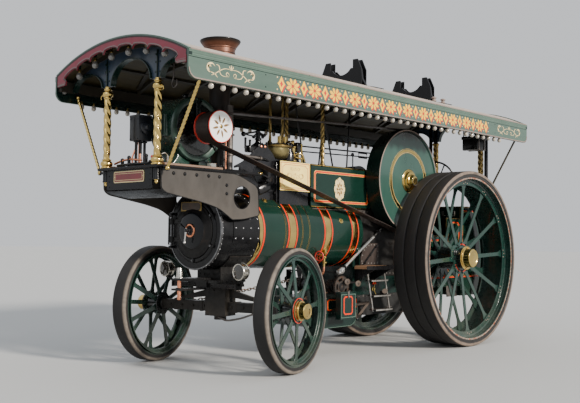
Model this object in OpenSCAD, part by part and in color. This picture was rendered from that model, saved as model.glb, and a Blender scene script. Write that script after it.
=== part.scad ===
// Road steam traction engine with full canopy, dynamo and belt drive.
// +X forward, +Y the engine's left side, +Z up. Origin on the ground at the middle of the canopy.

/* [Rear wheels] */
// Radius of the rear wheels over the rubber
rear_r = 1067; // [1020:1:1067]
// Width of the rear tyres
rear_w = 455; // [380:5:455]
// Distance of the rear wheels' outer faces from the middle
rear_out_y = 985; // [985:1:1000]
// Place of the rear axle along the engine
rear_axle_x = -1603; // [-1610:1:-1595]
// Number of spokes in each of the two rows
rear_spokes = 12; // [10:1:12]

/* [Front wheels] */
// Radius of the front wheels over the rubber
front_r = 600; // [590:1:600]
// Width of the front tyres
front_w = 160; // [130:5:160]
// Distance of the front wheels' outer faces from the middle
front_out_y = 900; // [895:1:905]
// Place of the king pin along the engine
king_x = 1697; // [1690:1:1705]
// Number of spokes in each of the two rows
front_spokes = 8; // [7:1:9]
// Angle that the front axle is turned to the left at rest
steer_rest = 12.95; // [0:0.05:14]

/* [Boiler] */
// Height of the boiler's centre line
boiler_z = 1357; // [1350:1:1360]
// Radius of the boiler over its lagging
boiler_r = 385; // [380:1:385]
// Front end of the smokebox
smoke_x1 = 2056; // [2050:1:2060]
// Joint between smokebox and barrel
smoke_x0 = 1540; // [1530:1:1545]
// Rear end of the barrel
barrel_x0 = -160; // [-165:1:-155]

/* [Canopy] */
// Length of the canopy
canopy_l = 6040; // [6030:2:6060]
// Half width of the canopy over its cornice
canopy_hw = 992; // [990:1:996]
// Height of the crown of the roof
crown_z = 3083; // [3080:1:3090]
// Radius of the roof's arch
arch_r = 2141; // [2130:1:2150]
// Height of the bottom of the side boards
board_z0 = 2604; // [2600:1:2610]

/* [Flywheel and dynamo] */
// Radius of the flywheel
fly_r = 620; // [600:1:620]
// Height of the crankshaft
fly_z = 1994; // [1990:1:1998]
// Place of the crankshaft along the engine
fly_x = -940; // [-945:1:-935]
// Radius of the dynamo's pulley
pulley_r = 141; // [135:1:145]
// Place of the dynamo along the engine
dyn_x = 2180; // [2175:1:2185]
// Height of the dynamo's shaft
dyn_z = 2328; // [2325:1:2332]

/* [Hidden] */
$fn = 96;

arch_z = crown_z - arch_r;          // centre of the roof's arch
canopy_hl = canopy_l / 2;
fly_y0 = 295;                        // inner and outer faces of the flywheel's rim
fly_y1 = 490;
belt_y0 = 342;                       // the belt's edges
belt_y1 = 464;
belt_gap = 1;
belt_t = 6;
run = 0.05;                          // radial clearance of running fits
gap = 0.5;                           // clearance between curved faces that don't run

green = [0.07, 0.17, 0.13];
black = [0.04, 0.04, 0.045];
grey_brown = [0.30, 0.28, 0.26];
rubber = [0.09, 0.09, 0.09];
brass = [0.75, 0.58, 0.25];
sage = [0.35, 0.45, 0.38];
crimson = [0.45, 0.08, 0.1];

// ---------- shapes ----------
module xcyl(r, x0, x1, y, z) translate([x0, y, z]) rotate([0, 90, 0]) cylinder(r = r, h = x1 - x0, $fn = r > 1000 ? 720 : $fn);
module ycyl(r, y0, y1, x, z) translate([x, y0, z]) rotate([-90, 0, 0]) cylinder(r = r, h = y1 - y0);
module zcyl(r, z0, z1, x, y) translate([x, y, z0]) cylinder(r = r, h = z1 - z0);
module box(x0, x1, y0, y1, z0, z1) translate([x0, y0, z0]) cube([x1 - x0, y1 - y0, z1 - z0]);
module rod(p, q, r) {
  d = q - p;
  l = norm(d);
  translate(p) rotate([0, acos(d[2] / l), atan2(d[1], d[0])]) cylinder(h = l, r = r);
}
// outline in X and Z, extruded along Y
module yplate(pts, y0, y1) translate([0, y1, 0]) rotate([90, 0, 0]) linear_extrude(y1 - y0) polygon(pts);
// outline in Y and Z, extruded along X
module xplate(pts, x0, x1) translate([x0, 0, 0]) rotate([90, 0, 90]) linear_extrude(x1 - x0) polygon(pts);
module both() { children(); mirror([0, 1, 0]) children(); }
module steered() translate([king_x, 0, 0]) rotate([0, 0, steer_rest]) translate([-king_x, 0, 0]) children();

// ---------- road wheels, built with the outer face at Z = 0 and the axle along Z ----------
// spoke rows: [height at the hub, height at the rim, phase]
module spokes(n, rows, r0, r1, wide, thick)
  for (row = rows, i = [0 : n - 1])
    rotate([0, 0, (i + row[2]) * 360 / n]) rotate([90, 0, 0])
      translate([0, 0, -wide / 2]) linear_extrude(wide)
        polygon([[r0, row[0]], [r1, row[1]], [r1, row[1] - thick], [r0, row[0] - thick]]);

module wheel_centre(r, w, rubber_t, rim_t, ring_w, ring_z, hub_r, flange_r, flange_z, cap, n, bore_r, wide) {
  ri = r - rubber_t - rim_t;
  difference() {
    union() {
      difference() {
        translate([0, 0, -w + 6]) cylinder(r = r - rubber_t, h = w - 12);
        translate([0, 0, -w]) cylinder(r = ri, h = w + 10);
      }
      for (z = ring_z) difference() {
        translate([0, 0, z - 14]) cylinder(r = ri + 2, h = 14);
        translate([0, 0, z - 20]) cylinder(r = ri - ring_w, h = 30);
      }
      translate([0, 0, flange_z[1] - 14]) cylinder(r = hub_r, h = flange_z[0] - flange_z[1] + 14);
      translate([0, 0, flange_z[0] - 14]) cylinder(r = flange_r, h = 14);
      translate([0, 0, flange_z[1] - 14]) cylinder(r = flange_r * 0.93, h = 14);
      // stepped cap: [radius, from, to]
      for (c = cap) translate([0, 0, c[1]]) cylinder(r = c[0], h = c[2] - c[1]);
      spokes(n, [[flange_z[0] - 14, ring_z[0] - 14, 0.1], [flange_z[1] + 14, ring_z[1] + 14, 0.6]],
        hub_r - 10, ri - 4, wide, 14);
    }
    translate([0, 0, -w - 60]) cylinder(r = bore_r + run, h = w + 60 + cap[0][1] + 20);
  }
}

// tread bands: [from, to]
module tyre(r, w, rubber_t, grooves, groove_w, groove_d)
  difference() {
    cylinder(r = r, h = w);
    translate([0, 0, -1]) cylinder(r = r - rubber_t + 0.4, h = w + 2);
    for (g = grooves) translate([0, 0, g - groove_w / 2]) difference() {
      cylinder(r = r + 5, h = groove_w);
      translate([0, 0, -1]) cylinder(r = r - groove_d, h = groove_w + 2);
    }
  }

rear_rubber = 77;
front_rubber = 60;
module rear_centre() wheel_centre(rear_r, rear_w, rear_rubber, 20, 75, [-90, -365], 135, 205, [-165, -440],
  [[148, -165, -95], [114, -95, 0]], rear_spokes, 70, 66);
module front_centre() wheel_centre(front_r, front_w, front_rubber, 18, 45, [-34, -126], 82, 125, [0, -170],
  [[96, 0, 30], [80, 30, 105]], front_spokes, 45, 58);
module at_rear_left() translate([rear_axle_x, rear_out_y, rear_r]) rotate([-90, 0, 0]) children();
module at_front_left() steered() translate([king_x, front_out_y, front_r]) rotate([-90, 0, 0]) children();
module at_front_right() steered() translate([king_x, -front_out_y, front_r]) rotate([90, 0, 0]) children();

module rear_wheel_left() color(green) at_rear_left() rear_centre();
module rear_wheel_right() color(green) mirror([0, 1, 0]) at_rear_left() rear_centre();
module rear_tyre() translate([0, 0, -rear_w]) tyre(rear_r, rear_w, rear_rubber, [rear_w / 3, 2 * rear_w / 3], 10, 24);
module rear_tyre_left() color(rubber) at_rear_left() rear_tyre();
module rear_tyre_right() color(rubber) mirror([0, 1, 0]) at_rear_left() rear_tyre();
module front_wheel_left() color(green) at_front_left() front_centre();
module front_wheel_right() color(green) at_front_right() front_centre();
module front_tyre() translate([0, 0, -front_w]) tyre(front_r, front_w, front_rubber, [], 10, 20);
module front_tyre_left() color(rubber) at_front_left() front_tyre();
module front_tyre_right() color(rubber) at_front_right() front_tyre();

// ---------- boiler ----------
module boiler_barrel() color(green) xcyl(boiler_r, barrel_x0, smoke_x0, 0, boiler_z);

door_y = -315;       // hinge of the smokebox door
door_x = 2087;
module smokebox() color(black) {
  difference() {
    union() {
      xcyl(383, smoke_x0 + gap, smoke_x1 - 26, 0, boiler_z);
      xcyl(385, smoke_x1 - 26, smoke_x1, 0, boiler_z);
      // hinge lugs: [from, to] in height
      for (z = [[1186, 1202], [1512, 1528]]) box(smoke_x1 - 20, door_x + 16, door_y - 16, door_y + 16, z[0], z[1]);
      zcyl(10, 1190, 1524, door_x, door_y);
    }
    xcyl(368, smoke_x0 + 14, smoke_x1 - 26, 0, boiler_z);
    xcyl(250, smoke_x1 - 30, smoke_x1 + 4, 0, boiler_z);
    zcyl(94, boiler_z + 300, boiler_z + 400, 1746, 0);
  }
}
module smokebox_door() color(black) {
  difference() {
    union() {
      // dished disc: [radius, distance from the ring]
      translate([smoke_x1 + 1, 0, boiler_z]) rotate([0, 90, 0]) rotate_extrude()
        polygon([[0, 0], [272, 0], [272, 16], [250, 24], [180, 40], [110, 50], [60, 54], [60, 60], [24, 64], [24, 96], [0, 96]]);
      for (z = [1235, 1415]) {
        box(smoke_x1 + 17, smoke_x1 + 31, door_y, -120, z, z + 64);
        zcyl(16, z, z + 64, door_x, door_y);
      }
    }
    zcyl(10 + run, 1150, 1560, door_x, door_y);
  }
}

module smokebox_saddle() color(black) {
  difference() {
    union() {
      box(1540, 1860, -170, 170, 800, 1080);
      box(1560, 1840, -200, 200, 800, 826);
    }
    xcyl(383 + gap, 1500, 2000, 0, boiler_z);
  }
  zcyl(45, 500, 802, king_x, 0);
  zcyl(62, 470, 505, king_x, 0);
}

// beam that carries the lamps, with the tow bracket
module front_drawgear() color(black) {
  difference() {
    union() {
      box(1860.5, 1932, -470, 470, 800, 842);
      box(1932, 2280, -70, 70, 876, 894);
      box(1932, 2290, -60, 60, 780, 798);
      box(1900, 1960, -75, 75, 780, 894);
    }
    zcyl(22, 700, 950, 2240, 0);
  }
  both() rod([1896, 462, 830], [1912, 537, 876], 9);
}
module headlamps() color([0.55, 0.55, 0.5]) both() {
  xcyl(80, 1890, 1985, 540, 967);
  xcyl(48, 1868, 1890, 540, 967);
}
module tow_pin() color([0.6, 0.4, 0.3]) translate([2240, 0, 0]) rotate_extrude()
  polygon([[0, 690], [20, 690], [20, 894.5], [34, 894.5], [34, 904], [26, 1000], [0, 1000]]);

// ---------- perch and platform ----------
perch = [[2834, 1884], [2826, 1722], [2775, 1686], [2325, 1618], [2132, 1573], [2004, 1506],
  [1591, 1517], [1611, 1762], [1641, 1803], [1780, 1860], [1910, 1903], [2834, 1903]];
module perch_plates() color(grey_brown) both() difference() {
  yplate(perch, 414, 426);
  ycyl(110, 400, 440, 1831, 1678);
}
module dynamo_platform() color(grey_brown) {
  difference() {
    box(1590, 2890, -432, 432, 1904, 1930);
    zcyl(136, 1800, 2000, 1746, 0);
    for (y = [-373, 373]) zcyl(28 + gap, 1800, 2000, 2838, y);
  }
  box(2846, 2858, -335, 335, 1722, 1912);
}

module chimney() color([0.25, 0.16, 0.1]) difference() {
  translate([1746, 0, 0]) rotate_extrude()
    polygon([[92, 1700], [130, 1700], [130, 1930.5], [168, 1930.5], [168, 1948], [125, 1966], [105, 2000],
      [105, 3020], [128, 3050], [150, 3110], [152, 3200], [200, 3262], [206, 3278], [192, 3290], [140, 3244], [92, 3200]]);
  xcyl(383 + gap, 1500, 2000, 0, boiler_z);
}

// ---------- dynamo ----------
module dynamo_frame() color(green) {
  difference() {
    union() {
      ycyl(313, -170, 160, dyn_x, dyn_z);
      box(dyn_x - 262, dyn_x + 262, -150, 140, 1930.5, 1975);
      box(dyn_x - 230, dyn_x + 230, -140, 130, 1970, 2120);
    }
    ycyl(252, -200, 200, dyn_x, dyn_z);
  }
  // pole pieces
  for (a = [45, 135, 225, 315]) difference() {
    translate([dyn_x, 0, dyn_z]) rotate([0, a, 0]) translate([0, -120, -70]) cube([254, 230, 140]);
    ycyl(186, -200, 200, dyn_x, dyn_z);
  }
  // end brackets and bearings: [inner face, outer face, bearing end]
  for (e = [[160, 176, 268], [-186, -170, -300]]) difference() {
    union() {
      box(dyn_x - 55, dyn_x + 55, e[0], e[1], dyn_z - 313, dyn_z + 300);
      box(dyn_x - 300, dyn_x + 300, e[0], e[1], dyn_z - 50, dyn_z + 50);
      ycyl(62, min(e[0], e[2]), max(e[1], e[2]), dyn_x, dyn_z);
    }
    ycyl(30 + run, -400, 400, dyn_x, dyn_z);
  }
}
module dynamo_armature() color([0.5, 0.12, 0.1]) {
  ycyl(30, -330, 340, dyn_x, dyn_z);
  ycyl(170, -130, 120, dyn_x, dyn_z);
  ycyl(pulley_r, 278, fly_y1, dyn_x, dyn_z);
  for (y = [276, fly_y1 - 10]) ycyl(pulley_r + 12, y, y + 10, dyn_x, dyn_z);
}
module exciter() color(black) {
  box(2500, 2660, -275, -125, 2195, 2445);
  for (x = [2530, 2630]) zcyl(14, 1930.5, 2196, x, -200);
}

// belt loop round the flywheel and the pulley
belt_d = norm([dyn_x - fly_x, dyn_z - fly_z]);
belt_a = atan2(dyn_z - fly_z, dyn_x - fly_x);
module belt_solid(r1, r2, y0, y1) {
  b = acos((r1 - r2) / belt_d);
  ycyl(r1, y0, y1, fly_x, fly_z);
  ycyl(r2, y0, y1, dyn_x, dyn_z);
  yplate([for (p = [[fly_x, fly_z, r1, b], [dyn_x, dyn_z, r2, b], [dyn_x, dyn_z, r2, -b], [fly_x, fly_z, r1, -b]])
    [p[0] + p[2] * cos(belt_a + p[3]), p[1] + p[2] * sin(belt_a + p[3])]], y0, y1);
}
module drive_belt() color([0.12, 0.07, 0.05]) difference() {
  belt_solid(fly_r + belt_gap + belt_t, pulley_r + belt_gap + belt_t, belt_y0, belt_y1);
  belt_solid(fly_r + belt_gap, pulley_r + belt_gap, belt_y0 - 5, belt_y1 + 5);
}

// ---------- engine ----------
module cylinder_block() color(black) difference() {
  union() {
    box(660, 1120, -258, 258, 1600, 2100);
    xcyl(190, 1120, 1180, 0, 1930);
    xcyl(150, 690, 1090, 0, 2110);
  }
  xcyl(boiler_r + gap, 500, 1300, 0, boiler_z);
}
module safety_valves() color(brass) {
  for (x = [760, 850]) {
    zcyl(34, 2262, 2330, x, 0);
    zcyl(22, 2330, 2400, x, 0);
  }
  zcyl(60, 2262, 2300, 1000, 0);
}
// side sheets, top sheet and the cream board: the running gear is closed inside
module motion_covers() color(green) {
  both() box(-430, 640, 262, 280, 1640, 2090);
  box(-430, 640, -261, 261, 2040, 2052);
  both() box(651, 1129, 262, 274, 1790, 2100);
}

module firebox() color(green) difference() {
  union() {
    box(-1150, -160.5, -247, 247, 640, 1600);
    xcyl(247, -1150, -160.5, 0, 1600);
    box(-172, -160.5, -330, 330, 990, 1600);
  }
  box(-1200, -1000, -120, 120, 1100, 1300);
}
module firehole_door() color(black) {
  difference() {
    union() {
      box(-1176, -1158, -135, 135, 1080, 1320);
      for (z = [1110, 1245]) {
        box(-1172, -1160, 130, 170, z, z + 40);
        zcyl(13, z, z + 40, -1170, 170);
      }
    }
    zcyl(7 + run, 1000, 1400, -1170, 170);
  }
}
horn = [[-173, 980], [-173, 1610], [-431, 1640], [-460, 2120], [-1300, 2150], [-1700, 1900], [-1790, 1500],
  [-1790, 960], [-1560, 850], [-700, 850]];
module hornplates() color(black) {
  both() difference() {
    yplate(horn, 248, 260);
    ycyl(62, 200, 300, fly_x, fly_z);
    ycyl(78, 200, 300, rear_axle_x, rear_r);
  }
  // crankshaft bearings
  both() difference() {
    ycyl(105, 210, 248, fly_x, fly_z);
    ycyl(50 + run, 200, 300, fly_x, fly_z);
  }
  // firehole door hinge
  zcyl(7, 1090, 1310, -1170, 170);
  for (z = [1096, 1296]) box(-1178, -1150.5, 158, 248, z - 6, z + 6);
}
module crankshaft() color([0.5, 0.5, 0.52]) {
  ycyl(50, -440, 521, fly_x, fly_z);
  ycyl(58, 520.5, 572, fly_x, fly_z);
}
module flywheel() color(green) difference() {
  union() {
    difference() {
      ycyl(fly_r, fly_y0, fly_y1, fly_x, fly_z);
      ycyl(fly_r - 36, fly_y0 - 5, 450, fly_x, fly_z);
      ycyl(fly_r - 36, 474, fly_y1 + 5, fly_x, fly_z);
    }
    ycyl(112, fly_y0 + 5, 520, fly_x, fly_z);
  }
  ycyl(50 + 0.3, 200, 530, fly_x, fly_z);
}
module gear_guard() color(green) difference() {
  union() {
    ycyl(220, -440, -262, fly_x, fly_z);
    ycyl(310, -440, -262, rear_axle_x, rear_r);
    yplate([[fly_x + 190, fly_z - 110], [rear_axle_x + 270, rear_r - 140], [rear_axle_x - 270, rear_r + 140], [fly_x - 190, fly_z + 110]], -440, -262);
  }
  ycyl(62, -500, -200, fly_x, fly_z);
  ycyl(78, -500, -200, rear_axle_x, rear_r);
}
module ashpan() color(black) yplate([[-175, 639], [-380, 400], [-1100, 400], [-1150, 639]], -240, 240);

module belly_tank() color(black) {
  box(-120 + 150, 620 - 150, -340, 340, 310, 640);
  box(-120, 620, -340, 340, 460, 640);
  for (x = [30, 470]) ycyl(150, -340, 340, x, 460);
  both() box(-80, -40, 300, 330, 640, 1095);
}
module toolbox() color(green) both() {
  box(125, 390, 434, 505, 418, 708);
  for (x = [180, 300]) box(x, x + 40, 341, 434, 480, 520);
}
module running_boards() color([0.45, 0.33, 0.22]) both() {
  linear_extrude_at(955, 985) polygon([[80, 450], [50, 600], [-460, 600], [-460, 300], [-150, 300]]);
}
module linear_extrude_at(z0, z1) translate([0, 0, z0]) linear_extrude(z1 - z0) children();
// ladder: rails and rungs, leaning out at the foot
module boarding_ladders() color(black) both() {
  for (x = [-110, -430]) rod([x, 471, 951], [x - 10, 560, 480], 10);
  for (z = [495, 650, 820]) {
    y = 470 + (955 - z) * 90 / 475;
    x = -110 - (955 - z) * 10 / 475;
    rod([x - 4, y, z], [x - 316, y, z], 8);
  }
}

// ---------- steering ----------
worm_x = 270;
worm_z = 760;
col_a = [330, 418, 905];
col_b = [-620, 278, 1390];
col_c = [-1960, 274, 2112];
module steering_roller() color(black) {
  ycyl(20, -385, 425, worm_x, worm_z);
  ycyl(55, -350, 330, worm_x, worm_z);
  ycyl(128, 396, 422, worm_x, worm_z);
}
module steering_column() color([0.6, 0.6, 0.58]) {
  rod(col_a, col_b, 11);
  rod(col_b, col_c, 11);
  ycyl(17, 264, 291, col_b[0], col_b[2]);
  // hangers that carry the roller, and the worm's bearing
  for (y = [-372, 345]) difference() {
    box(230, 310, y, y + 10, 720, 930);
    ycyl(20 + run, y - 5, y + 20, worm_x, worm_z);
  }
  box(245, 295, -368, 351, 912, 926);
  difference() {
    box(250, 290, -150, 150, 920, 1020);
    xcyl(boiler_r + gap, 200, 340, 0, boiler_z);
  }
}
module steering_wheel() color(black)
  translate(col_c) rotate([0, 0, 180]) rotate([0, 62, 0]) {
    rotate_extrude() translate([212, 0]) circle(r = 12, $fn = 32);
    difference() {
      union() {
        cylinder(r = 30, h = 50, center = true);
        for (i = [0 : 4]) rotate([0, 90, i * 72]) cylinder(r = 8, h = 212);
      }
      translate([0, 0, -40]) cylinder(r = 11.5, h = 55);
    }
  }
function steer_pt(x, y, z) = [king_x + (x - king_x) * cos(steer_rest) - y * sin(steer_rest),
  (x - king_x) * sin(steer_rest) + y * cos(steer_rest), z];
module steering_chains() color([0.3, 0.3, 0.3]) {
  rod([worm_x + 60, 250, 712], steer_pt(king_x - 96, 500, 612), 9);
  rod([worm_x + 60, -250, 808], steer_pt(king_x - 96, -500, 612), 9);
}

// ---------- rear ----------
module rear_axle() color([0.3, 0.3, 0.3]) ycyl(70, -834, 834, rear_axle_x, rear_r);
module tender() color(green) difference() {
  union() {
    box(-2900, -2150, -475, 475, 560, 1720);
    box(-2150, -1200, -475, 475, 690, 750);
    both() box(-2150, -1800, 463, 475, 750, 1560);
    both() box(-1800, -1200, 463, 475, 750, 1330);
    box(-1700, -1500, -200, 200, 750, 1180);
  }
  box(-2888, -2162, -463, 463, 1050, 1800);
  ycyl(78, -500, 500, rear_axle_x, rear_r);
}
module rear_drawbar() color(black) difference() {
  union() {
    box(-2914, -2900.5, -110, 110, 566, 720);
    for (z = [[580, 604], [676, 700]]) {
      box(-2960, -2910, -62, 62, z[0], z[1]);
      zcyl(55, z[0], z[1], -2962, 0);
    }
  }
  zcyl(26, 500, 800, -2962, 0);
}
module front_axle() color(black) steered() {
  difference() {
    union() {
      box(king_x - 50, king_x + 50, -700, 700, 552, 648);
      box(king_x - 95, king_x + 95, -120, 120, 510, 790);
      // braces: [from, to] heights over half the width
      both() yzbar();
    }
    zcyl(45 + run, 400, 900, king_x, 0);
  }
  both() ycyl(45, 700, 898, king_x, front_r);
  both() box(king_x - 84, king_x - 50, 480, 520, 590, 634);
}
module yzbar() xplate([[110, 700], [110, 780], [560, 660], [560, 646]], king_x - 22, king_x + 22);

// ---------- canopy ----------
module arch_band(r1, r0, x0, x1, hw) intersection() {
  difference() {
    xcyl(r1, x0, x1, 0, arch_z);
    xcyl(r0, x0 - 5, x1 + 5, 0, arch_z);
  }
  box(x0 - 1, x1 + 1, -hw, hw, 2500, 3200);
}
module canopy_roof() color([0.55, 0.48, 0.38]) difference() {
  arch_band(arch_r, arch_r - 30, -canopy_hl + 21, canopy_hl - 21, 964);
  zcyl(176, 2500, 3300, 1746, 0);
}
module canopy_side_boards() color(sage) both() difference() {
  union() {
    box(-canopy_hl, canopy_hl, 965, 984, board_z0, 2846);
    box(-canopy_hl, canopy_hl, 984, 988, 2796, 2846);
    box(-canopy_hl, canopy_hl, 988, canopy_hw, 2816, 2846);
  }
  // rounded lower corners at the ends
  for (s = [-1, 1]) difference() {
    translate([s > 0 ? canopy_hl - 90 : -canopy_hl - 10, 900, board_z0 - 10]) cube([100, 200, 100]);
    ycyl(90, 890, 1110, s * (canopy_hl - 90), board_z0 + 90);
  }
}
module canopy_end_boards() color(crimson) for (s = [-1, 1]) intersection() {
  arch_band(arch_r, arch_r - 118, s > 0 ? canopy_hl - 20 : -canopy_hl, s > 0 ? canopy_hl : -canopy_hl + 20, 964);
  box(-4000, 4000, -1000, 1000, board_z0, 3300);
}
ribs = [-2880, -2150, -1450, -800, -180, 440, 900, 1480, 2060, 2838];
module canopy_frame() color([0.3, 0.24, 0.14]) {
  both() box(-canopy_hl + 24, canopy_hl - 24, 915, 964, 2700, 2800);
  for (x = ribs) arch_band(arch_r - 30 - gap, arch_r - 75, x - 20, x + 20, 914);
}
function roof_z(y) = arch_z + sqrt((arch_r - 76) * (arch_r - 76) - y * y);
// posts: [x, y, bottom, radius]
posts = [[2838, 373, 1930.5, 30], [900, 93, 2238.5, 14], [440, 271, 2090.5, 22], [-2880, 362, 1720.5, 38], [-2880, 448, 1720.5, 26]];
module canopy_posts() color(brass) {
  both() for (p = posts) zcyl(p[3], p[2], roof_z(p[1]) - 6, p[0], p[1]);
  both() {
    for (z = [1977, 2636]) translate([2838, 373, z]) sphere(r = 44);
    zcyl(27.5, 1780, 1931, 2838, 373);
  }
}
// stays: [top, bottom, radius]
stays = [[[2810, 905, 2690], [2822, 500, 1885], 13], [[-2880, 905, 2690], [-2700, 469, 1727], 10],
  [[404, 190, 2985], [180, 215, 2060], 9], [[-160, 190, 2985], [-60, 215, 2060], 9]];
module canopy_stays() color(brass) both() {
  for (s = stays) rod(s[1], s[0], s[2]);
  box(2810, 2834, 426, 510, 1880, 1900);
}

// rests: place of each U-shaped plate along the roof
rests = [-230, -1700];
module chimney_rests() color(black) for (x = rests) difference() {
  union() {
    for (e = [0, -85]) xplate([[-300, 3000], [-300, 3270], [-240, 3400], [-170, 3400], [-170, 3300], [170, 3300], [170, 3400], [240, 3400], [300, 3270], [300, 3000]], x + e - 7, x + e + 7);
    box(x - 85, x, -60, 60, 3080, 3215);
    both() rod([x - 6, 225, 3330], [x - 230, 225, 3040], 10);
  }
  xcyl(170, x - 100, x + 20, 0, 3400);
  xcyl(arch_r + gap, x - 400, x + 100, 0, arch_z);
}

boiler_barrel();
smokebox();
smokebox_door();
smokebox_saddle();
front_drawgear();
headlamps();
tow_pin();
perch_plates();
dynamo_platform();
chimney();
dynamo_frame();
exciter();
dynamo_armature();
drive_belt();
cylinder_block();
safety_valves();
motion_covers();
firebox();
firehole_door();
hornplates();
crankshaft();
flywheel();
gear_guard();
ashpan();
belly_tank();
toolbox();
running_boards();
boarding_ladders();
steering_roller();
steering_column();
steering_wheel();
steering_chains();
rear_axle();
tender();
rear_drawbar();
front_axle();
front_wheel_left();
front_tyre_left();
front_wheel_right();
front_tyre_right();
rear_wheel_left();
rear_tyre_left();
rear_wheel_right();
rear_tyre_right();
canopy_roof();
canopy_side_boards();
canopy_end_boards();
canopy_frame();
canopy_posts();
canopy_stays();
chimney_rests();
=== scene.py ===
import math
from math import acos, asin, atan2, cos, pi, radians, sin, sqrt

import bmesh
import bpy
from mathutils import Matrix, Vector
from mathutils.geometry import tessellate_polygon


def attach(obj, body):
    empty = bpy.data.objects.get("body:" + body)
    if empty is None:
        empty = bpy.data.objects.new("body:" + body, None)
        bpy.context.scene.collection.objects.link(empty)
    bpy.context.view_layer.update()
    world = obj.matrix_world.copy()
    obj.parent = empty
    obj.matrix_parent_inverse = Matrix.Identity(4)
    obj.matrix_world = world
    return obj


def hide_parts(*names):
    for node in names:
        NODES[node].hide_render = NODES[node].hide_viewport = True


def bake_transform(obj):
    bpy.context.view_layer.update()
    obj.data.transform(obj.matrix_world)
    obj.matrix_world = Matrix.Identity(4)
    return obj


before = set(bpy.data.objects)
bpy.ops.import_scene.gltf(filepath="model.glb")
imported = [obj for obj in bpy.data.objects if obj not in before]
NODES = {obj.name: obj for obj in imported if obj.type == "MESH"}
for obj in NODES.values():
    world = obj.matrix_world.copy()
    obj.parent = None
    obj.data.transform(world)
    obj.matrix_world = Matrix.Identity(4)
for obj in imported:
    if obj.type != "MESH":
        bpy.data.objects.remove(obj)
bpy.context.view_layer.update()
scene = bpy.context.scene
TAU = 2 * pi

# ---------- the engine's main sizes, in metres ----------
REAR = (-1.603, 1.067)            # rear axle: x, z; also the wheel's radius
REAR_R, REAR_W, REAR_Y = 1.067, 0.455, 0.985
FRONT_R, FRONT_W, FRONT_Y = 0.600, 0.160, 0.900
KING_X, STEER = 1.697, radians(12.95)
BZ, BR = 1.357, 0.385             # boiler centre line and radius over the lagging
HL, HW = 3.020, 0.992             # canopy half length and half width
ARCH_R, ARCH_Z = 2.141, 0.942
BOARD0, BOARD1 = 2.604, 2.846
FLY = (-0.940, 1.994)
FLY_R = 0.620
DYN = (2.180, 2.328)
CHIM_X = 1.746


# ---------- mesh pieces ----------
class Piece:
    """Gathers shapes into one mesh. Each shape has a material index."""

    def __init__(self):
        self.v, self.f, self.m, self.rad = [], [], [], []

    def add(self, shape, mat=0, at=None):
        verts, faces = shape
        base = len(self.v)
        flip = False
        if at is not None:
            flip = at.determinant() < 0
            verts = [at @ Vector(p) for p in verts]
        self.v += [tuple(p) for p in verts]
        for f in faces:
            g = [i + base for i in f]
            self.f.append(g[::-1] if flip else g)
        self.m += [mat] * len(faces)
        return self

    def make(self, name, body, mats, slot, smooth=38, bevel=0.0, seg=2, over=()):
        me = bpy.data.meshes.new(name)
        me.from_pydata(self.v, [], self.f)
        me.polygons.foreach_set("material_index", self.m)
        for m in mats:
            me.materials.append(m)
        if bevel:
            bm = bmesh.new()
            bm.from_mesh(me)
            edges = [e for e in bm.edges if len(e.link_faces) == 2 and e.calc_face_angle(0) > radians(38)]
            bmesh.ops.bevel(bm, geom=edges, offset=bevel, offset_type="OFFSET", segments=seg, profile=0.5,
                            affect="EDGES", clamp_overlap=True)
            bm.to_mesh(me)
            bm.free()
        me.polygons.foreach_set("use_smooth", [True] * len(me.polygons))
        me.set_sharp_from_angle(angle=radians(smooth))
        if self.rad:
            a = me.attributes.new("radius", "FLOAT", "POINT")
            a.data.foreach_set("value", self.rad + [0.0] * (len(self.v) - len(self.rad)))
        me.update()
        ob = bpy.data.objects.new(name, me)
        scene.collection.objects.link(ob)
        if body:
            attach(ob, body)
        if over:
            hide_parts(*over)
        return ob


def move(x=0.0, y=0.0, z=0.0):
    return Matrix.Translation((x, y, z))


def rx(a):
    return Matrix.Rotation(a, 4, "X")


def ry(a):
    return Matrix.Rotation(a, 4, "Y")


def rz(a):
    return Matrix.Rotation(a, 4, "Z")


MIRROR_Y = Matrix.Diagonal((1, -1, 1, 1))
ALONG_Y = rx(-pi / 2)             # local Z along +Y
ALONG_X = ry(pi / 2)              # local Z along +X


def axis(p, q, turn=0.0):
    """A matrix that puts the origin on p and local Z towards q."""
    p, q = Vector(p), Vector(q)
    return Matrix.Translation(p) @ (q - p).to_track_quat("Z", "Y").to_matrix().to_4x4() @ rz(turn)


def box(x0, x1, y0, y1, z0, z1):
    v = [(x, y, z) for x in (x0, x1) for y in (y0, y1) for z in (z0, z1)]
    return v, [(0, 1, 3, 2), (4, 6, 7, 5), (0, 4, 5, 1), (2, 3, 7, 6), (0, 2, 6, 4), (1, 5, 7, 3)]


def lathe(profile, n=48, a0=0.0, a1=TAU):
    """Turns (radius, height) points about Z. Outer walls go up, so faces look outwards."""
    full = abs(a1 - a0 - TAU) < 1e-6
    closed = profile[0] == profile[-1]
    pts = profile[:-1] if closed else profile
    k = n if full else n + 1
    verts, idx = [], []
    for r, z in pts:
        if r < 1e-9 and full:
            idx.append([len(verts)] * k)
            verts.append((0, 0, z))
        else:
            idx.append(list(range(len(verts), len(verts) + k)))
            for j in range(k):
                a = a0 + (a1 - a0) * j / n
                verts.append((r * cos(a), r * sin(a), z))
    faces = []
    rows = len(pts)
    for i in range(rows if closed else rows - 1):
        a, b = idx[i], idx[(i + 1) % rows]
        for j in range(n):
            jj = (j + 1) % k
            f = [a[j], a[jj], b[jj], b[j]]
            g = []
            for q in f:
                if q not in g:
                    g.append(q)
            if len(g) > 2:
                faces.append(g)
    if not full and closed:
        faces.append([row[0] for row in idx][::-1])
        faces.append([row[-1] for row in idx])
    return verts, faces


def cyl(r, h, n=24, r2=None):
    r2 = r if r2 is None else r2
    return lathe([(0, 0), (r, 0), (r2, h), (0, h)], n)


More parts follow.
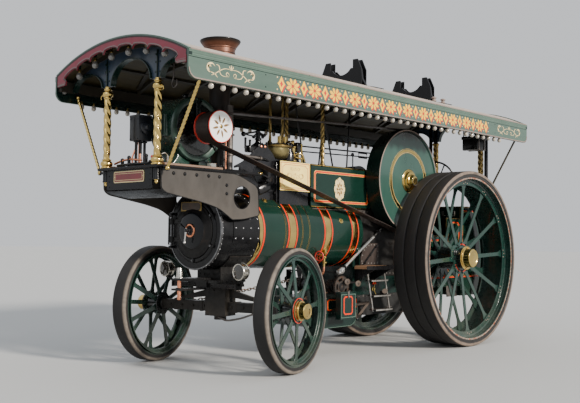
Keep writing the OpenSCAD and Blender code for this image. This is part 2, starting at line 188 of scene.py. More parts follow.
def ring(r0, r1, z0, z1, n=48, c=0.0):
    if c:
        return lathe([(r0, z0), (r1 - c, z0), (r1, z0 + c), (r1, z1 - c), (r1 - c, z1), (r0, z1), (r0, z0)], n)
    return lathe([(r0, z0), (r1, z0), (r1, z1), (r0, z1), (r0, z0)], n)


def torus(big, small, n=48, m=10, a0=0.0, a1=TAU):
    p = [(big + small * cos(TAU * i / m), small * sin(TAU * i / m)) for i in range(m)]
    return lathe(p + [p[0]], n, a0, a1)


def ball(r, n=16, m=8, squash=1.0):
    return lathe([(r * sin(pi * i / m), -r * squash * cos(pi * i / m)) for i in range(m + 1)], n)


def dome(r, h, n=10):
    return lathe([(0, -0.001), (r, -0.001), (r * 0.95, h * 0.35), (r * 0.7, h * 0.75), (0, h)], n)


def hexbolt(r, h, stud=True):
    v, f = lathe([(0, 0), (r, 0), (r, h * 0.85), (r * 0.9, h), (0, h)], 6)
    if stud:
        v2, f2 = lathe([(r * 0.55, h * 0.8), (r * 0.55, h * 1.45), (0, h * 1.5)], 10)
        f = f + [[i + len(v) for i in q] for q in f2]
        v = v + v2
    return v, f


def prism(outline, h, holes=()):
    """An outline in X and Y, extruded from Z = 0 to h."""
    def turned(p, want):
        area = sum(p[i][0] * p[(i + 1) % len(p)][1] - p[(i + 1) % len(p)][0] * p[i][1] for i in range(len(p)))
        return list(p) if (area > 0) == want else list(p)[::-1]
    loops = [turned(outline, True)] + [turned(q, False) for q in holes]
    flat = [p for q in loops for p in q]
    n = len(flat)
    verts = [(x, y, 0) for x, y in flat] + [(x, y, h) for x, y in flat]
    faces = []
    if holes:
        for t in tessellate_polygon([[Vector((x, y, 0)) for x, y in q] for q in loops]):
            a, b, c = t
            s = (flat[b][0] - flat[a][0]) * (flat[c][1] - flat[a][1]) - (flat[c][0] - flat[a][0]) * (flat[b][1] - flat[a][1])
            if abs(s) < 1e-14:
                continue
            if s < 0:
                b, c = c, b
            faces.append((a + n, b + n, c + n))
            faces.append((a, c, b))
    else:
        faces.append(list(range(n, 2 * n)))
        faces.append(list(range(n))[::-1])
    base = 0
    for q in loops:
        for i in range(len(q)):
            a, b = base + i, base + (i + 1) % len(q)
            faces.append((a, b, b + n, a + n))
        base += len(q)
    return verts, faces


def on_xz(y1):
    """Places a prism's outline in X and Z, its top at y1 - h."""
    return move(0, y1, 0) @ rx(pi / 2)


def on_yz(x0):
    """Places a prism's outline in Y and Z, growing from x0 towards +X."""
    return move(x0, 0, 0) @ Matrix(((0, 0, 1, 0), (1, 0, 0, 0), (0, 1, 0, 0), (0, 0, 0, 1)))


def tube(points, r, n=10, closed=False):
    """A round bar along a path. r is one radius or one for each point."""
    pts = [Vector(p) for p in points]
    k = len(pts)
    rr = r if isinstance(r, (list, tuple)) else [r] * k
    tang = []
    for i in range(k):
        a = pts[(i - 1) % k] if closed or i > 0 else pts[i]
        b = pts[(i + 1) % k] if closed or i < k - 1 else pts[i]
        tang.append((b - a).normalized())
    ref = Vector((0, 0, 1)) if abs(tang[0].z) < 0.9 else Vector((1, 0, 0))
    u = (ref - tang[0] * ref.dot(tang[0])).normalized()
    verts = []
    for i in range(k):
        u = (u - tang[i] * u.dot(tang[i])).normalized()
        w = tang[i].cross(u)
        for j in range(n):
            a = TAU * j / n
            verts.append(tuple(pts[i] + (u * cos(a) + w * sin(a)) * rr[i]))
    faces = []
    for i in range(k if closed else k - 1):
        for j in range(n):
            a, b = i * n + j, i * n + (j + 1) % n
            c, d = ((i + 1) % k) * n + (j + 1) % n, ((i + 1) % k) * n + j
            faces.append((a, b, c, d))
    if not closed:
        faces.append(list(range(n))[::-1])
        faces.append(list(range((k - 1) * n, k * n)))
    return verts, faces


def bend(points, radius, steps=5):
    """Rounds the corners of a path."""
    pts = [Vector(p) for p in points]
    out = [pts[0]]
    for i in range(1, len(pts) - 1):
        a, b, c = pts[i - 1], pts[i], pts[i + 1]
        d = min(radius, (a - b).length * 0.45, (c - b).length * 0.45)
        p, q = b + (a - b).normalized() * d, b + (c - b).normalized() * d
        for s in range(steps + 1):
            t = s / steps
            out.append(p * (1 - t) ** 2 + b * 2 * t * (1 - t) + q * t ** 2)
    out.append(pts[-1])
    return out


def rope(p, q, r, lobes=3, pitch=0.26, depth=0.34, n=24, step=0.008, hand=1, power=0.6, swell=None):
    """A twisted bar from p to q."""
    p, q = Vector(p), Vector(q)
    length = (q - p).length
    k = max(8, int(length / step))
    t = axis(p, q)
    verts = []
    for i in range(k + 1):
        z = length * i / k
        big = r * (swell(i / k) if swell else 1.0)
        for j in range(n):
            a = TAU * j / n
            ph = lobes / 2 * (a - hand * TAU * z / pitch)
            rad = big * (1 - depth + depth * abs(sin(ph)) ** power)
            verts.append(tuple(t @ Vector((rad * cos(a), rad * sin(a), z))))
    faces = []
    for i in range(k):
        for j in range(n):
            a, b = i * n + j, i * n + (j + 1) % n
            faces.append((a, b, b + n, a + n))
    faces.append(list(range(n))[::-1])
    faces.append(list(range(k * n, (k + 1) * n)))
    return verts, faces


def rounded(x0, x1, y0, y1, r, k=6):
    """A rectangle's outline with round corners."""
    pts = []
    for cx, cy, a in ((x1 - r, y1 - r, 0), (x0 + r, y1 - r, 90), (x0 + r, y0 + r, 180), (x1 - r, y0 + r, 270)):
        for i in range(k + 1):
            b = radians(a + 90 * i / k)
            pts.append((cx + r * cos(b), cy + r * sin(b)))
    return pts


def inset_frame(outer, inner, h):
    return prism(outer, h, [inner])


def stroke(points, widths, h):
    """A flat ribbon along a 2-D path with a width at each point, as a prism."""
    left, right = [], []
    k = len(points)
    for i in range(k):
        a, b = points[max(0, i - 1)], points[min(k - 1, i + 1)]
        dx, dy = b[0] - a[0], b[1] - a[1]
        l = math.hypot(dx, dy) or 1
        nx, ny = -dy / l, dx / l
        w = widths[i] / 2
        left.append((points[i][0] + nx * w, points[i][1] + ny * w))
        right.append((points[i][0] - nx * w, points[i][1] - ny * w))
    n = 2 * k
    flat = right + left[::-1]
    verts = [(x, y, 0) for x, y in flat] + [(x, y, h) for x, y in flat]
    faces = []
    for i in range(k - 1):
        a, b, c, d = i, i + 1, n - 2 - i, n - 1 - i
        faces.append((a + n, b + n, c + n, d + n))
        faces.append((d, c, b, a))
    for i in range(n):
        a, b = i, (i + 1) % n
        faces.append((a, b, b + n, a + n))
    return verts, faces


# ---------- materials ----------
class Nodes:
    def __init__(self, name):
        self.mat = bpy.data.materials.new(name)
        self.mat.use_nodes = True
        self.t = self.mat.node_tree
        self.p = self.t.nodes["Principled BSDF"]
        self.tc = self.t.nodes.new("ShaderNodeTexCoord")

    def put(self, socket, value):
        if hasattr(value, "is_linked") or isinstance(value, bpy.types.NodeSocket):
            self.t.links.new(value, socket)
        elif value is not None:
            if socket.type == "RGBA" and len(value) == 3:
                value = (*value, 1)
            socket.default_value = value

    def noise(self, scale, detail=5, rough=0.55, stretch=None, warp=0.0, where=None):
        n = self.t.nodes.new("ShaderNodeTexNoise")
        src = where or self.tc.outputs["Object"]
        if stretch:
            m = self.t.nodes.new("ShaderNodeMapping")
            m.inputs["Scale"].default_value = stretch
            self.t.links.new(src, m.inputs["Vector"])
            src = m.outputs["Vector"]
        self.t.links.new(src, n.inputs["Vector"])
        n.inputs["Scale"].default_value = scale
        n.inputs["Detail"].default_value = detail
        n.inputs["Roughness"].default_value = rough
        n.inputs["Distortion"].default_value = warp
        return n.outputs["Fac"]

    def rng(self, value, a, b, lo=0.0, hi=1.0, smooth=False):
        n = self.t.nodes.new("ShaderNodeMapRange")
        n.interpolation_type = "SMOOTHSTEP" if smooth else "LINEAR"
        n.clamp = True
        self.put(n.inputs["Value"], value)
        n.inputs["From Min"].default_value = a
        n.inputs["From Max"].default_value = b
        n.inputs["To Min"].default_value = lo
        n.inputs["To Max"].default_value = hi
        return n.outputs["Result"]

    def math(self, op, a, b=None):
        n = self.t.nodes.new("ShaderNodeMath")
        n.operation = op
        self.put(n.inputs[0], a)
        if b is not None:
            self.put(n.inputs[1], b)
        return n.outputs[0]

    def mix(self, fac, a, b):
        n = self.t.nodes.new("ShaderNodeMix")
        n.data_type = "RGBA"
        self.put(n.inputs[0], fac)
        self.put(n.inputs[6], a)
        self.put(n.inputs[7], b)
        return n.outputs[2]

    def xyz(self, what="Object"):
        n = self.t.nodes.new("ShaderNodeSeparateXYZ")
        self.t.links.new(self.tc.outputs[what], n.inputs[0])
        return n.outputs

    def bump(self, height, strength=0.3, distance=0.002):
        n = self.t.nodes.new("ShaderNodeBump")
        n.inputs["Strength"].default_value = strength
        n.inputs["Distance"].default_value = distance
        self.put(n.inputs["Height"], height)
        self.t.links.new(n.outputs["Normal"], self.p.inputs["Normal"])


def scaled(c, k):
    return tuple(min(1.0, x * k) for x in c)


def surface(name, color, rough=0.4, metal=0.0, coat=0.0, vary=0.18, vscale=2.5, rvar=0.1, bump=0.12, bscale=90.0,
            bdist=0.001, dust=None, low=None, specks=None, second=None, stretch=None, spec=0.5, ior=1.5):
    """A general finish. dust: (colour, amount) on faces that look up. low: (colour, amount, z0, z1) near the ground.
    specks: (colour, threshold, scale). second: (colour, threshold, scale) broad stains."""
    n = Nodes(name)
    if not metal and max(color) < 0.36:
        color = scaled(color, 0.62)
        second = second and (scaled(second[0], 0.62), *second[1:])
    col = n.mix(n.rng(n.noise(vscale, 6, 0.6, stretch), 0.3, 0.7), scaled(color, 1 - vary), scaled(color, 1 + vary))
    if second:
        f = n.rng(n.noise(second[2], 7, 0.65, stretch, 0.6), second[1], second[1] + 0.16, 0, 1, True)
        col = n.mix(n.math("MULTIPLY", f, second[3] if len(second) > 3 else 0.8), col, second[0])
    if dust:
        up = n.rng(n.xyz("Normal")[2], 0.35, 1.0)
        f = n.math("MULTIPLY", n.math("MULTIPLY", up, n.rng(n.noise(7, 6, 0.65), 0.3, 0.75)), dust[1])
        col = n.mix(f, col, dust[0])
    if low:
        f = n.math("MULTIPLY", n.math("MULTIPLY", n.rng(n.xyz()[2], low[3], low[2]), n.rng(n.noise(5, 7, 0.7), 0.3, 0.72)), low[1])
        col = n.mix(f, col, low[0])
    if specks:
        f = n.rng(n.noise(specks[2], 3, 0.5), specks[1], specks[1] + 0.04)
        col = n.mix(f, col, specks[0])
    n.put(n.p.inputs["Base Color"], col)
    n.put(n.p.inputs["Roughness"], n.rng(n.noise(vscale * 3.1, 6, 0.6, stretch), 0.3, 0.7, max(0.02, rough - rvar), min(1, rough + rvar)))
    n.p.inputs["Metallic"].default_value = metal
    n.p.inputs["Coat Weight"].default_value = coat
    n.p.inputs["Coat Roughness"].default_value = 0.06
    n.p.inputs["Specular IOR Level"].default_value = spec
    if bump:
        n.bump(n.noise(bscale, 4, 0.55, stretch), bump, bdist)
    n.mat.diffuse_color = (*color, 1)
    return n.mat


DUST = (0.20, 0.165, 0.125)
GREEN_C = (0.006, 0.030, 0.021)
GREEN = surface("paint_green", (0.0058, 0.0310, 0.0205), 0.20, coat=0.26, spec=0.25, vary=0.16, vscale=3, rvar=0.08, bump=0.05, bscale=140,
                dust=(DUST, 0.06), low=(DUST, 0.16, 0.2, 1.0))
GREEN_WHEEL = surface("paint_green_wheel", (0.010, 0.042, 0.032), 0.28, coat=0.25, spec=0.4, vary=0.22, vscale=6, rvar=0.1, bump=0.08,
                      bscale=120, dust=(DUST, 0.14), low=(DUST, 0.24, 0.05, 1.0))
GREEN_DARK = surface("paint_green_deep", (0.005, 0.022, 0.017), 0.3, coat=0.15, spec=0.3, vary=0.2, dust=(DUST, 0.2))
BLACK = surface("paint_black", (0.006, 0.006, 0.007), 0.30, coat=0.06, spec=0.26, vary=0.3, vscale=4, rvar=0.12, bump=0.12, bscale=110,
                dust=(DUST, 0.07), low=(DUST, 0.18, 0.1, 1.0))
BLACK_DIRTY = surface("paint_black_grimy", (0.009, 0.008, 0.0075), 0.46, coat=0.0, spec=0.26, vary=0.4, vscale=7, rvar=0.2, bump=0.3,
                      bscale=60, bdist=0.002, dust=(DUST, 0.16), low=(DUST, 0.28, 0.1, 0.9), second=((0.05, 0.032, 0.022), 0.55, 6, 0.5))
SOOT = surface("soot", (0.006, 0.006, 0.006), 0.85, vary=0.4, vscale=9, bump=0.5, bscale=70, bdist=0.003)
OILY = surface("cast_black_oily", (0.009, 0.009, 0.011), 0.26, coat=0.12, spec=0.4, vary=0.35, vscale=9, rvar=0.15, bump=0.35, bscale=75,
               bdist=0.002, second=((0.05, 0.035, 0.022), 0.58, 8, 0.6))
GREY = surface("paint_greybrown", (0.066, 0.058, 0.050), 0.44, coat=0.05, spec=0.35, vary=0.16, vscale=5, rvar=0.12, bump=0.15, bscale=70,
               second=((0.045, 0.035, 0.028), 0.56, 4.5, 0.55), stretch=(1.0, 1.0, 0.45), low=(DUST, 0.2, 1.4, 1.8))
SAGE = surface("paint_sage", (0.082, 0.145, 0.112), 0.40, coat=0.12, vary=0.10, vscale=2.2, rvar=0.08, bump=0.10, bscale=60,
               second=((0.060, 0.098, 0.078), 0.60, 3.0, 0.5), stretch=(0.6, 1.0, 2.2))
SAGE_TRIM = surface("paint_sage_trim", (0.100, 0.170, 0.130), 0.42, coat=0.1, vary=0.14, vscale=4, dust=(DUST, 0.4))
TAN_LINE = surface("paint_tan_line", (0.33, 0.245, 0.205), 0.5, vary=0.12, vscale=6, bump=0.1)
CRIMSON = surface("paint_crimson", (0.30, 0.024, 0.050), 0.42, coat=0.15, vary=0.14, vscale=5, bump=0.1, bscale=50)
LINING_GREY = surface("paint_grey_lining", (0.24, 0.23, 0.21), 0.5, vary=0.1, bump=0.0)
BLUE_GREY = surface("paint_blue_grey", (0.026, 0.048, 0.080), 0.36, coat=0.2, vary=0.16, vscale=5, bump=0.08)
ORANGE = surface("lining_orange", (0.60, 0.030, 0.002), 0.40, coat=0.05, spec=0.25, vary=0.10, vscale=9, bump=0.0)
GOLD_LINE = surface("lining_gold", (0.58, 0.36, 0.10), 0.4, coat=0.2, vary=0.15, vscale=9, bump=0.0)
STAR_BROWN = surface("lining_bronze", (0.26, 0.135, 0.035), 0.45, coat=0.1, vary=0.2, vscale=9, bump=0.0)
CREAM = surface("paint_cream", (0.62, 0.49, 0.25), 0.42, coat=0.1, vary=0.10, vscale=7, bump=0.05)
CREAM_BOARD = surface("board_cream", (0.93, 0.70, 0.21), 0.46, coat=0.06, vary=0.10, vscale=6, bump=0.06,
                      second=((0.50, 0.31, 0.12), 0.60, 7, 0.5))
SCROLL_RED = surface("paint_shade_red", (0.46, 0.022, 0.012), 0.42, vary=0.12, bump=0.0)
PLATE_RED = surface("plate_red", (0.26, 0.018, 0.022), 0.35, coat=0.3, vary=0.15, vscale=9, bump=0.08)
WHITE = surface("enamel_white", (0.90, 0.89, 0.86), 0.22, coat=0.5, vary=0.04, vscale=8, bump=0.03, rvar=0.05)
CORAL = surface("enamel_coral", (0.52, 0.035, 0.022), 0.26, coat=0.4, vary=0.1, vscale=7, bump=0.03)
DARK_RED = surface("paint_dark_red", (0.16, 0.016, 0.014), 0.36, coat=0.2, vary=0.2)
BROWN_BARREL = surface("pulley_leather_brown", (0.035, 0.018, 0.014), 0.55, vary=0.3, vscale=12, bump=0.3, bscale=90, stretch=(1, 0.3, 1))
BELT = surface("belt_leather", (0.032, 0.017, 0.012), 0.58, vary=0.3, vscale=10, bump=0.4, bscale=120, bdist=0.0015, rvar=0.15)
BRASS = surface("brass_polished", (0.63, 0.455, 0.150), 0.15, 1.0, vary=0.12, vscale=6, rvar=0.09, bump=0.05, bscale=80,
                second=((0.30, 0.19, 0.06), 0.62, 10, 0.5))
BRASS_DULL = surface("brass_dull", (0.30, 0.21, 0.075), 0.34, 1.0, vary=0.2, vscale=8, rvar=0.12, bump=0.08, second=((0.16, 0.10, 0.04), 0.5, 9, 0.6))
BRASS_OLIVE = surface("brass_olive", (0.20, 0.165, 0.070), 0.34, 0.8, vary=0.2, vscale=7, rvar=0.12, bump=0.06)
COPPER = surface("copper_pipe", (0.75, 0.30, 0.17), 0.28, 1.0, vary=0.2, vscale=7, rvar=0.1, bump=0.05, second=((0.20, 0.08, 0.04), 0.55, 8, 0.6))
STEEL = surface("steel_bright", (0.55, 0.54, 0.52), 0.26, 1.0, vary=0.1, vscale=8, rvar=0.12, bump=0.06, stretch=(0.3, 1, 1))
IRON = surface("iron_worn", (0.14, 0.125, 0.115), 0.48, 0.85, vary=0.25, vscale=10, rvar=0.15, bump=0.25, bscale=90, second=((0.16, 0.07, 0.03), 0.57, 9, 0.6))
CHAIN = surface("chain_iron", (0.060, 0.052, 0.046), 0.5, 0.8, vary=0.3, vscale=14, bump=0.3, second=((0.12, 0.05, 0.02), 0.5, 12, 0.7))
RUST_BROWN = surface("plate_brown", (0.085, 0.060, 0.044), 0.58, vary=0.25, vscale=7, bump=0.3, bscale=60, second=((0.13, 0.075, 0.045), 0.52, 6, 0.6))
NICKEL = surface("nickel_lamp", (0.55, 0.52, 0.46), 0.24, 1.0, vary=0.14, vscale=9, rvar=0.1, bump=0.05, second=((0.18, 0.15, 0.11), 0.55, 11, 0.6))
LENS = surface("lamp_lens", (0.16, 0.145, 0.11), 0.12, 0.0, coat=0.9, vary=0.2, vscale=12, rvar=0.04, bump=0.25, bscale=45, bdist=0.002)
BULB = surface("bulb_pearl", (0.40, 0.36, 0.30), 0.10, 0.0, coat=0.7, vary=0.12, vscale=30, rvar=0.05, bump=0.0)
BULB_BACK = surface("bulb_clear", (0.20, 0.19, 0.175), 0.12, 0.0, coat=0.8, vary=0.2, vscale=30, rvar=0.05, bump=0.0)
COAL = surface("coal", (0.012, 0.012, 0.013), 0.30, vary=0.5, vscale=18, rvar=0.2, bump=0.6, bscale=35, bdist=0.006)
RED_PAINT = surface("handle_red", (0.50, 0.035, 0.020), 0.35, coat=0.3, vary=0.12, bump=0.05)
DARK_WOOD = surface("wood_dark", (0.030, 0.024, 0.014), 0.5, vary=0.3, vscale=3, bump=0.25, bscale=30, stretch=(1.0, 6.0, 6.0))


def plank_mat(name, color, board=0.11, along="X", across="Y", rough=0.55, gap=0.05, dark=0.25):
    """Boards side by side, with a grain along them and dark joints."""
    n = Nodes(name)
    sep = n.xyz()
    pos = sep["XYZ".index(across)]
    fr = n.math("FRACT", n.math("MULTIPLY", pos, 1 / board))
    cell = n.math("FLOOR", n.math("MULTIPLY", pos, 1 / board))
    w = n.t.nodes.new("ShaderNodeTexWhiteNoise")
    w.noise_dimensions = "1D"
    n.put(w.inputs["W"], cell)
    stretch = [14.0, 14.0, 14.0]
    stretch["XYZ".index(along)] = 1.0
    grain = n.noise(3.0, 8, 0.65, tuple(stretch), 0.4)
    base = n.mix(n.rng(grain, 0.3, 0.7), scaled(color, 0.72), scaled(color, 1.25))
    base = n.mix(n.math("MULTIPLY", w.outputs["Value"], 0.45), base, scaled(color, 0.6))
    joint = n.math("ADD", n.rng(fr, gap, 0.0), n.rng(fr, 1 - gap, 1.0))
    col = n.mix(joint, base, scaled(color, dark))
    n.put(n.p.inputs["Base Color"], col)
    n.put(n.p.inputs["Roughness"], n.rng(grain, 0.3, 0.7, rough - 0.12, rough + 0.12))
    h = n.math("SUBTRACT", n.math("MULTIPLY", grain, 0.3), joint)
    n.bump(h, 0.5, 0.003)
    n.mat.diffuse_color = (*color, 1)
    return n.mat


CEILING = plank_mat("ceiling_boards", (0.052, 0.041, 0.017), 0.085, "X", "Y", 0.5, 0.05, 0.5)
PLANK = plank_mat("plank_worn", (0.19, 0.115, 0.078), 0.14, "X", "Y", 0.6, 0.03, 0.35)


def canvas_mat():
    n = Nodes("canopy_canvas")
    big = n.noise(1.4, 7, 0.62, None, 0.5)
    col = n.mix(n.rng(big, 0.32, 0.68), (0.25, 0.195, 0.150), (0.36, 0.290, 0.235))
    st = n.rng(n.noise(3.2, 8, 0.7, (0.5, 3.0, 1.0), 0.8), 0.55, 0.72, 0, 1, True)
    col = n.mix(n.math("MULTIPLY", st, 0.55), col, (0.20, 0.155, 0.12))
    fr = n.math("FRACT", n.math("MULTIPLY", n.math("ADD", n.xyz()[0], 3.02), 1 / 0.755))
    seam = n.math("ADD", n.rng(fr, 0.012, 0.0), n.rng(fr, 0.988, 1.0))
    col = n.mix(n.math("MULTIPLY", seam, 0.55), col, (0.17, 0.13, 0.10))
    n.put(n.p.inputs["Base Color"], col)
    n.put(n.p.inputs["Roughness"], n.rng(big, 0.3, 0.7, 0.58, 0.78))
    weave = n.t.nodes.new("ShaderNodeTexWave")
    weave.wave_type = "BANDS"
    weave.bands_direction = "X"
    weave.inputs["Scale"].default_value = 110
    n.t.links.new(n.tc.outputs["Object"], weave.inputs["Vector"])
    h = n.math("ADD", n.math("MULTIPLY", weave.outputs["Fac"], 0.12), n.math("ADD", n.noise(9, 5, 0.6), seam))
    n.bump(h, 0.35, 0.004)
    n.p.inputs["Sheen Weight"].default_value = 0.15
    return n.mat


CANVAS = canvas_mat()


def ring_attr(n, r):
    """Distance from the wheel's centre, stored with the mesh."""
    a = n.t.nodes.new("ShaderNodeAttribute")
    a.attribute_name = "radius"
    return a.outputs["Fac"]


def rubber_mat(name, r, tread=(0.0050, 0.0044, 0.0043), side=(0.150, 0.110, 0.083), band=0.036, brown=0.22):
    """Rubber: dark and dusty on the tread, tan with dried mud on its side faces."""
    n = Nodes(name)
    ny = n.math("ABSOLUTE", n.xyz("Normal")[1])
    on_side = n.rng(ny, 0.28, 0.55)
    mot = n.noise(5.5, 8, 0.68, None, 0.5)
    t = n.mix(n.rng(mot, 0.3, 0.72), scaled(tread, 0.7), scaled(tread, 1.5))
    up = n.rng(n.xyz("Normal")[2], 0.15, 0.95)
    t = n.mix(n.math("MULTIPLY", n.math("MULTIPLY", up, n.rng(n.noise(9, 8, 0.7), 0.3, 0.65)), brown), t, (0.040, 0.026, 0.019))
    s = n.mix(n.rng(n.noise(14, 8, 0.7), 0.3, 0.7), scaled(side, 0.62), scaled(side, 1.15))
    s = n.mix(n.rng(n.noise(4, 6, 0.6), 0.52, 0.66), s, scaled(side, 0.45))
    n.put(n.p.inputs["Base Color"], n.mix(on_side, t, n.mix(n.rng(n.math("ADD", ring_attr(n, r), n.math("MULTIPLY", n.noise(7, 6, 0.7), 0.020)), r - band + 0.004, r - band + 0.016), scaled(tread, 1.25), s)))
    n.put(n.p.inputs["Roughness"], n.rng(mot, 0.3, 0.7, 0.62, 0.86))
    n.bump(n.math("ADD", n.noise(60, 5, 0.6), n.noise(260, 2, 0.5)), 0.35, 0.002)
    n.mat.diffuse_color = (*tread, 1)
    return n.mat


RUBBER_REAR = rubber_mat("rubber_rear", REAR_R)
RUBBER_FRONT = rubber_mat("rubber_front", FRONT_R, side=(0.140, 0.115, 0.092), band=0.030, brown=0.14)


def chimney_mat():
    """Copper cap at the top over a sooty barrel, browned by heat."""
    n = Nodes("chimney_copper")
    z = n.xyz()[2]
    mot = n.noise(6, 8, 0.65, (1, 1, 0.5), 0.5)
    cop = n.mix(n.rng(mot, 0.3, 0.7), (0.085, 0.038, 0.025), (0.19, 0.085, 0.054))
    dark = n.mix(n.rng(mot, 0.3, 0.7), (0.012, 0.009, 0.008), (0.036, 0.024, 0.019))
    cap = n.rng(z, 3.075, 3.115)
    rim = n.rng(z, 3.235, 3.262)
    col = n.mix(cap, dark, cop)
    col = n.mix(rim, col, (0.030, 0.022, 0.018))
    n.put(n.p.inputs["Base Color"], col)
    n.put(n.p.inputs["Metallic"], n.math("MULTIPLY", cap, 0.75))
    n.put(n.p.inputs["Roughness"], n.rng(mot, 0.3, 0.7, 0.32, 0.55))
    n.bump(n.noise(50, 5, 0.6), 0.2, 0.001)
    return n.mat


CHIMNEY = chimney_mat()


def fly_mat():
    """Green disc, paler than the boiler's green, darkened across its top by a painted shadow of the canopy."""
    n = Nodes("flywheel_green_painted_shadow")
    z = n.xyz()[2]
    mot = n.noise(3.2, 7, 0.62, (1, 1, 0.6), 0.3)
    col = n.mix(n.rng(mot, 0.3, 0.7), (0.013, 0.045, 0.034), (0.021, 0.064, 0.049))
    # painted shadow: the canopy's shadow across the top of the disc, with a streaky edge; the mask named soot below is
    # this shade
    shadow_edge_streaks = n.noise(26, 6, 0.7, (1, 1, 0.12))
    soot = n.rng(n.math("ADD", z, n.math("MULTIPLY", shadow_edge_streaks, 0.16)), 2.545, 2.63, 0, 0.9, True)
    col = n.mix(soot, col, (0.010, 0.010, 0.010))
    n.put(n.p.inputs["Base Color"], col)
    n.put(n.p.inputs["Roughness"], n.rng(mot, 0.3, 0.7, 0.26, 0.40))
    n.p.inputs["Coat Weight"].default_value = 0.35
    n.p.inputs["Coat Roughness"].default_value = 0.1
    n.bump(n.noise(70, 4, 0.5), 0.05, 0.001)
    n.mat.diffuse_color = (0.03, 0.09, 0.07, 1)
    return n.mat


FLY_GREEN = fly_mat()


def band_mat():
    """Brass band."""
    return BRASS


def give(node, *mats):
    """A CAD node takes a better material."""
    me = NODES[node].data
    me.materials.clear()
    for m in mats:
        me.materials.append(m)


def bevelled(shape, offset, seg=1, angle=30):
    """A shape with its sharp edges rounded off."""
    me = bpy.data.meshes.new("tmp")
    me.from_pydata([tuple(p) for p in shape[0]], [], [list(f) for f in shape[1]])
    bm = bmesh.new()
    bm.from_mesh(me)
    edges = [e for e in bm.edges if len(e.link_faces) == 2 and e.calc_face_angle(0) > radians(angle)]
    bmesh.ops.bevel(bm, geom=edges, offset=offset, offset_type="OFFSET", segments=seg, profile=0.5,
                    affect="EDGES", clamp_overlap=True)
    bm.to_mesh(me)
    bm.free()
    out = ([tuple(v.co) for v in me.vertices], [list(p.vertices) for p in me.polygons])
    bpy.data.meshes.remove(me)
    return out


def rim_edge_mat():
    n = Nodes("rim_edge_worn")
    f = n.rng(n.noise(16, 4, 0.6), 0.47, 0.55)
    g = n.rng(n.noise(40, 4, 0.6), 0.45, 0.6)
    col = n.mix(f, (0.13, 0.085, 0.06), (0.22, 0.060, 0.024))
    col = n.mix(g, col, (0.25, 0.21, 0.17))
    n.put(n.p.inputs["Base Color"], col)
    n.p.inputs["Roughness"].default_value = 0.45
    n.bump(n.noise(80, 4, 0.6), 0.3, 0.001)
    return n.mat


RIM_EDGE = rim_edge_mat()
HUB_BLACK = surface("hub_black_green", (0.006, 0.010, 0.009), 0.28, coat=0.45, vary=0.3, vscale=8, rvar=0.1, bump=0.12, bscale=80,
                    dust=(DUST, 0.08), second=((0.03, 0.024, 0.018), 0.60, 10, 0.4))
WHEEL_MATS = [GREEN_WHEEL, ORANGE, BRASS, HUB_BLACK, RIM_EDGE, TAN_LINE]


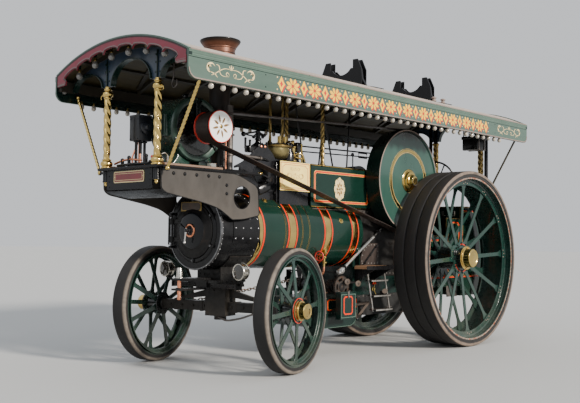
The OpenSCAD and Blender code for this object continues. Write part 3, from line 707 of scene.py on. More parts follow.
def wheel_piece(r, w, rubber_t, rim_t, ring_w, ring_z, hub_r, flange_r, flange_z, n, wide, foot, rear):
    p = Piece()
    seg = 144 if rear else 112
    ro, ri = r - rubber_t, r - rubber_t - rim_t
    # rim with rolled edges
    p.add(lathe([(ri, -w + 0.006), (ro - 0.003, -w + 0.006), (ro, -w + 0.009), (ro, -0.009), (ro - 0.003, -0.006)], seg), 0)
    p.add(lathe([(ro - 0.003, -0.006), (ri + 0.001, -0.006), (ri, -0.007)], seg), 4 if rear else 0)
    p.add(lathe([(ri, -0.007), (ri - 0.004, -0.012), (ri - 0.004, -0.022), (ri, -0.026)], seg), 0)
    p.add(lathe([(ri, -0.026), (ri, -w + 0.026), (ri - 0.004, -w + 0.022), (ri - 0.004, -w + 0.010), (ri, -w + 0.006)], seg), 0)
    # rings that carry the spokes, each with an angle against the rim
    for k, z in enumerate(ring_z):
        t = 0.014
        c = 0.003
        p.add(lathe([(ri + 0.002, z - t), (ri + 0.002, z), (ri - ring_w + c, z), (ri - ring_w, z - c), (ri - ring_w, z - t + c),
                     (ri - ring_w + c, z - t), (ri + 0.002, z - t)], seg), 0)
        s = 1 if k == 0 else -1
        z0 = z if k == 0 else z - t
        p.add(lathe([(ri + 0.001, z0 + s * 0.040), (ri - 0.010, z0 + s * 0.040), (ri - 0.011, z0 + s * 0.012),
                     (ri - 0.030 * (r / 1.067), z0 + s * 0.006), (ri - 0.030 * (r / 1.067), z0), (ri + 0.001, z0)][::(1 if k == 0 else -1)], seg), 0)
    # spokes: flat bars, wider where they are riveted
    rows = [(flange_z[0] - 0.014, ring_z[0] - 0.014, 0.1), (flange_z[1] + 0.014, ring_z[1] + 0.014, 0.6)]
    r0, r1 = hub_r - 0.008, ri - 0.004
    hw, fw = wide / 2, foot / 2
    L = r1 - r0
    out = [(r0, -hw * 1.25), (r0 + L * 0.10, -hw * 1.1), (r0 + L * 0.17, -hw * 0.80), (r0 + L * 0.80, -hw * 0.74)]
    k = 6
    for i in range(1, k + 1):
        t = i / k
        out.append((r0 + L * (0.80 + 0.125 * t), -hw * 0.74 - (fw - hw * 0.74) * t ** 2.2))
    out += [(r1, -fw)]
    outline = out + [(x, -y) for x, y in out[::-1]]
    for z0, z1, ph in rows:
        th = 0.014
        bar = bevelled(prism(outline, th), 0.0022 if rear else 0.0018, 1)
        slope = (z1 - z0) / (r1 - r0)
        shear = Matrix(((1, 0, 0, 0), (0, 1, 0, 0), (slope, 0, 1, 0), (0, 0, 0, 1)))
        for i in range(n):
            a = (i + ph) * TAU / n
            m = rz(a) @ move(0, 0, z0 - th - slope * r0) @ shear
            p.add(bar, 0, m)
            # rivets at both ends of the bar, on both faces
            rr = 0.0085 if rear else 0.006
            ends = [(ri - ring_w * 0.30, 0.36), (ri - ring_w * 0.30, -0.36), (ri - ring_w * 0.72, 0.36), (ri - ring_w * 0.72, -0.36)]
            if rear:
                ends += [(ri - ring_w * 0.50, 0.0)]
            for rad, ty in ends:
                for s in (1, -1):
                    top = ring_z[rows.index((z0, z1, ph))] if s > 0 else z0 + slope * (rad - r0) - th
                    p.add(dome(rr, rr * 0.7, 8), 5 if s > 0 and rear else 0, rz(a) @ move(rad, ty * foot, top) @ (Matrix.Identity(4) if s > 0 else rx(pi)))
            for rad, ty in ((hub_r + 0.026, 0.0), (min(flange_r - 0.016, hub_r + 0.05), 0.0)):
                top = z0 + (0.014 if ph < 0.5 else 0.0)
                if ph < 0.5:
                    p.add(hexbolt(rr * 1.25, rr * 1.1, True), 3, rz(a) @ move(rad, ty, flange_z[0]))
                else:
                    p.add(hexbolt(rr * 1.25, rr * 1.1, True), 3, rz(a) @ move(rad, ty, flange_z[1] - 0.014) @ rx(pi))
    return p


def hub(p, hub_r, fz0, fz1, flange_r, bore=0.071):
    """Barrel of the hub between its two flanges, with fillets."""
    f = 0.020
    zt, zb = fz0 - 0.014, fz1
    p.add(lathe([(hub_r + f, zb), (hub_r + f * 0.3, zb + f * 0.3), (hub_r, zb + f), (hub_r - 0.006, zb + f + 0.02), (hub_r - 0.006, zt - f - 0.02),
                 (hub_r, zt - f), (hub_r + f * 0.3, zt - f * 0.3), (hub_r + f, zt)], 64), 3)
    p.add(lathe([(bore, fz1 - 0.014), (flange_r * 0.93 - 0.003, fz1 - 0.014), (flange_r * 0.93, fz1 - 0.011), (flange_r * 0.93, fz1 - 0.002),
                 (flange_r * 0.93 - 0.003, fz1), (hub_r, fz1)], 64), 3)
    p.add(lathe([(bore, fz1 - 0.012), (bore, fz1 + 0.1)][::-1], 48), 3)


# ---------- rear wheels ----------
def rear_hub(p):
    hub(p, 0.135, -0.165, -0.440, 0.205)
    # outer flange: round with a lobe for the driving pin
    fr = 0.200
    lobe = []
    la, ld, lr = radians(-22), 0.178, 0.090
    cx, cy = ld * cos(la), ld * sin(la)
    for i in range(120):
        a = TAU * i / 120
        x, y = fr * cos(a), fr * sin(a)
        # reach of the lobe along this ray
        b = cos(a) * cx + sin(a) * cy
        d = b * b - (cx * cx + cy * cy - lr * lr)
        if d > 0 and b > 0:
            q = b + sqrt(d)
            if q > fr:
                x, y = q * cos(a), q * sin(a)
        lobe.append((x, y))
    bore = [(0.12 * cos(TAU * i / 48), 0.12 * sin(TAU * i / 48)) for i in range(48)]
    p.add(bevelled(prism(lobe, 0.014, [bore]), 0.003, 2), 0, move(0, 0, -0.179))
    # driving pin with its nut and two small bolts
    p.add(lathe([(0.040, 0), (0.040, 0.010), (0.030, 0.014), (0.030, 0.030), (0.024, 0.034), (0, 0.036)], 24), 3, move(cx * 0.98, cy * 0.98, -0.165))
    p.add(hexbolt(0.020, 0.016), 3, move(cx * 0.98, cy * 0.98, -0.131))
    for s in (-1, 1):
        p.add(hexbolt(0.012, 0.010), 3, rz(la + s * 0.36) @ move(0.182, 0, -0.165))
    # lining: arcs between the lobe and the drum
    for a0, a1 in ((28, 78), (96, 146), (164, 214), (232, 282)):
        p.add(lathe([(0.164, 0), (0.174, 0), (0.174, 0.0012), (0.164, 0.0012), (0.164, 0)], 20, radians(a0), radians(a1)), 1, move(0, 0, -0.1648))
    for i in range(10):
        a = radians(20) + TAU * i / 12
        p.add(dome(0.007, 0.005, 8), 3, rz(a) @ move(0.155, 0, -0.165))
    # brass drum in two steps, with beads
    p.add(lathe([(0.126, -0.166), (0.126, -0.108)], 64), 3)
    p.add(lathe([(0.126, -0.108), (0.142, -0.108), (0.146, -0.104), (0.146, -0.098), (0.142, -0.094), (0.120, -0.092)], 80), 2)
    p.add(lathe([(0.121, -0.093), (0.116, -0.088), (0.113, -0.080), (0.113, -0.016), (0.111, -0.006), (0.104, -0.001), (0.094, -0.0005),
                 (0.088, -0.003), (0.084, -0.006), (0.030, -0.004), (0.0, -0.0035)], 80), 2)
    for i in range(6):
        p.add(hexbolt(0.007, 0.006, False), 2, rz(TAU * i / 6 + 0.3) @ move(0.132, 0, -0.0925))


def make_rear(name, body, side):
    p = wheel_piece(REAR_R, REAR_W, 0.077, 0.020, 0.075, (-0.090, -0.365), 0.135, 0.205, (-0.165, -0.440), 12, 0.066, 0.118, True)
    rear_hub(p)
    m = move(REAR[0], REAR_Y, REAR[1]) @ rx(-pi / 2)
    if side < 0:
        m = MIRROR_Y @ m
    q = Piece().add((p.v, p.f), 0, m)
    q.m = p.m
    q.make(name, body, WHEEL_MATS, "green_paint", 32, over=[body])


make_rear("rear_wheel_left_detail", "rear_wheel_left", 1)
make_rear("rear_wheel_right_detail", "rear_wheel_right", -1)


def rear_tyre_shape():
    """Three rubber bands with grooves between them and rounded shoulders."""
    W, R0, R1 = REAR_W, 0.9895, REAR_R
    prof = [(R0, -W), (R0 + 0.016, -W), (R0 + 0.020, -W + 0.004), (R0 + 0.030, -W + 0.004), (R0 + 0.034, -W), (R1 - 0.016, -W), (R1 - 0.006, -W + 0.004), (R1 - 0.0015, -W + 0.012), (R1, -W + 0.024)]
    for g in (-2 * W / 3, -W / 3):
        prof += [(R1, g - 0.022), (R1 - 0.003, g - 0.011), (R1 - 0.009, g - 0.005), (R1 - 0.022, g - 0.0035),
                 (R1 - 0.022, g + 0.0035), (R1 - 0.009, g + 0.005), (R1 - 0.003, g + 0.011), (R1, g + 0.022)]
    prof += [(R1, -0.024), (R1 - 0.0015, -0.012), (R1 - 0.006, -0.004), (R1 - 0.016, 0), (R0 + 0.034, 0), (R0 + 0.030, -0.004), (R0 + 0.020, -0.004), (R0 + 0.016, 0), (R0, 0), (R0, -W)]
    return lathe(prof, 176)


def front_tyre_shape():
    W, R0, R1 = FRONT_W, 0.5395, FRONT_R
    prof = [(R0, -W), (R0 + 0.012, -W), (R0 + 0.015, -W + 0.003), (R0 + 0.021, -W + 0.003), (R0 + 0.024, -W), (R1 - 0.022, -W), (R1 - 0.009, -W + 0.005), (R1 - 0.002, -W + 0.015), (R1, -W + 0.030),
            (R1, -0.030), (R1 - 0.002, -0.015), (R1 - 0.009, -0.005), (R1 - 0.022, 0), (R0 + 0.024, 0), (R0 + 0.021, -0.003), (R0 + 0.015, -0.003), (R0 + 0.012, 0), (R0, 0), (R0, -W)]
    return lathe(prof, 144)


def tyre_clips(p, r, count, z0, z1, mat):
    """Small clips along the edge where the rubber sits in the rim."""
    for i in range(count):
        p.add(box(-0.006, 0.006, -0.010, 0.010, -0.0015, 0.0015), mat, rz(TAU * (i + 0.5) / count) @ move(r, 0, z0))
        p.add(box(-0.006, 0.006, -0.010, 0.010, -0.0015, 0.0015), mat, rz(TAU * (i + 0.5) / count) @ move(r, 0, z1))


CLIP = surface("tyre_clip", (0.34, 0.28, 0.21), 0.5, vary=0.25, vscale=20, bump=0.1)
for side, word in ((1, "left"), (-1, "right")):
    m = move(REAR[0], REAR_Y, REAR[1]) @ rx(-pi / 2)
    m = m if side > 0 else MIRROR_Y @ m
    shape = rear_tyre_shape()
    p = Piece().add(shape, 0, m)
    p.rad = [math.hypot(v[0], v[1]) if v[2] > -0.030 or v[2] < 0.030 - REAR_W else 0.0 for v in shape[0]]
    q = Piece()
    tyre_clips(q, 0.9985, 84, -0.0025, -REAR_W + 0.0025, 1)
    p.add((q.v, q.f), 1, m)
    p.make(f"rear_tyre_{word}_detail", f"rear_wheel_{word}", [RUBBER_REAR, CLIP], "tread_rubber", 40, over=[f"rear_tyre_{word}"])


# ---------- front wheels ----------
def front_hub(p):
    hub(p, 0.082, 0.0, -0.170, 0.125, 0.046)
    p.add(lathe([(0.082, -0.014), (0.123, -0.014), (0.125, -0.012), (0.125, -0.002), (0.123, 0), (0.090, 0)], 64), 3)
    p.add(ring(0.1145, 0.1205, 0.0002, 0.0012, 64), 1)
    p.add(lathe([(0.097, 0.0), (0.097, 0.006), (0.094, 0.009), (0.094, 0.022), (0.097, 0.025), (0.096, 0.030), (0.082, 0.031)], 64), 2)
    p.add(lathe([(0.0835, 0.030), (0.0800, 0.034), (0.0790, 0.040), (0.0790, 0.082), (0.0775, 0.094), (0.072, 0.1015), (0.062, 0.1045),
                 (0.056, 0.1035), (0.052, 0.101), (0.022, 0.102), (0.018, 0.1045), (0, 0.1049)], 64), 2)


for side, word in ((1, "left"), (-1, "right")):
    p = wheel_piece(FRONT_R, FRONT_W, 0.060, 0.018, 0.045, (-0.034, -0.126), 0.082, 0.125, (0.0, -0.170), 8, 0.058, 0.096, False)
    front_hub(p)
    st = move(KING_X, 0, 0) @ rz(STEER)
    m = st @ move(0, side * FRONT_Y, FRONT_R) @ rx(-side * pi / 2)
    q = Piece().add((p.v, p.f), 0, m)
    q.m = p.m
    q.make(f"front_wheel_{word}_detail", f"front_wheel_{word}", WHEEL_MATS, "green_paint", 32, over=[f"front_wheel_{word}"])
    shape = front_tyre_shape()
    t = Piece().add(shape, 0, m)
    t.rad = [math.hypot(v[0], v[1]) for v in shape[0]]
    q = Piece()
    t.add((q.v, q.f), 1, m)
    t.make(f"front_tyre_{word}_detail", f"front_wheel_{word}", [RUBBER_FRONT, CLIP], "tread_rubber", 40, over=[f"front_tyre_{word}"])


# ---------- canopy ----------
def recoat(node, name, mats, pick, body="chassis"):
    """A copy of a CAD node's mesh with a finish for each face."""
    me = NODES[node].data.copy()
    me.name = name
    mw = NODES[node].matrix_world
    me.materials.clear()
    for m in mats:
        me.materials.append(m)
    for poly in me.polygons:
        poly.material_index = pick(mw @ poly.center, (mw.to_3x3() @ poly.normal).normalized())
    ob = bpy.data.objects.new(name, me)
    ob.matrix_world = mw
    scene.collection.objects.link(ob)
    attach(ob, body)
    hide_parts(node)
    return ob


def arch(y, r):
    return ARCH_Z + sqrt(max(0.0, r * r - y * y))


def arc_pts(r, a0, a1, n):
    """Points (y, z) on the roof's arch, angles in degrees from the crown."""
    return [(r * sin(radians(a0 + (a1 - a0) * i / n)), ARCH_Z + r * cos(radians(a0 + (a1 - a0) * i / n))) for i in range(n + 1)]


def ribbon(points, normals, w, t):
    """A rectangular strip along a path in space; normals point out of its top face."""
    pts = [Vector(p) for p in points]
    verts = []
    k = len(pts)
    for i in range(k):
        a, b = pts[max(0, i - 1)], pts[min(k - 1, i + 1)]
        tan = (b - a).normalized()
        up = Vector(normals[i]).normalized()
        side = tan.cross(up).normalized()
        for u, s in ((-1, 0), (1, 0), (1, 1), (-1, 1)):
            verts.append(tuple(pts[i] + side * (u * w / 2) + up * (s * t)))
    faces = []
    for i in range(k - 1):
        for j in range(4):
            a, b = i * 4 + j, i * 4 + (j + 1) % 4
            faces.append((a, a + 4, b + 4, b)[::-1])
    faces.append((0, 1, 2, 3))
    faces.append(((k - 1) * 4 + 3, (k - 1) * 4 + 2, (k - 1) * 4 + 1, (k - 1) * 4))
    return verts, faces


recoat("canopy_roof", "roof", [CANVAS, CEILING, TAN_LINE],
       lambda c, n: 1 if n.z < -0.3 or (abs(n.z) < 0.3 and abs(c.x) < 2.99) else 0)

# side boards with a stepped cornice, a lower strip and a lined edge
END_R = 0.090


def side_outline(x0, x1, z0, z1, r, k=8):
    pts = [(x1, z1), (x0, z1)]
    for i in range(k + 1):
        a = pi + pi / 2 * i / k
        pts.append((x0 + r + r * cos(a), z0 + r + r * sin(a)))
    for i in range(k + 1):
        a = 1.5 * pi + pi / 2 * i / k
        pts.append((x1 - r + r * cos(a), z0 + r + r * sin(a)))
    return pts


def half_turned(pts):
    return [(x, z) for x, z in pts]


for s in (1, -1):
    word = "left" if s > 0 else "right"
    m = Matrix.Identity(4) if s > 0 else MIRROR_Y
    p = Piece()
    p.add(prism(side_outline(-HL, HL, BOARD0, BOARD1, END_R), 0.019), 0, m @ on_xz(0.984))
    # inner face of the board is dark
    p.add(prism(side_outline(-HL + 0.004, HL - 0.004, BOARD0 + 0.004, BOARD1 - 0.004, END_R - 0.004), 0.001), 3, m @ on_xz(0.9652))
    # pale pinkish strip round the lower edge and the ends
    outer = side_outline(-HL, HL, BOARD0, 2.792, END_R)
    inner = side_outline(-HL + 0.013, HL - 0.013, BOARD0 + 0.015, 2.7921, END_R - 0.013)
    strip = outer[2:] + inner[2:][::-1]
    p.add(prism(strip, 0.003), 1, m @ on_xz(0.9865))
    p.add(prism([(x, z) for x, z in side_outline(-HL, HL, BOARD0, 2.70, END_R)[2:] + side_outline(-HL + 0.0035, HL - 0.0035, BOARD0 + 0.004, 2.70, END_R - 0.0035)[2:][::-1]], 0.0012), 3, m @ on_xz(0.9876))
    # cornice: cove, bead, fillet
    prof = [(0.984, 2.790), (0.9855, 2.790), (0.9865, 2.794), (0.9862, 2.799), (0.9875, 2.801), (0.9885, 2.806), (0.9885, 2.812), (0.9870, 2.8145),
            (0.9885, 2.8165), (0.9900, 2.822), (0.9912, 2.830), (0.9915, 2.834), (0.9898, 2.8362), (0.9918, 2.838), (0.9918, 2.846), (0.984, 2.846)]
    p.add(prism([(y, z) for y, z in prof], 2 * HL), 2, m @ on_yz(-HL))
    # dark shadow line under the cornice
    p.add(box(-HL + 0.002, HL - 0.002, 0.984, 0.9848, 2.7845, 2.790), 3, m)
    # roof edge strip with joints
    for i in range(8):
        x0 = -HL + 0.006 + i * 0.7525
        p.add(bevelled(box(x0, x0 + 0.745, 0.944, 0.989, 2.8462, 2.8600), 0.003), 1, m)
        for k in (0.18, 0.56):
            p.add(dome(0.009, 0.006, 8), 3, m @ move(x0 + k, 0.966, 2.860))
    p.make(f"side_board_{word}", "chassis", [SAGE, TAN_LINE, SAGE_TRIM, GREEN_DARK], "sage_paint", 40,
           over=["canopy_side_boards"] if s > 0 else ())


def spiral(cx, cy, r0, r1, a0, a1, n=18):
    return [(cx + (r0 + (r1 - r0) * i / n) * cos(radians(a0 + (a1 - a0) * i / n)),
             cy + (r0 + (r1 - r0) * i / n) * sin(radians(a0 + (a1 - a0) * i / n))) for i in range(n + 1)]


def bezier(p0, p1, p2, p3, n=16):
    out = []
    for i in range(n + 1):
        t = i / n
        u = 1 - t
        out.append((u ** 3 * p0[0] + 3 * u * u * t * p1[0] + 3 * u * t * t * p2[0] + t ** 3 * p3[0],
                    u ** 3 * p0[1] + 3 * u * u * t * p1[1] + 3 * u * t * t * p2[1] + t ** 3 * p3[1]))
    return out


def taper(n, lo, hi, at=0.5):
    out = []
    for i in range(n):
        t = i / (n - 1)
        d = t / at if t < at else (1 - t) / (1 - at)
        out.append(lo + (hi - lo) * sin(d * pi / 2) ** 1.3)
    return out


def put_strokes(p, strokes, m, mat, h):
    for pts, w in strokes:
        p.add(stroke(pts, w, h), mat, m)


def flourish(w, h):
    """Leaf scrolls at both ends, crossing lines and a small crown, about the origin."""
    a, b = w / 2, h / 2
    out = []
    for s in (-1, 1):
        def f(pts):
            return [(s * x, y) for x, y in pts]
        out.append((f(spiral(a * 0.80, b * 0.10, b * 0.80, b * 0.42, 150, -100, 20)), taper(21, 0.003, h * 0.20, 0.55)))
        out.append((f(spiral(a * 0.86, b * 0.25, b * 0.30, b * 0.16, 170, -60, 12)), taper(13, 0.003, h * 0.12, 0.5)))
        out.append((f(bezier((a * 0.78, -b * 0.75), (a * 0.55, -b * 0.5), (a * 0.35, b * 0.9), (0, b * 0.35))), taper(17, 0.003, h * 0.06, 0.4)))
        out.append((f(bezier((a * 0.60, b * 0.75), (a * 0.30, b * 0.9), (a * 0.70, -b * 1.0), (a * 0.10, -b * 0.55))), taper(17, 0.003, h * 0.075, 0.3)))
        out.append((f(spiral(a * 0.16, -b * 0.30, b * 0.34, b * 0.12, 210, -130, 16)), taper(17, 0.0025, h * 0.055, 0.4)))
        out.append((f(bezier((a * 0.55, -b * 0.95), (a * 0.62, -b * 0.4), (a * 0.75, -b * 0.5), (a * 0.90, -b * 0.15), 10)), taper(11, 0.003, h * 0.08, 0.4)))
        out.append((f(bezier((0.002, b * 0.45), (a * 0.05, b * 0.6), (a * 0.10, b * 0.75), (a * 0.06, b * 0.95), 8)), taper(9, 0.002, h * 0.07, 0.6)))
    out.append((bezier((0, b * 0.35), (0, b * 0.55), (0, b * 0.8), (0, b * 1.05), 6), taper(7, 0.003, h * 0.10, 0.6)))
    return out


FRIEZE_GOLD = surface("frieze_gold", (0.80, 0.45, 0.028), 0.42, coat=0.1, spec=0.3, vary=0.12, vscale=9, bump=0.03)


def frieze_unit(h):
    """One unit of the painted frieze: a lozenge and a flower of eight petals, height h."""
    b = h / 2
    blobs = []
    loz = [(0.052, 0), (0.030, b * 0.30), (0.016, b * 0.62), (0, b * 0.98), (-0.016, b * 0.62), (-0.030, b * 0.30), (-0.052, 0),
           (-0.030, -b * 0.30), (-0.016, -b * 0.62), (0, -b * 0.98), (0.016, -b * 0.62), (0.030, -b * 0.30)]
    blobs.append(loz)
    strokes = []
    for k in range(8):
        a = TAU * (k + 0.5) / 8
        strokes.append(([(0.096 * cos(a) * t, b * 0.96 * sin(a) * t) for t in (0.20, 0.42, 0.66, 0.86, 1.0)], [0.008, 0.022, 0.033, 0.026, 0.008]))
    return blobs, strokes


for s in (1, -1):
    word = "left" if s > 0 else "right"
    m = Matrix.Identity(4) if s > 0 else MIRROR_Y
    p = Piece()
    y_at = 0.9852
    for cx, w, cz in ((2.531, 0.596, 2.712), (-2.515, 0.639, 2.710)):
        put_strokes(p, flourish(w, 0.128), m @ move(cx, 0, cz) @ on_xz(y_at), 0, 0.0010)
    # frieze of lozenges and flowers, shaded in red
    n_units = 13
    x0, x1 = 2.05, -2.06
    step = (x0 - x1) / n_units
    for i in range(n_units):
        cx = x0 - step * (i + 0.5)
        blobs, strokes = frieze_unit(0.150)
        base = m @ move(cx, 0, 2.711)
        shade = m @ move(cx - 0.014, 0, 2.711 - 0.012)
        for mat, mm, y, h in ((1, shade, y_at - 0.0002, 0.0006), (4, base, y_at + 0.0006, 0.0010)):
            q = mm @ on_xz(y)
            for b in blobs:
                p.add(prism(b, h), mat, q)
            if i < n_units - 1:
                put_strokes(p, strokes, mm @ move(-step / 2, 0, 0) @ on_xz(y), mat, h)
        if i < n_units - 1:
            p.add(cyl(0.013, 0.0012, 16), 2, m @ move(cx - step / 2, y_at + 0.0006, 2.711) @ ALONG_Y)
        for dx in (-0.056, 0.056):
            for dz in (-0.056, 0.056):
                p.add(cyl(0.0075, 0.001, 12), 0, m @ move(cx + dx, y_at - 0.0004, 2.711 + dz) @ ALONG_Y)
        inner = [(x * 0.42, z * 0.42) for x, z in blobs[0]]
        p.add(prism(inner, 0.0006), 2, base @ on_xz(y_at + 0.0011))
    # bolts through the board
    for x in (2.10, 1.38, 0.66, -0.06, -0.78, -1.50, -2.14):
        for z in (2.655, 2.765):
            p.add(dome(0.007, 0.004, 8), 3, m @ move(x, 0.984, z) @ ALONG_Y)
    p.make(f"side_board_painting_{word}", "chassis", [CREAM, SCROLL_RED, SCROLL_RED, GREEN_DARK, FRIEZE_GOLD], "sage_paint", 30)

# ---------- arched end boards ----------
for s in (1, -1):
    word = "front" if s > 0 else "rear"
    m = Matrix.Identity(4) if s > 0 else Matrix.Diagonal((-1, 1, 1, 1))

    def scallops(r_cusp, r_mid, foot, edge):
        pts = [(-foot[0], foot[1])]
        pts.append((-foot[0] * 0.862, foot[1] + 0.012))
        pts.append((-foot[0] * 0.853, foot[1] + 0.045))
        for k in range(8):
            a0, a1 = -24.4 + 6.1 * k, -24.4 + 6.1 * (k + 1)
            for i in range(0 if k == 0 else 1, 9):
                t = i / 8
                lift = (1 - (2 * t - 1) ** 2) ** 0.5
                r = r_cusp + (r_mid - r_cusp) * lift
                a = radians(a0 + (a1 - a0) * t)
                pts.append((r * sin(a), ARCH_Z + r * cos(a)))
            if k < 7:
                a = radians(a1)
                r = r_cusp - 0.020
                pts.append((r * sin(a), ARCH_Z + r * cos(a)))
        pts.append((foot[0] * 0.853, foot[1] + 0.045))
        pts.append((foot[0] * 0.862, foot[1] + 0.012))
        pts.append((foot[0], foot[1]))
        return pts
    low = scallops(2.046, 2.066, (0.950, 2.735), 0)
    up = arc_pts(2.139, 26.6, -26.6, 48)
    p = Piece()
    p.add(prism(low + up, 0.018), 0, m @ on_yz(3.0005))
    # grey lining that follows the scallops, 12 mm in from the edge
    l1 = [(y * 1.000, z + 0.010) for y, z in low]
    l2 = [(y * 1.000, z + 0.0155) for y, z in low]
    p.add(stroke([(y, z + 0.013) for y, z in low], [0.0065] * len(low), 0.0008), 1, m @ on_yz(3.0185))
    p.add(stroke([(y, z + 0.002) for y, z in low], [0.004] * len(low), 0.0008), 2, m @ on_yz(3.0186))
    # dark line and tan edge above
    p.add(stroke(arc_pts(2.127, -26.4, 26.4, 48), [0.006] * 49, 0.0008), 2, m @ on_yz(3.0185))
    p.add(stroke(arc_pts(2.145, -27.0, 27.0, 48), [0.014] * 49, 0.040), 3, m @ on_yz(2.9795))
    p.add(stroke(arc_pts(2.135, -26.8, 26.8, 48), [0.006] * 49, 0.0012), 2, m @ on_yz(3.0185))
    # small lined feet
    for u in (-1, 1):
        for k in range(3):
            z = 2.745 + 0.013 * k
            y0, y1 = sorted((u * (0.825 + 0.003 * k), u * 0.945))
            p.add(box(3.0185, 3.0196, y0, y1, z, z + 0.003), 1, m)
        # sage end of the side board's cornice
        p.add(box(2.985, 3.0198, min(u * 0.950, u * 0.9905), max(u * 0.950, u * 0.9905), 2.800, 2.8470), 4, m)
    p.make(f"arch_board_{word}", "chassis", [CRIMSON, LINING_GREY, GREEN_DARK, SAGE_TRIM, GREEN_DARK], "crimson_paint", 40,
           over=["canopy_end_boards"] if s > 0 else ())

# ---------- bulbs ----------
BULB_SHAPE = lathe([(0, -0.034), (0.012, -0.032), (0.0225, -0.0255), (0.0295, -0.014), (0.0315, -0.001), (0.0290, 0.012), (0.0235, 0.022),
                    (0.0175, 0.031), (0.0140, 0.038)], 18)
HOLDER = lathe([(0.0155, 0.034), (0.0165, 0.038), (0.0165, 0.046), (0.0135, 0.052), (0.0135, 0.068)], 14)
for s in (1, -1):
    word = "left" if s > 0 else "right"
    m = Matrix.Identity(4) if s > 0 else MIRROR_Y
    p = Piece()
    for i in range(37):
        x = 2.736 - 0.1402 * i
        q = m @ move(x, 0.950, 2.580) @ Matrix.Scale(0.80, 4)
        p.add(BULB_SHAPE, 0, q).add(HOLDER, 1, q)
    p.add(box(-2.42, 2.82, 0.928, 0.9645, 2.632, 2.650), 2, m)
    p.add(tube([(-2.40, 0.940, 2.656), (2.80, 0.940, 2.656)], 0.006, 8), 2, m)
    p.make(f"bulbs_{word}", "chassis", [BULB, BRASS_DULL, GREEN_DARK], "lamp_metal", 60)
p = Piece()
for u in (1, -1):
    for i in range(8):
        y = 0.057 + 0.2565 * (i - 4)
        r = 2.026
        q = move(u * 2.930, y, ARCH_Z + sqrt(r * r - y * y) - 0.006)
        p.add(BULB_SHAPE, 0, q).add(HOLDER, 1, q)
        p.add(cyl(0.0135, 0.06, 12), 2, q @ move(0, 0, 0.066))
p.make("bulbs_ends", "chassis", [BULB_BACK, BRASS_DULL, GREEN_DARK], "lamp_metal", 60)

# ---------- roof frame: ribs, beams, battens, spandrels ----------
give("canopy_frame", DARK_WOOD)
RIBS = [-2.88, -2.15, -1.45, -0.80, -0.18, 0.44, 0.90, 1.48, 2.06, 2.838]
p = Piece()
for i in range(len(RIBS) - 1):
    xa, xb = RIBS[i] + 0.02, RIBS[i + 1] - 0.02
    if xa < CHIM_X < xb:
        continue
    for d in (1, -1):
        pts, nor = [], []
        for k in range(13):
            t = k / 12
            y = 0.90 * (2 * t - 1) * d
            r = 2.1105
            a = asin(y / r)
            pts.append((xa + (xb - xa) * t, y, ARCH_Z + r * cos(a)))
            nor.append((0, -sin(a), -cos(a)))
        p.add(ribbon(pts, nor, 0.045, 0.018 if d > 0 else 0.016), 0)
for y in (-0.62, -0.31, 0.31, 0.62):
    a = asin(y / 2.1105)
    pts = [(x, y, arch(y, 2.1105)) for x in (-2.98, 2.98)]
    p.add(ribbon(pts, [(0, -sin(a), -cos(a))] * 2, 0.035, 0.022), 0)
p.make("roof_battens", "chassis", [DARK_WOOD], "frame_wood", 30)

for u in (1, -1):
    word = "front" if u > 0 else "rear"
    py = 0.366 if u > 0 else 0.37
    zb = 2.700
    outer = []
    # right to left along the bottom edge
    a_mid, b_mid = py - 0.070, 0.226
    c_out, a_out, b_out = (py + 0.062 + 0.914) / 2, (0.914 - py - 0.062) / 2, 0.155
    low = []
    for k in range(13):
        t = pi * k / 12
        low.append((c_out + a_out * cos(t), zb + b_out * sin(t)))
    right_out = low[:]
    mid = [(a_mid * cos(pi * k / 24), zb + b_mid * sin(pi * k / 24)) for k in range(25)]
    left_out = [(-y, z) for y, z in low][::-1]
    bottom = right_out + [(py + 0.062, zb - 0.002), (py - 0.070, zb - 0.002)] + mid + [(-(py - 0.070), zb - 0.002), (-(py + 0.062), zb - 0.002)] + left_out
    top = [(y, z) for y, z in arc_pts(2.098, -25.8, 25.8, 40)]
    p = Piece()
    m = move(2.838 if u > 0 else -2.880, 0, 0)
    p.add(prism(top + bottom, 0.016), 0, m @ on_yz(-0.008))
    # black flanges round the arches
    for curve in (right_out, mid, left_out):
        pts = [(0.0, y, z) for y, z in curve]
        nor = []
        cy = sum(y for y, z in curve) / len(curve)
        for y, z in curve:
            v = Vector((0, cy - y, zb - z))
            nor.append(tuple(v.normalized()) if v.length > 0.01 else (0, 0, -1))
        p.add(ribbon(pts, nor, 0.062, 0.008), 1, m)
        p.add(ribbon(pts, [tuple(-Vector(q)) for q in nor], 0.062, 0.001), 1, m)
    for s in (1, -1):
        for f in (1, -1):
            p.add(box(min(f * 0.008, f * 0.020), max(f * 0.008, f * 0.020), s * 0.373 - 0.006, s * 0.373 + 0.006, zb, 2.955), 1, m)
            for dz in (0.055, 0.145, 0.215):
                for dy in (-0.028, 0.028):
                    p.add(dome(0.009, 0.007, 10), 1, m @ move(f * 0.008, s * 0.373 + dy, zb + dz) @ (ALONG_X if f > 0 else ry(-pi / 2)))
    p.make(f"spandrels_{word}", "chassis", [BLUE_GREY, GREEN_DARK], "green_paint", 34)


# ---------- posts and stays ----------
def swell(t):
    return 0.84 + 0.22 * sin(pi * (0.12 + 0.76 * (1 - t))) ** 0.8


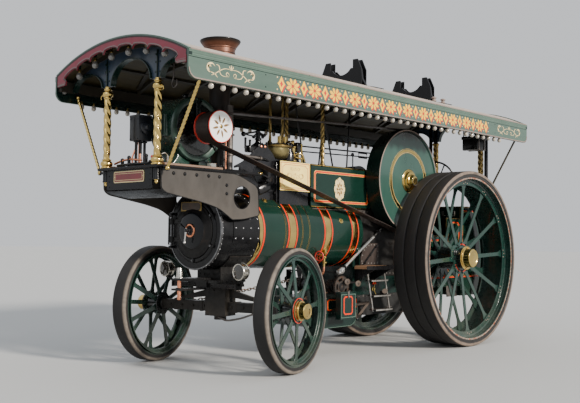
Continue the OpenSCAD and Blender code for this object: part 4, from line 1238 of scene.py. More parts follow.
p = Piece()
for s in (1, -1):
    m = move(2.838, s * 0.373, 0)
    p.add(rope((0, 0, 2.010), (0, 0, 2.606), 0.0345, 3, 0.27, 0.30, 30, 0.006, -1, 0.7, swell), 0, m)
    # knob at the foot, in turned steps
    p.add(lathe([(0.052, 1.9305), (0.054, 1.934), (0.052, 1.942), (0.044, 1.945), (0.044, 1.950), (0.054, 1.956), (0.0575, 1.968), (0.0565, 1.981), (0.049, 1.994),
                 (0.040, 2.000), (0.040, 2.004), (0.045, 2.007), (0.045, 2.013), (0.040, 2.016), (0.030, 2.017)], 40), 0, m)
    p.add(lathe([(0.028, 2.588), (0.036, 2.590), (0.038, 2.595), (0.036, 2.600), (0.030, 2.600), (0.030, 2.602), (0.043, 2.610), (0.0500, 2.624), (0.0500, 2.640),
                 (0.043, 2.654), (0.029, 2.660), (0.029, 2.668), (0.037, 2.671), (0.038, 2.676), (0.037, 2.681), (0.026, 2.684), (0.026, 2.702)], 40), 0, m)
    # sleeve and finial under the platform
    p.add(lathe([(0.028, 1.9035), (0.033, 1.900), (0.033, 1.812), (0.036, 1.808), (0.036, 1.800), (0.030, 1.797)][::-1], 32), 1, m)
    p.add(lathe([(0, 1.762), (0.010, 1.764), (0.018, 1.772), (0.020, 1.781), (0.016, 1.789), (0.024, 1.793), (0.026, 1.799)], 28), 0, m)
    # small hook on the knob
    p.add(tube(bend([(0, 0, 2.632), (0.01, s * 0.052, 2.634), (0.012, s * 0.085, 2.622), (0.012, s * 0.092, 2.598), (0.010, s * 0.078, 2.588)], 0.012, 4), 0.0045, 8), 0, m)
p.make("front_posts", "chassis", [BRASS, BLACK], "brass", 50, over=["canopy_posts"])

p = Piece()
for s in (1, -1):
    zt = arch(0.093, 2.065)
    p.add(rope((0.90, s * 0.093, 2.2385), (0.90, s * 0.093, zt), 0.0165, 2, 0.30, 0.42, 20, 0.008, 1 if s > 0 else -1, 0.8), 0)
    p.add(lathe([(0.026, 0), (0.026, 0.012), (0.018, 0.018), (0.018, 0.03)], 20), 0, move(0.90, s * 0.093, 2.2385))
    zt = arch(0.271, 2.065)
    p.add(rope((0.44, s * 0.271, 2.0905), (0.44, s * 0.271, zt), 0.0225, 3, 0.20, 0.3, 22, 0.008, s, 0.7), 0)
    p.add(lathe([(0.036, 0), (0.036, 0.012), (0.026, 0.018), (0.026, 0.035)], 20), 0, move(0.44, s * 0.271, 2.0905))
    zt = arch(0.362, 2.065)
    p.add(rope((-2.88, s * 0.362, 1.76), (-2.88, s * 0.362, 2.66), 0.040, 3, 0.24, 0.32, 24, 0.010, -1, 0.7), 0)
    for z in (1.745, 2.662):
        p.add(ball(0.048, 24, 12, 0.7), 0, move(-2.88, s * 0.362, z))
    p.add(cyl(0.030, zt - 2.67, 20), 1, move(-2.88, s * 0.362, 2.67))
    p.add(cyl(0.026, arch(0.448, 2.065) - 1.7205, 24), 1, move(-2.88, s * 0.448, 1.7205))
    p.add(ring(0.0, 0.036, 1.7205, 1.737, 24, 0.003), 1, move(-2.88, s * 0.448, 0))
p.make("inner_posts", "chassis", [BRASS_DULL, BLACK], "brass", 50)

p = Piece()
for s in (1, -1):
    a, b = Vector((2.822, s * 0.500, 1.900)), Vector((2.810, s * 0.905, 2.655))
    p.add(rope(a, b, 0.0158, 3, 0.115, 0.34, 20, 0.005, 1, 0.7), 0)
    p.add(ball(0.022, 20, 10), 0, move(2.822, s * 0.500, 1.895))
    p.add(ball(0.020, 20, 10), 0, move(2.810, s * 0.905, 2.660))
    p.add(bevelled(box(2.808, 2.836, min(s * 0.426, s * 0.514), max(s * 0.426, s * 0.514), 1.878, 1.902), 0.004, 2), 1)
    p.add(tube([(2.822, s * 0.500, 1.872), (2.822, s * 0.500, 1.908)], 0.015, 12), 1)
    p.add(lathe([(0.030, 0), (0.030, 0.010), (0.018, 0.014)], 20), 1, move(2.810, s * 0.912, 2.668) @ rx(s * -0.6))
    p.add(tube([(2.810, s * 0.905, 2.66), (2.810, s * 0.915, 2.71)], 0.012, 12), 1)
    # rear stays in darkened brass: painted shade
    a, b = Vector((-2.700, s * 0.469, 1.735)), Vector((-2.880, s * 0.905, 2.68))
    p.add(rope(a, b, 0.0135, 3, 0.10, 0.32, 18, 0.006, -1, 0.7), 2)
    p.add(ball(0.018, 16, 8), 0, move(*a))
    p.add(tube([(-2.880, s * 0.905, 2.68), (-2.881, s * 0.912, 2.72)], 0.010, 10), 1)
    p.add(ring(0.0, 0.022, -0.008, 0.006, 16), 1, move(-2.700, s * 0.469, 1.7285))
    for a, b in (((0.180, 0.215, 2.060), (0.404, 0.190, 2.985)), ((-0.060, 0.215, 2.060), (-0.160, 0.190, 2.985))):
        p.add(tube([(a[0], s * a[1], a[2]), (b[0], s * b[1], b[2])], 0.0095, 12), 1)
        p.add(ring(0.0, 0.022, -0.006, 0.006, 16), 1, move(a[0], s * a[1], a[2] + 0.002))
# brass darkened for the rear stays: painted shade
STAY_BRASS_SHADED = surface("stay_brass_painted_shade", (0.060, 0.050, 0.030), 0.3, 0.7, vary=0.3, vscale=20, bump=0.1)
p.make("stays", "chassis", [BRASS, BLACK, STAY_BRASS_SHADED], "brass", 50, over=["canopy_stays"])

# ---------- things on and under the roof ----------
p = Piece()
for rxx in (-0.23, -1.70):
    for s in (1, -1):
        # foot angle, straps and bolts of each chimney rest
        p.add(ribbon([(rxx - 0.043, s * y, arch(y, 2.142)) for y in (0.06, 0.14, 0.22, 0.30, 0.36)], [(0, s * y / 2.14, 1) for y in (0.06, 0.14, 0.22, 0.30, 0.36)], 0.20, 0.010), 0)
        for dx in (-0.125, 0.040):
            for y in (0.12, 0.33):
                p.add(hexbolt(0.011, 0.009), 0, move(rxx + dx, s * y, arch(y, 2.150)))
        ys = (0.34, 0.44, 0.54)
        p.add(ribbon([(rxx + 0.01, s * 0.300, 3.26), (rxx + 0.012, s * 0.318, 3.15), (rxx + 0.014, s * 0.38, arch(0.38, 2.147)), (rxx + 0.02, s * 0.50, arch(0.50, 2.145)), (rxx + 0.02, s * 0.62, arch(0.62, 2.144))],
                     [(0, s * 0.8, 0.6), (0, s * 0.7, 0.7), (0, s * 0.35, 0.93), (0, s * 0.25, 0.97), (0, s * 0.29, 0.95)], 0.030, 0.008), 0)
p.make("rest_straps", "chassis", [BLACK], "black_paint", 30)
give("chimney_rests", BLACK)

p = Piece()
# hanging battery box under the roof at the rear, with its lid and straps
p.add(bevelled(box(-2.34, -2.12, 0.52, 0.74, 2.465, 2.625), 0.006, 2), 0)
p.add(bevelled(box(-2.35, -2.11, 0.51, 0.75, 2.600, 2.640), 0.005, 2), 0)
for x in (-2.30, -2.16):
    p.add(box(x - 0.012, x + 0.012, 0.515, 0.745, 2.460, 2.466), 1)
    for y in (0.515, 0.742):
        p.add(box(x - 0.012, x + 0.012, y, y + 0.004, 2.460, arch(0.74, 2.10) - 0.02), 1)
# small vents on the roof
for x, y in ((-1.37, 0.56), (-1.44, 0.645)):
    z = arch(y, 2.1405)
    p.add(lathe([(0.030, 0), (0.030, 0.012), (0.020, 0.02), (0.020, 0.035), (0.034, 0.040), (0.030, 0.052), (0.012, 0.060), (0, 0.061)], 20), 2, move(x, y, z))
# hook under the front of the roof
p.add(tube(bend([(2.45, 0.12, 3.04), (2.45, 0.12, 2.80), (2.45, 0.09, 2.74), (2.45, 0.12, 2.69), (2.45, 0.17, 2.72), (2.45, 0.165, 2.77)], 0.03, 5), 0.006, 8), 1)
p.make("roof_fittings", "chassis", [BLACK, IRON, TAN_LINE], "black_paint", 40)


# ---------- smokebox and its door ----------
def rivets(p, spots, r, mat, h=0.65, n=10):
    """Domed rivets: each spot is (x, y, z, direction)."""
    shape = dome(r, r * h, n)
    for x, y, z, d in spots:
        q = Vector(d).to_track_quat("Z", "Y").to_matrix().to_4x4()
        p.add(shape, mat, move(x, y, z) @ q)


def round_boiler(x, deg, r):
    """A place on a drum round the boiler's centre line; 0 degrees is the left side, 90 the top."""
    a = radians(deg)
    return (x, r * cos(a), BZ + r * sin(a), (0, cos(a), sin(a)))


AT_BOILER = move(0, 0, BZ) @ ALONG_X
give("smokebox", BLACK)
p = Piece()
spots = [round_boiler(2.034, a, 0.3845) for a in range(-172, 188, 8)]
spots += [round_boiler(1.565, a, 0.3825) for a in range(-170, 190, 10) if not (-25 < a < 30 or 150 < a or a < -155)]
rivets(p, spots, 0.0095, 1)
rivets(p, [round_boiler(x, a, 0.3855 + 0.004) for x in (1.56, 1.665, 1.77, 1.868) for a in (-11, 4, 18)], 0.013, 1)
rivets(p, [round_boiler(x, 180 - a, 0.3855 + 0.004) for x in (1.56, 1.665, 1.77, 1.868) for a in (-11, 4, 18)], 0.013, 1)
for a0, a1 in ((-17, 23), (157, 197)):
    p.add(lathe([(0.3825, 1.517), (0.3885, 1.517), (0.3895, 1.518), (0.3895, 1.895), (0.3885, 1.896), (0.3825, 1.896), (0.3825, 1.517)], 24, radians(a0) + pi / 2, radians(a1) + pi / 2), 0,
          move(0, 0, BZ) @ ALONG_X @ rz(0))
# ring that the door closes on, and the wrapper's rolled edge
p.add(lathe([(0.2765, 2.0565), (0.2765, 2.066), (0.280, 2.069), (0.306, 2.069), (0.312, 2.065), (0.316, 2.0565)][::-1], 96), 0, AT_BOILER)
p.add(lathe([(0.372, 2.0562), (0.372, 2.0600), (0.383, 2.0600), (0.3862, 2.057), (0.3868, 2.050), (0.3862, 2.036), (0.3845, 2.030)][::-1], 96), 1, AT_BOILER)
for k in range(6):
    a = TAU * (k + 0.5) / 6
    if cos(a) * 0.295 < -0.2:
        continue
    # dogs that hold the door
    q = move(2.069, 0.293 * cos(a), BZ + 0.293 * sin(a)) @ rx(a)
    p.add(bevelled(box(0, 0.012, -0.026, 0.026, -0.014, 0.014), 0.003), 0, q)
    p.add(hexbolt(0.010, 0.009), 1, q @ move(0.012, 0, 0) @ ALONG_X)
# hinge posts
for z0, z1 in ((1.182, 1.206), (1.508, 1.532)):
    p.add(bevelled(box(2.040, 2.110, -0.334, -0.296, z0, z1), 0.004), 0)
p.add(tube([(2.087, -0.315, 1.176), (2.087, -0.315, 1.538)], 0.0105, 12), 1)
# grey metal rivets, lighter than the black paint round them so their heads show as bright dots: painted glint
RIVET_GREY_GLINT = surface("rivet_grey_painted_glint", (0.16, 0.16, 0.165), 0.24, 0.85, vary=0.3, vscale=20, rvar=0.06, bump=0.05)
p.make("smokebox_fittings", "chassis", [BLACK, RIVET_GREY_GLINT], "black_paint", 36)

DOOR_IN = surface("door_gloss", (0.005, 0.007, 0.010), 0.15, coat=0.08, spec=0.25, vary=0.3, vscale=5, rvar=0.06, bump=0.06, bscale=30)
p = Piece()
x0 = 2.0572
p.add(lathe([(0, x0), (0.266, x0), (0.2715, x0 + 0.003), (0.272, x0 + 0.014), (0.268, x0 + 0.0185), (0.250, x0 + 0.0205), (0.246, x0 + 0.0235), (0.235, x0 + 0.0250),
             (0.182, x0 + 0.0375), (0.178, x0 + 0.041)], 96), 1, AT_BOILER)
p.add(lathe([(0.178, x0 + 0.041), (0.170, x0 + 0.0445), (0.160, x0 + 0.0455), (0.120, x0 + 0.0515), (0.070, x0 + 0.0555), (0, x0 + 0.0565)], 96), 2, AT_BOILER)
# boss with a copper ring and two handles
p.add(lathe([(0.068, x0 + 0.054), (0.068, x0 + 0.062), (0.062, x0 + 0.067), (0.050, x0 + 0.067), (0.047, x0 + 0.063)], 40), 3, AT_BOILER)
p.add(lathe([(0.047, x0 + 0.060), (0.030, x0 + 0.066), (0.030, x0 + 0.086), (0.022, x0 + 0.090), (0.018, x0 + 0.092), (0.018, x0 + 0.118), (0.012, x0 + 0.122), (0, x0 + 0.123)], 32), 4, AT_BOILER)
for xx, ang, ln, mat in ((x0 + 0.108, radians(-100), 0.120, 5), (x0 + 0.094, radians(150), 0.110, 4)):
    c = Vector((xx, 0, BZ))
    d = Vector((0, -cos(ang) * -1, sin(ang)))
    p.add(tube([c - d * 0.02, c, c + d * ln * 0.5, c + d * ln], [0.011, 0.013, 0.008, 0.010], 14), mat)
    p.add(ball(0.014, 16, 10), mat, Matrix.Translation(c + d * ln))
# hinge straps and the upright loop between them
for z in (1.235, 1.415):
    p.add(bevelled(box(x0 + 0.0165, x0 + 0.030, -0.300, -0.130, z + 0.008, z + 0.056), 0.004), 1)
    p.add(cyl(0.016, 0.064, 20), 1, move(2.087, -0.315, z))
    rivets(p, [(x0 + 0.030, y, z + 0.032, (1, 0, 0)) for y in (-0.27, -0.215, -0.16)], 0.008, 1)
loop = bend([(x0 + 0.036, -0.292, 1.215), (x0 + 0.036, -0.292, 1.499), (x0 + 0.036, -0.344, 1.499), (x0 + 0.036, -0.344, 1.215)], 0.024, 6)
p.add(tube(loop, 0.0085, 10, True), 1)
# blank plate with a brass edge on the upper part of the door
p.add(bevelled(box(2.0760, 2.0865, -0.172, 0.125, 1.545, 1.640), 0.003), 6)
p.add(bevelled(box(2.0860, 2.0885, -0.161, 0.114, 1.556, 1.629), 0.001), 7)
for y in (-0.150, 0.103):
    for z in (1.566, 1.619):
        p.add(dome(0.005, 0.003, 8), 6, move(2.0885, y, z) @ ALONG_X)
p.add(box(2.066, 2.077, -0.10, -0.07, 1.56, 1.61), 1).add(box(2.066, 2.077, 0.03, 0.06, 1.56, 1.61), 1)
p.make("smokebox_door_detail", "smokebox_door", [BLACK, BLACK_DIRTY, DOOR_IN, COPPER, OILY, STEEL, BRASS_DULL, RUST_BROWN], "black_paint", 34, over=["smokebox_door"])

# ---------- saddle, axle, beam, tow pin ----------
give("smokebox_saddle", BLACK_DIRTY)
give("front_drawgear", BLACK)
give("front_axle", BLACK_DIRTY)
p = Piece()
spots = []
for y in (-0.170, 0.170):
    for x in (1.575, 1.64, 1.705, 1.77, 1.83):
        for z in (0.86, 0.93):
            spots.append((x, y, z, (0, 1 if y > 0 else -1, 0)))
for z in (0.86, 0.93):
    for y in (-0.13, -0.065, 0, 0.065, 0.13):
        spots.append((1.860, y, z, (1, 0, 0)))
rivets(p, spots, 0.011, 0)
# curved flange under the smokebox
for s in (1, -1):
    a0, a1 = (-78, -40)
    p.add(lathe([(0.3835, 1.55), (0.394, 1.55), (0.394, 1.86), (0.3835, 1.86), (0.3835, 1.55)], 20, radians(a0) + pi / 2, radians(a1) + pi / 2), 0, AT_BOILER if s > 0 else MIRROR_Y @ AT_BOILER)
    rivets(p, [(x, s * 0.394 * cos(radians(a)), BZ + 0.394 * sin(radians(a)), (0, s * cos(radians(a)), sin(radians(a)))) for x in (1.59, 1.66, 1.73, 1.80, 1.84) for a in (-46, -62)], 0.010, 0)
    # rivets and rails on the lamp beam
    rivets(p, [(1.932, s * y, 0.821, (1, 0, 0)) for y in (0.12, 0.22, 0.32, 0.42)], 0.010, 0)
    p.add(bevelled(box(1.858, 1.945, s * 0.462 - 0.010, s * 0.462 + 0.010, 0.790, 0.855), 0.003), 0)
    p.add(bevelled(box(1.900, 1.952, min(s * 0.080, s * 0.21), max(s * 0.080, s * 0.21), 0.842, 0.876), 0.003), 1)
# tow bracket: jaws with rounded ends
p.add(prism([(1.962, -0.068), (2.16, -0.068)] + [(2.235 + 0.055 * cos(radians(a)), 0.062 * sin(radians(a))) for a in range(-80, 81, 10)] + [(2.16, 0.068), (1.962, 0.068)], 0.004), 1, move(0, 0, 0.8938))
p.add(lathe([(0.022, 0), (0.036, 0), (0.036, 0.006), (0.030, 0.009), (0.022, 0.009)], 28), 1, move(2.24, 0, 0.7975))
p.make("front_frame_details", "chassis", [BLACK_DIRTY, BLACK, STEEL], "black_paint", 34)

p = Piece()
p.add(lathe([(0, 0.690), (0.016, 0.690), (0.0195, 0.694), (0.0195, 0.895)], 28), 0, move(2.240, 0, 0))
p.add(lathe([(0.0195, 0.8945), (0.036, 0.8945), (0.038, 0.898), (0.037, 0.904), (0.033, 0.908), (0.0275, 0.988), (0.024, 0.997), (0.012, 1.0), (0, 1.0)], 32), 1, move(2.240, 0, 0))
p.add(tube([(2.24, -0.03, 0.715), (2.24, 0.03, 0.715)], 0.004, 8), 1)
p.make("tow_pin_detail", "chassis", [COPPER, NICKEL], "worn_iron", 40, over=["tow_pin"])

p = Piece()
st = move(KING_X, 0, 0) @ rz(STEER) @ move(-KING_X, 0, 0)
for s in (1, -1):
    for y in (0.16, 0.30, 0.44, 0.58):
        p.add(hexbolt(0.014, 0.012), 0, st @ move(KING_X + 0.050, s * y, 0.600) @ ALONG_X)
    # collars beside the wheels, oil cups and linchpins
    p.add(lathe([(0.046, 0), (0.066, 0), (0.068, 0.003), (0.068, 0.016), (0.064, 0.019), (0.046, 0.019)], 32), 1, st @ move(KING_X, s * 0.690, 0.600) @ (ALONG_Y if s > 0 else rx(pi / 2)))
    # straps over the beam, and the chain eyes
    for y in (0.20, 0.52):
        p.add(bevelled(box(KING_X - 0.056, KING_X + 0.056, s * y - 0.018, s * y + 0.018, 0.546, 0.654), 0.004), 0, st)
    p.add(lathe([(0.012, -0.008), (0.024, -0.008), (0.024, 0.008), (0.012, 0.008), (0.012, -0.008)], 20), 0, st @ move(KING_X - 0.096, s * 0.50, 0.612))
# turntable ring under the saddle and the king pin's nut
p.add(lathe([(0.050, 0.742), (0.118, 0.742), (0.120, 0.746), (0.120, 0.786), (0.116, 0.790), (0.050, 0.790)], 48), 0, st @ move(KING_X, 0, 0))
for k in range(8):
    p.add(hexbolt(0.011, 0.008), 1, st @ move(KING_X, 0, 0) @ rz(TAU * k / 8) @ move(0.12, 0, 0.765) @ ALONG_X)
# bent rod under the beam
p.add(tube(bend([(KING_X + 0.06, 0.02, 0.500), (KING_X + 0.10, 0.14, 0.468), (KING_X + 0.08, 0.30, 0.500), (KING_X + 0.03, 0.44, 0.556)], 0.05, 5), 0.010, 10), 2, st)
p.make("front_axle_details", "front_axle", [BLACK_DIRTY, BLACK, IRON], "black_paint", 34)

# ---------- lamps ----------
LAMP_GLASS = surface("lamp_glass_dark", (0.045, 0.040, 0.030), 0.10, 0.0, coat=0.9, vary=0.3, vscale=12, rvar=0.04, bump=0.25, bscale=45, bdist=0.002)
p = Piece()
for s in (1, -1):
    m = move(0, s * 0.540, 0.967) @ ALONG_X
    wide = Matrix.Diagonal((1.265, 1.265, 1, 1))
    p.add(lathe([(0, 1.8690), (0.026, 1.8690), (0.036, 1.872), (0.040, 1.880), (0.042, 1.892), (0.052, 1.897), (0.0595, 1.906), (0.0610, 1.918), (0.0610, 1.955), (0.0600, 1.960)], 48), 0, m @ wide)
    p.add(lathe([(0.0590, 1.9560), (0.0632, 1.9590), (0.0634, 1.966), (0.0634, 1.980), (0.0615, 1.984), (0.0565, 1.985), (0.0530, 1.979)], 56), 0, m @ wide)
    p.add(lathe([(0.0545, 1.9765), (0.040, 1.9805), (0.020, 1.9830), (0, 1.9835)], 48), 1, m @ wide)
    p.add(lathe([(0.0300, 1.9828), (0.0285, 1.9838), (0.0270, 1.9830)], 40), 3, m @ wide)
    # hood ring, handle, foot
    p.add(tube([(1.900 + 0.022 * sin(a), s * 0.540 + 0.080 * cos(a) * 0.85, 0.967 + 0.080 * sin(a) + 0.006) for a in [pi * k / 14 for k in range(15)]], 0.0035, 8), 0)
    p.add(tube(bend([(1.925, s * 0.540, 0.892), (1.920, s * 0.538, 0.875), (1.905, s * 0.500, 0.855), (1.896, s * 0.462, 0.842)], 0.02, 4), 0.012, 12), 2)
    p.add(bevelled(box(1.900, 1.946, s * 0.540 - 0.020, s * 0.540 + 0.020, 0.876, 0.892), 0.003), 2)
p.make("headlamps_detail", "chassis", [NICKEL, LAMP_GLASS, BLACK, IRON], "lamp_metal", 40, over=["headlamps"])

# ---------- perch and platform ----------
PERCH = [(2.834, 1.884), (2.826, 1.722), (2.775, 1.686), (2.325, 1.612), (2.132, 1.565), (2.004, 1.490), (1.960, 1.462), (1.800, 1.470), (1.591, 1.512),
         (1.611, 1.762), (1.641, 1.803), (1.780, 1.860), (1.910, 1.903), (2.834, 1.903)]


def smooth_outline(pts, radii):
    out = []
    k = len(pts)
    for i in range(k):
        a, b, c = Vector((*pts[i - 1], 0)), Vector((*pts[i], 0)), Vector((*pts[(i + 1) % k], 0))
        r = radii[i] if isinstance(radii, (list, tuple)) else radii
        d = min(r, (a - b).length * 0.45, (c - b).length * 0.45)
        if d < 1e-4:
            out.append((b.x, b.y))
            continue
        q0, q1 = b + (a - b).normalized() * d, b + (c - b).normalized() * d
        for s in range(6):
            t = s / 5
            v = q0 * (1 - t) ** 2 + b * 2 * t * (1 - t) + q1 * t ** 2
            out.append((v.x, v.y))
    return out


perch_line = smooth_outline(PERCH, [0.004, 0.05, 0.05, 0.15, 0.12, 0.09, 0.03, 0.06, 0.02, 0.05, 0.03, 0.09, 0.06, 0.004])
p = Piece()
for s in (1, -1):
    m = Matrix.Identity(4) if s > 0 else MIRROR_Y
    hole = [(1.831 + 0.108 * cos(TAU * k / 48), 1.678 + 0.108 * sin(TAU * k / 48)) for k in range(48)]
    p.add(prism(perch_line, 0.012, [hole]), 0, m @ on_xz(0.426))
    p.add(tube([(x, 0.4255, z) for x, z in perch_line], 0.0042, 6, True), 1, m)
    p.add(torus(0.109, 0.0035, 48, 6), 1, m @ move(1.831, 0.4255, 1.678) @ ALONG_Y)
    rivets(p, [(x, 0.426, 1.862, (0, 1, 0)) for x in (2.691, 2.560, 2.417, 2.270, 2.132)] + [(2.037, 0.426, 1.788, (0, 1, 0)), (2.035, 0.426, 1.708, (0, 1, 0))], 0.0170, 1, 0.75, 14) if s > 0 else \
        rivets(p, [(x, -0.426, 1.862, (0, -1, 0)) for x in (2.691, 2.560, 2.417, 2.270, 2.132)] + [(2.037, -0.426, 1.788, (0, -1, 0)), (2.035, -0.426, 1.708, (0, -1, 0))], 0.0170, 1, 0.75, 14)
    # strip that covers the joint with the saddle plate, and angles inside
    p.add(bevelled(box(1.935, 2.834, 0.370, 0.4138, 1.892, 1.9035), 0.002), 1, m)
    p.add(bevelled(box(1.935, 2.834, 0.404, 0.4138, 1.850, 1.895), 0.002), 1, m)
    p.add(box(1.612, 1.618, 0.405, 0.4145, 1.530, 1.750), 1, m)
# sheet that closes the perch below
low = [(2.812, 1.712), (2.770, 1.690), (2.560, 1.656)]
pts = [(x, 0.0, z) for x, z in low]
p.add(ribbon(pts, [(0, 0, 1)] * len(pts), 0.826, 0.004), 1)
p.make("perch_detail", "chassis", [GREY, BLACK], "grey_paint", 34, over=["perch_plates"])

give("dynamo_platform", BLACK)
p = Piece()
for s in (1, -1):
    # plank and toe board along each edge of the platform
    p.add(bevelled(box(2.085, 2.795, min(s * 0.335, s * 0.428), max(s * 0.335, s * 0.428), 1.9305, 1.952), 0.004), 0)
    p.add(bevelled(box(1.80, 2.075, min(s * 0.345, s * 0.424), max(s * 0.345, s * 0.424), 1.9305, 1.944), 0.003), 1)
    rivets(p, [(x, s * 0.382, 1.952, (0, 0, 1)) for x in (2.15, 2.45, 2.74)], 0.010, 1)
# black edge of the platform
p.add(tube([(1.60, 0.4325, 1.917), (2.889, 0.4325, 1.917), (2.8895, 0.0, 1.917), (2.889, -0.4325, 1.917), (1.60, -0.4325, 1.917)], 0.011, 8), 1)
# red blank plate in a pale frame on the front sheet
p.add(prism(rounded(-0.222, 0.222, 1.785, 1.890, 0.016), 0.005), 2, on_yz(2.858))
p.add(prism(rounded(-0.212, 0.212, 1.795, 1.880, 0.010), 0.0018), 3, on_yz(2.8625))
p.add(prism(rounded(-0.200, 0.200, 1.806, 1.869, 0.008), 0.001, [rounded(-0.196, 0.196, 1.810, 1.865, 0.006)]), 2, on_yz(2.8640))
for y in (-0.205, 0.205):
    p.add(dome(0.005, 0.003, 8), 2, move(2.8643, y, 1.8375) @ ALONG_X)
rivets(p, [(2.858, y, z, (1, 0, 0)) for y in (-0.30, 0.30) for z in (1.75, 1.80, 1.85)], 0.008, 1)
# small box, valves and levers on the platform
p.add(bevelled(box(2.135, 2.205, 0.330, 0.385, 1.9525, 1.992), 0.004), 4)
p.add(bevelled(box(2.060, 2.100, 0.345, 0.385, 1.945, 1.975), 0.004), 1)
for x, y, h in ((2.77, -0.22, 0.075), (2.77, -0.12, 0.095), (2.76, 0.12, 0.10), (2.75, 0.20, 0.085)):
    p.add(cyl(0.016, h, 16), 1, move(x, y, 1.9305))
    p.add(ball(0.019, 16, 8), 5 if y > 0.15 else 1, move(x, y, 1.9305 + h))
p.add(tube(bend([(2.77, -0.34, 1.975), (2.775, -0.22, 2.000), (2.77, -0.10, 2.010), (2.765, 0.06, 1.990)], 0.03, 4), 0.010, 10), 6)
p.add(tube(bend([(2.78, -0.28, 1.955), (2.80, -0.05, 1.958), (2.80, 0.22, 1.955)], 0.03, 4), 0.013, 10), 1)
p.add(bevelled(box(2.71, 2.80, -0.075, 0.020, 1.9305, 1.972), 0.006), 1)
p.add(bevelled(box(2.73, 2.79, 0.185, 0.260, 1.9305, 1.985), 0.006), 1)
# bright handle beside the foot of the post
p.add(tube(bend([(2.74, 0.40, 1.955), (2.735, 0.395, 2.02), (2.76, 0.38, 2.045), (2.79, 0.375, 2.03)], 0.02, 4), 0.0085, 10), 4)
# copper pipe from the exciter, grey steam pipe and its copper drain
p.add(tube([(2.580, -0.205, 1.9305), (2.580, -0.205, 2.172)], 0.0165, 14), 6)
p.add(tube([(1.795, 0.205, 1.9305), (1.795, 0.205, 2.34), (1.795, 0.205, 2.60)], 0.034, 24), 7)
for z in (1.9305, 2.10, 2.30):
    p.add(lathe([(0.033, 0), (0.048, 0), (0.048, 0.012), (0.038, 0.016), (0.033, 0.016)], 24), 7, move(1.795, 0.205, z))
p.add(tube([(1.862, 0.222, 1.9305), (1.862, 0.222, 2.42)], 0.009, 12), 6)
p.add(tube([(1.865, 0.180, 1.9305), (1.865, 0.180, 2.55)], 0.0075, 10), 1)
p.make("platform_fittings", "chassis", [PLANK, BLACK, CREAM, PLATE_RED, NICKEL, RED_PAINT, COPPER, IRON], "grey_paint", 36)

# ---------- chimney ----------
give("chimney", CHIMNEY)
p = Piece()
m = move(CHIM_X, 0, 0)
p.add(lathe([(0.105, 3.015), (0.112, 3.018), (0.115, 3.026), (0.112, 3.034), (0.118, 3.038), (0.1275, 3.052)], 64), 0, m)
p.add(lathe([(0.1525, 3.196), (0.158, 3.199), (0.160, 3.205), (0.158, 3.211)], 64), 0, m)
p.add(torus(0.2005, 0.0075, 72, 10), 1, m @ move(0, 0, 3.2785))
p.add(torus(0.1508, 0.004, 64, 8), 1, m @ move(0, 0, 3.150))
for k in range(12):
    p.add(hexbolt(0.011, 0.009), 1, m @ rz(TAU * k / 12) @ move(0.150, 0, 1.948))
p.add(lathe([(0.106, 2.470), (0.109, 2.472), (0.109, 2.500), (0.106, 2.502)], 64), 1, m)
# collar where the chimney passes the roof
z0 = arch(0.0, 2.141)
p.add(lathe([(0.150, z0 - 0.006), (0.178, z0 - 0.006), (0.178, z0 + 0.016), (0.150, z0 + 0.022), (0.122, z0 + 0.030), (0.122, z0 + 0.045), (0.113, z0 + 0.047)], 64), 2, m)
p.make("chimney_details", "chassis", [CHIMNEY, BLACK, TAN_LINE], "copper_paint", 40)


# ---------- barrel: bands, rings, valve ----------
give("boiler_barrel", GREEN)
p = Piece()


def band(x0, x1, edge=True):
    if edge:
        e = min(0.017, (x1 - x0) * 0.15)
        p.add(lathe([(0.3845, x0), (0.3868, x0 + 0.002), (0.3868, x0 + e), (0.3845, x0 + e)], 112), 1, AT_BOILER)
        p.add(lathe([(0.3845, x1 - e), (0.3868, x1 - e), (0.3868, x1 - 0.002), (0.3845, x1)], 112), 1, AT_BOILER)
        a, b = x0 + e + 0.008, x1 - e - 0.008
        p.add(lathe([(0.3845, a), (0.3885, a + 0.002), (0.3890, a + 0.006), (0.3890, b - 0.006), (0.3885, b - 0.002), (0.3845, b)], 112), 0, AT_BOILER)
        for q in (a - 0.006, b + 0.001):
            p.add(lathe([(0.3845, q), (0.3862, q), (0.3862, q + 0.005), (0.3845, q + 0.005)], 112), 2, AT_BOILER)
    else:
        p.add(lathe([(0.3845, x0 + 0.003), (0.3872, x0 + 0.004), (0.3872, x1 - 0.004), (0.3845, x1 - 0.003)], 112), 2, AT_BOILER)
        for q in (x0, x1 - 0.004):
            p.add(lathe([(0.3845, q), (0.3878, q + 0.001), (0.3878, q + 0.003), (0.3845, q + 0.004)], 112), 0, AT_BOILER)


for x in ((0.962, 1.107), (0.382, 0.528), (-0.083, 0.046)):
    band(*x)
for x in (1.145, 0.884, 0.771):
    band(x - 0.009, x + 0.009, False)
# joint with the smokebox: brass band with an orange edge on the barrel's side
p.add(lathe([(0.3845, 1.486), (0.3895, 1.489), (0.3905, 1.494), (0.3905, 1.531), (0.3895, 1.537), (0.3845, 1.5395)], 112), 0, AT_BOILER)
p.add(lathe([(0.3845, 1.456), (0.3868, 1.458), (0.3868, 1.476), (0.3845, 1.478)], 112), 1, AT_BOILER)
p.make("boiler_bands", "chassis", [BRASS, ORANGE, BLACK, BRASS_DULL], "brass", 40)

p = Piece()
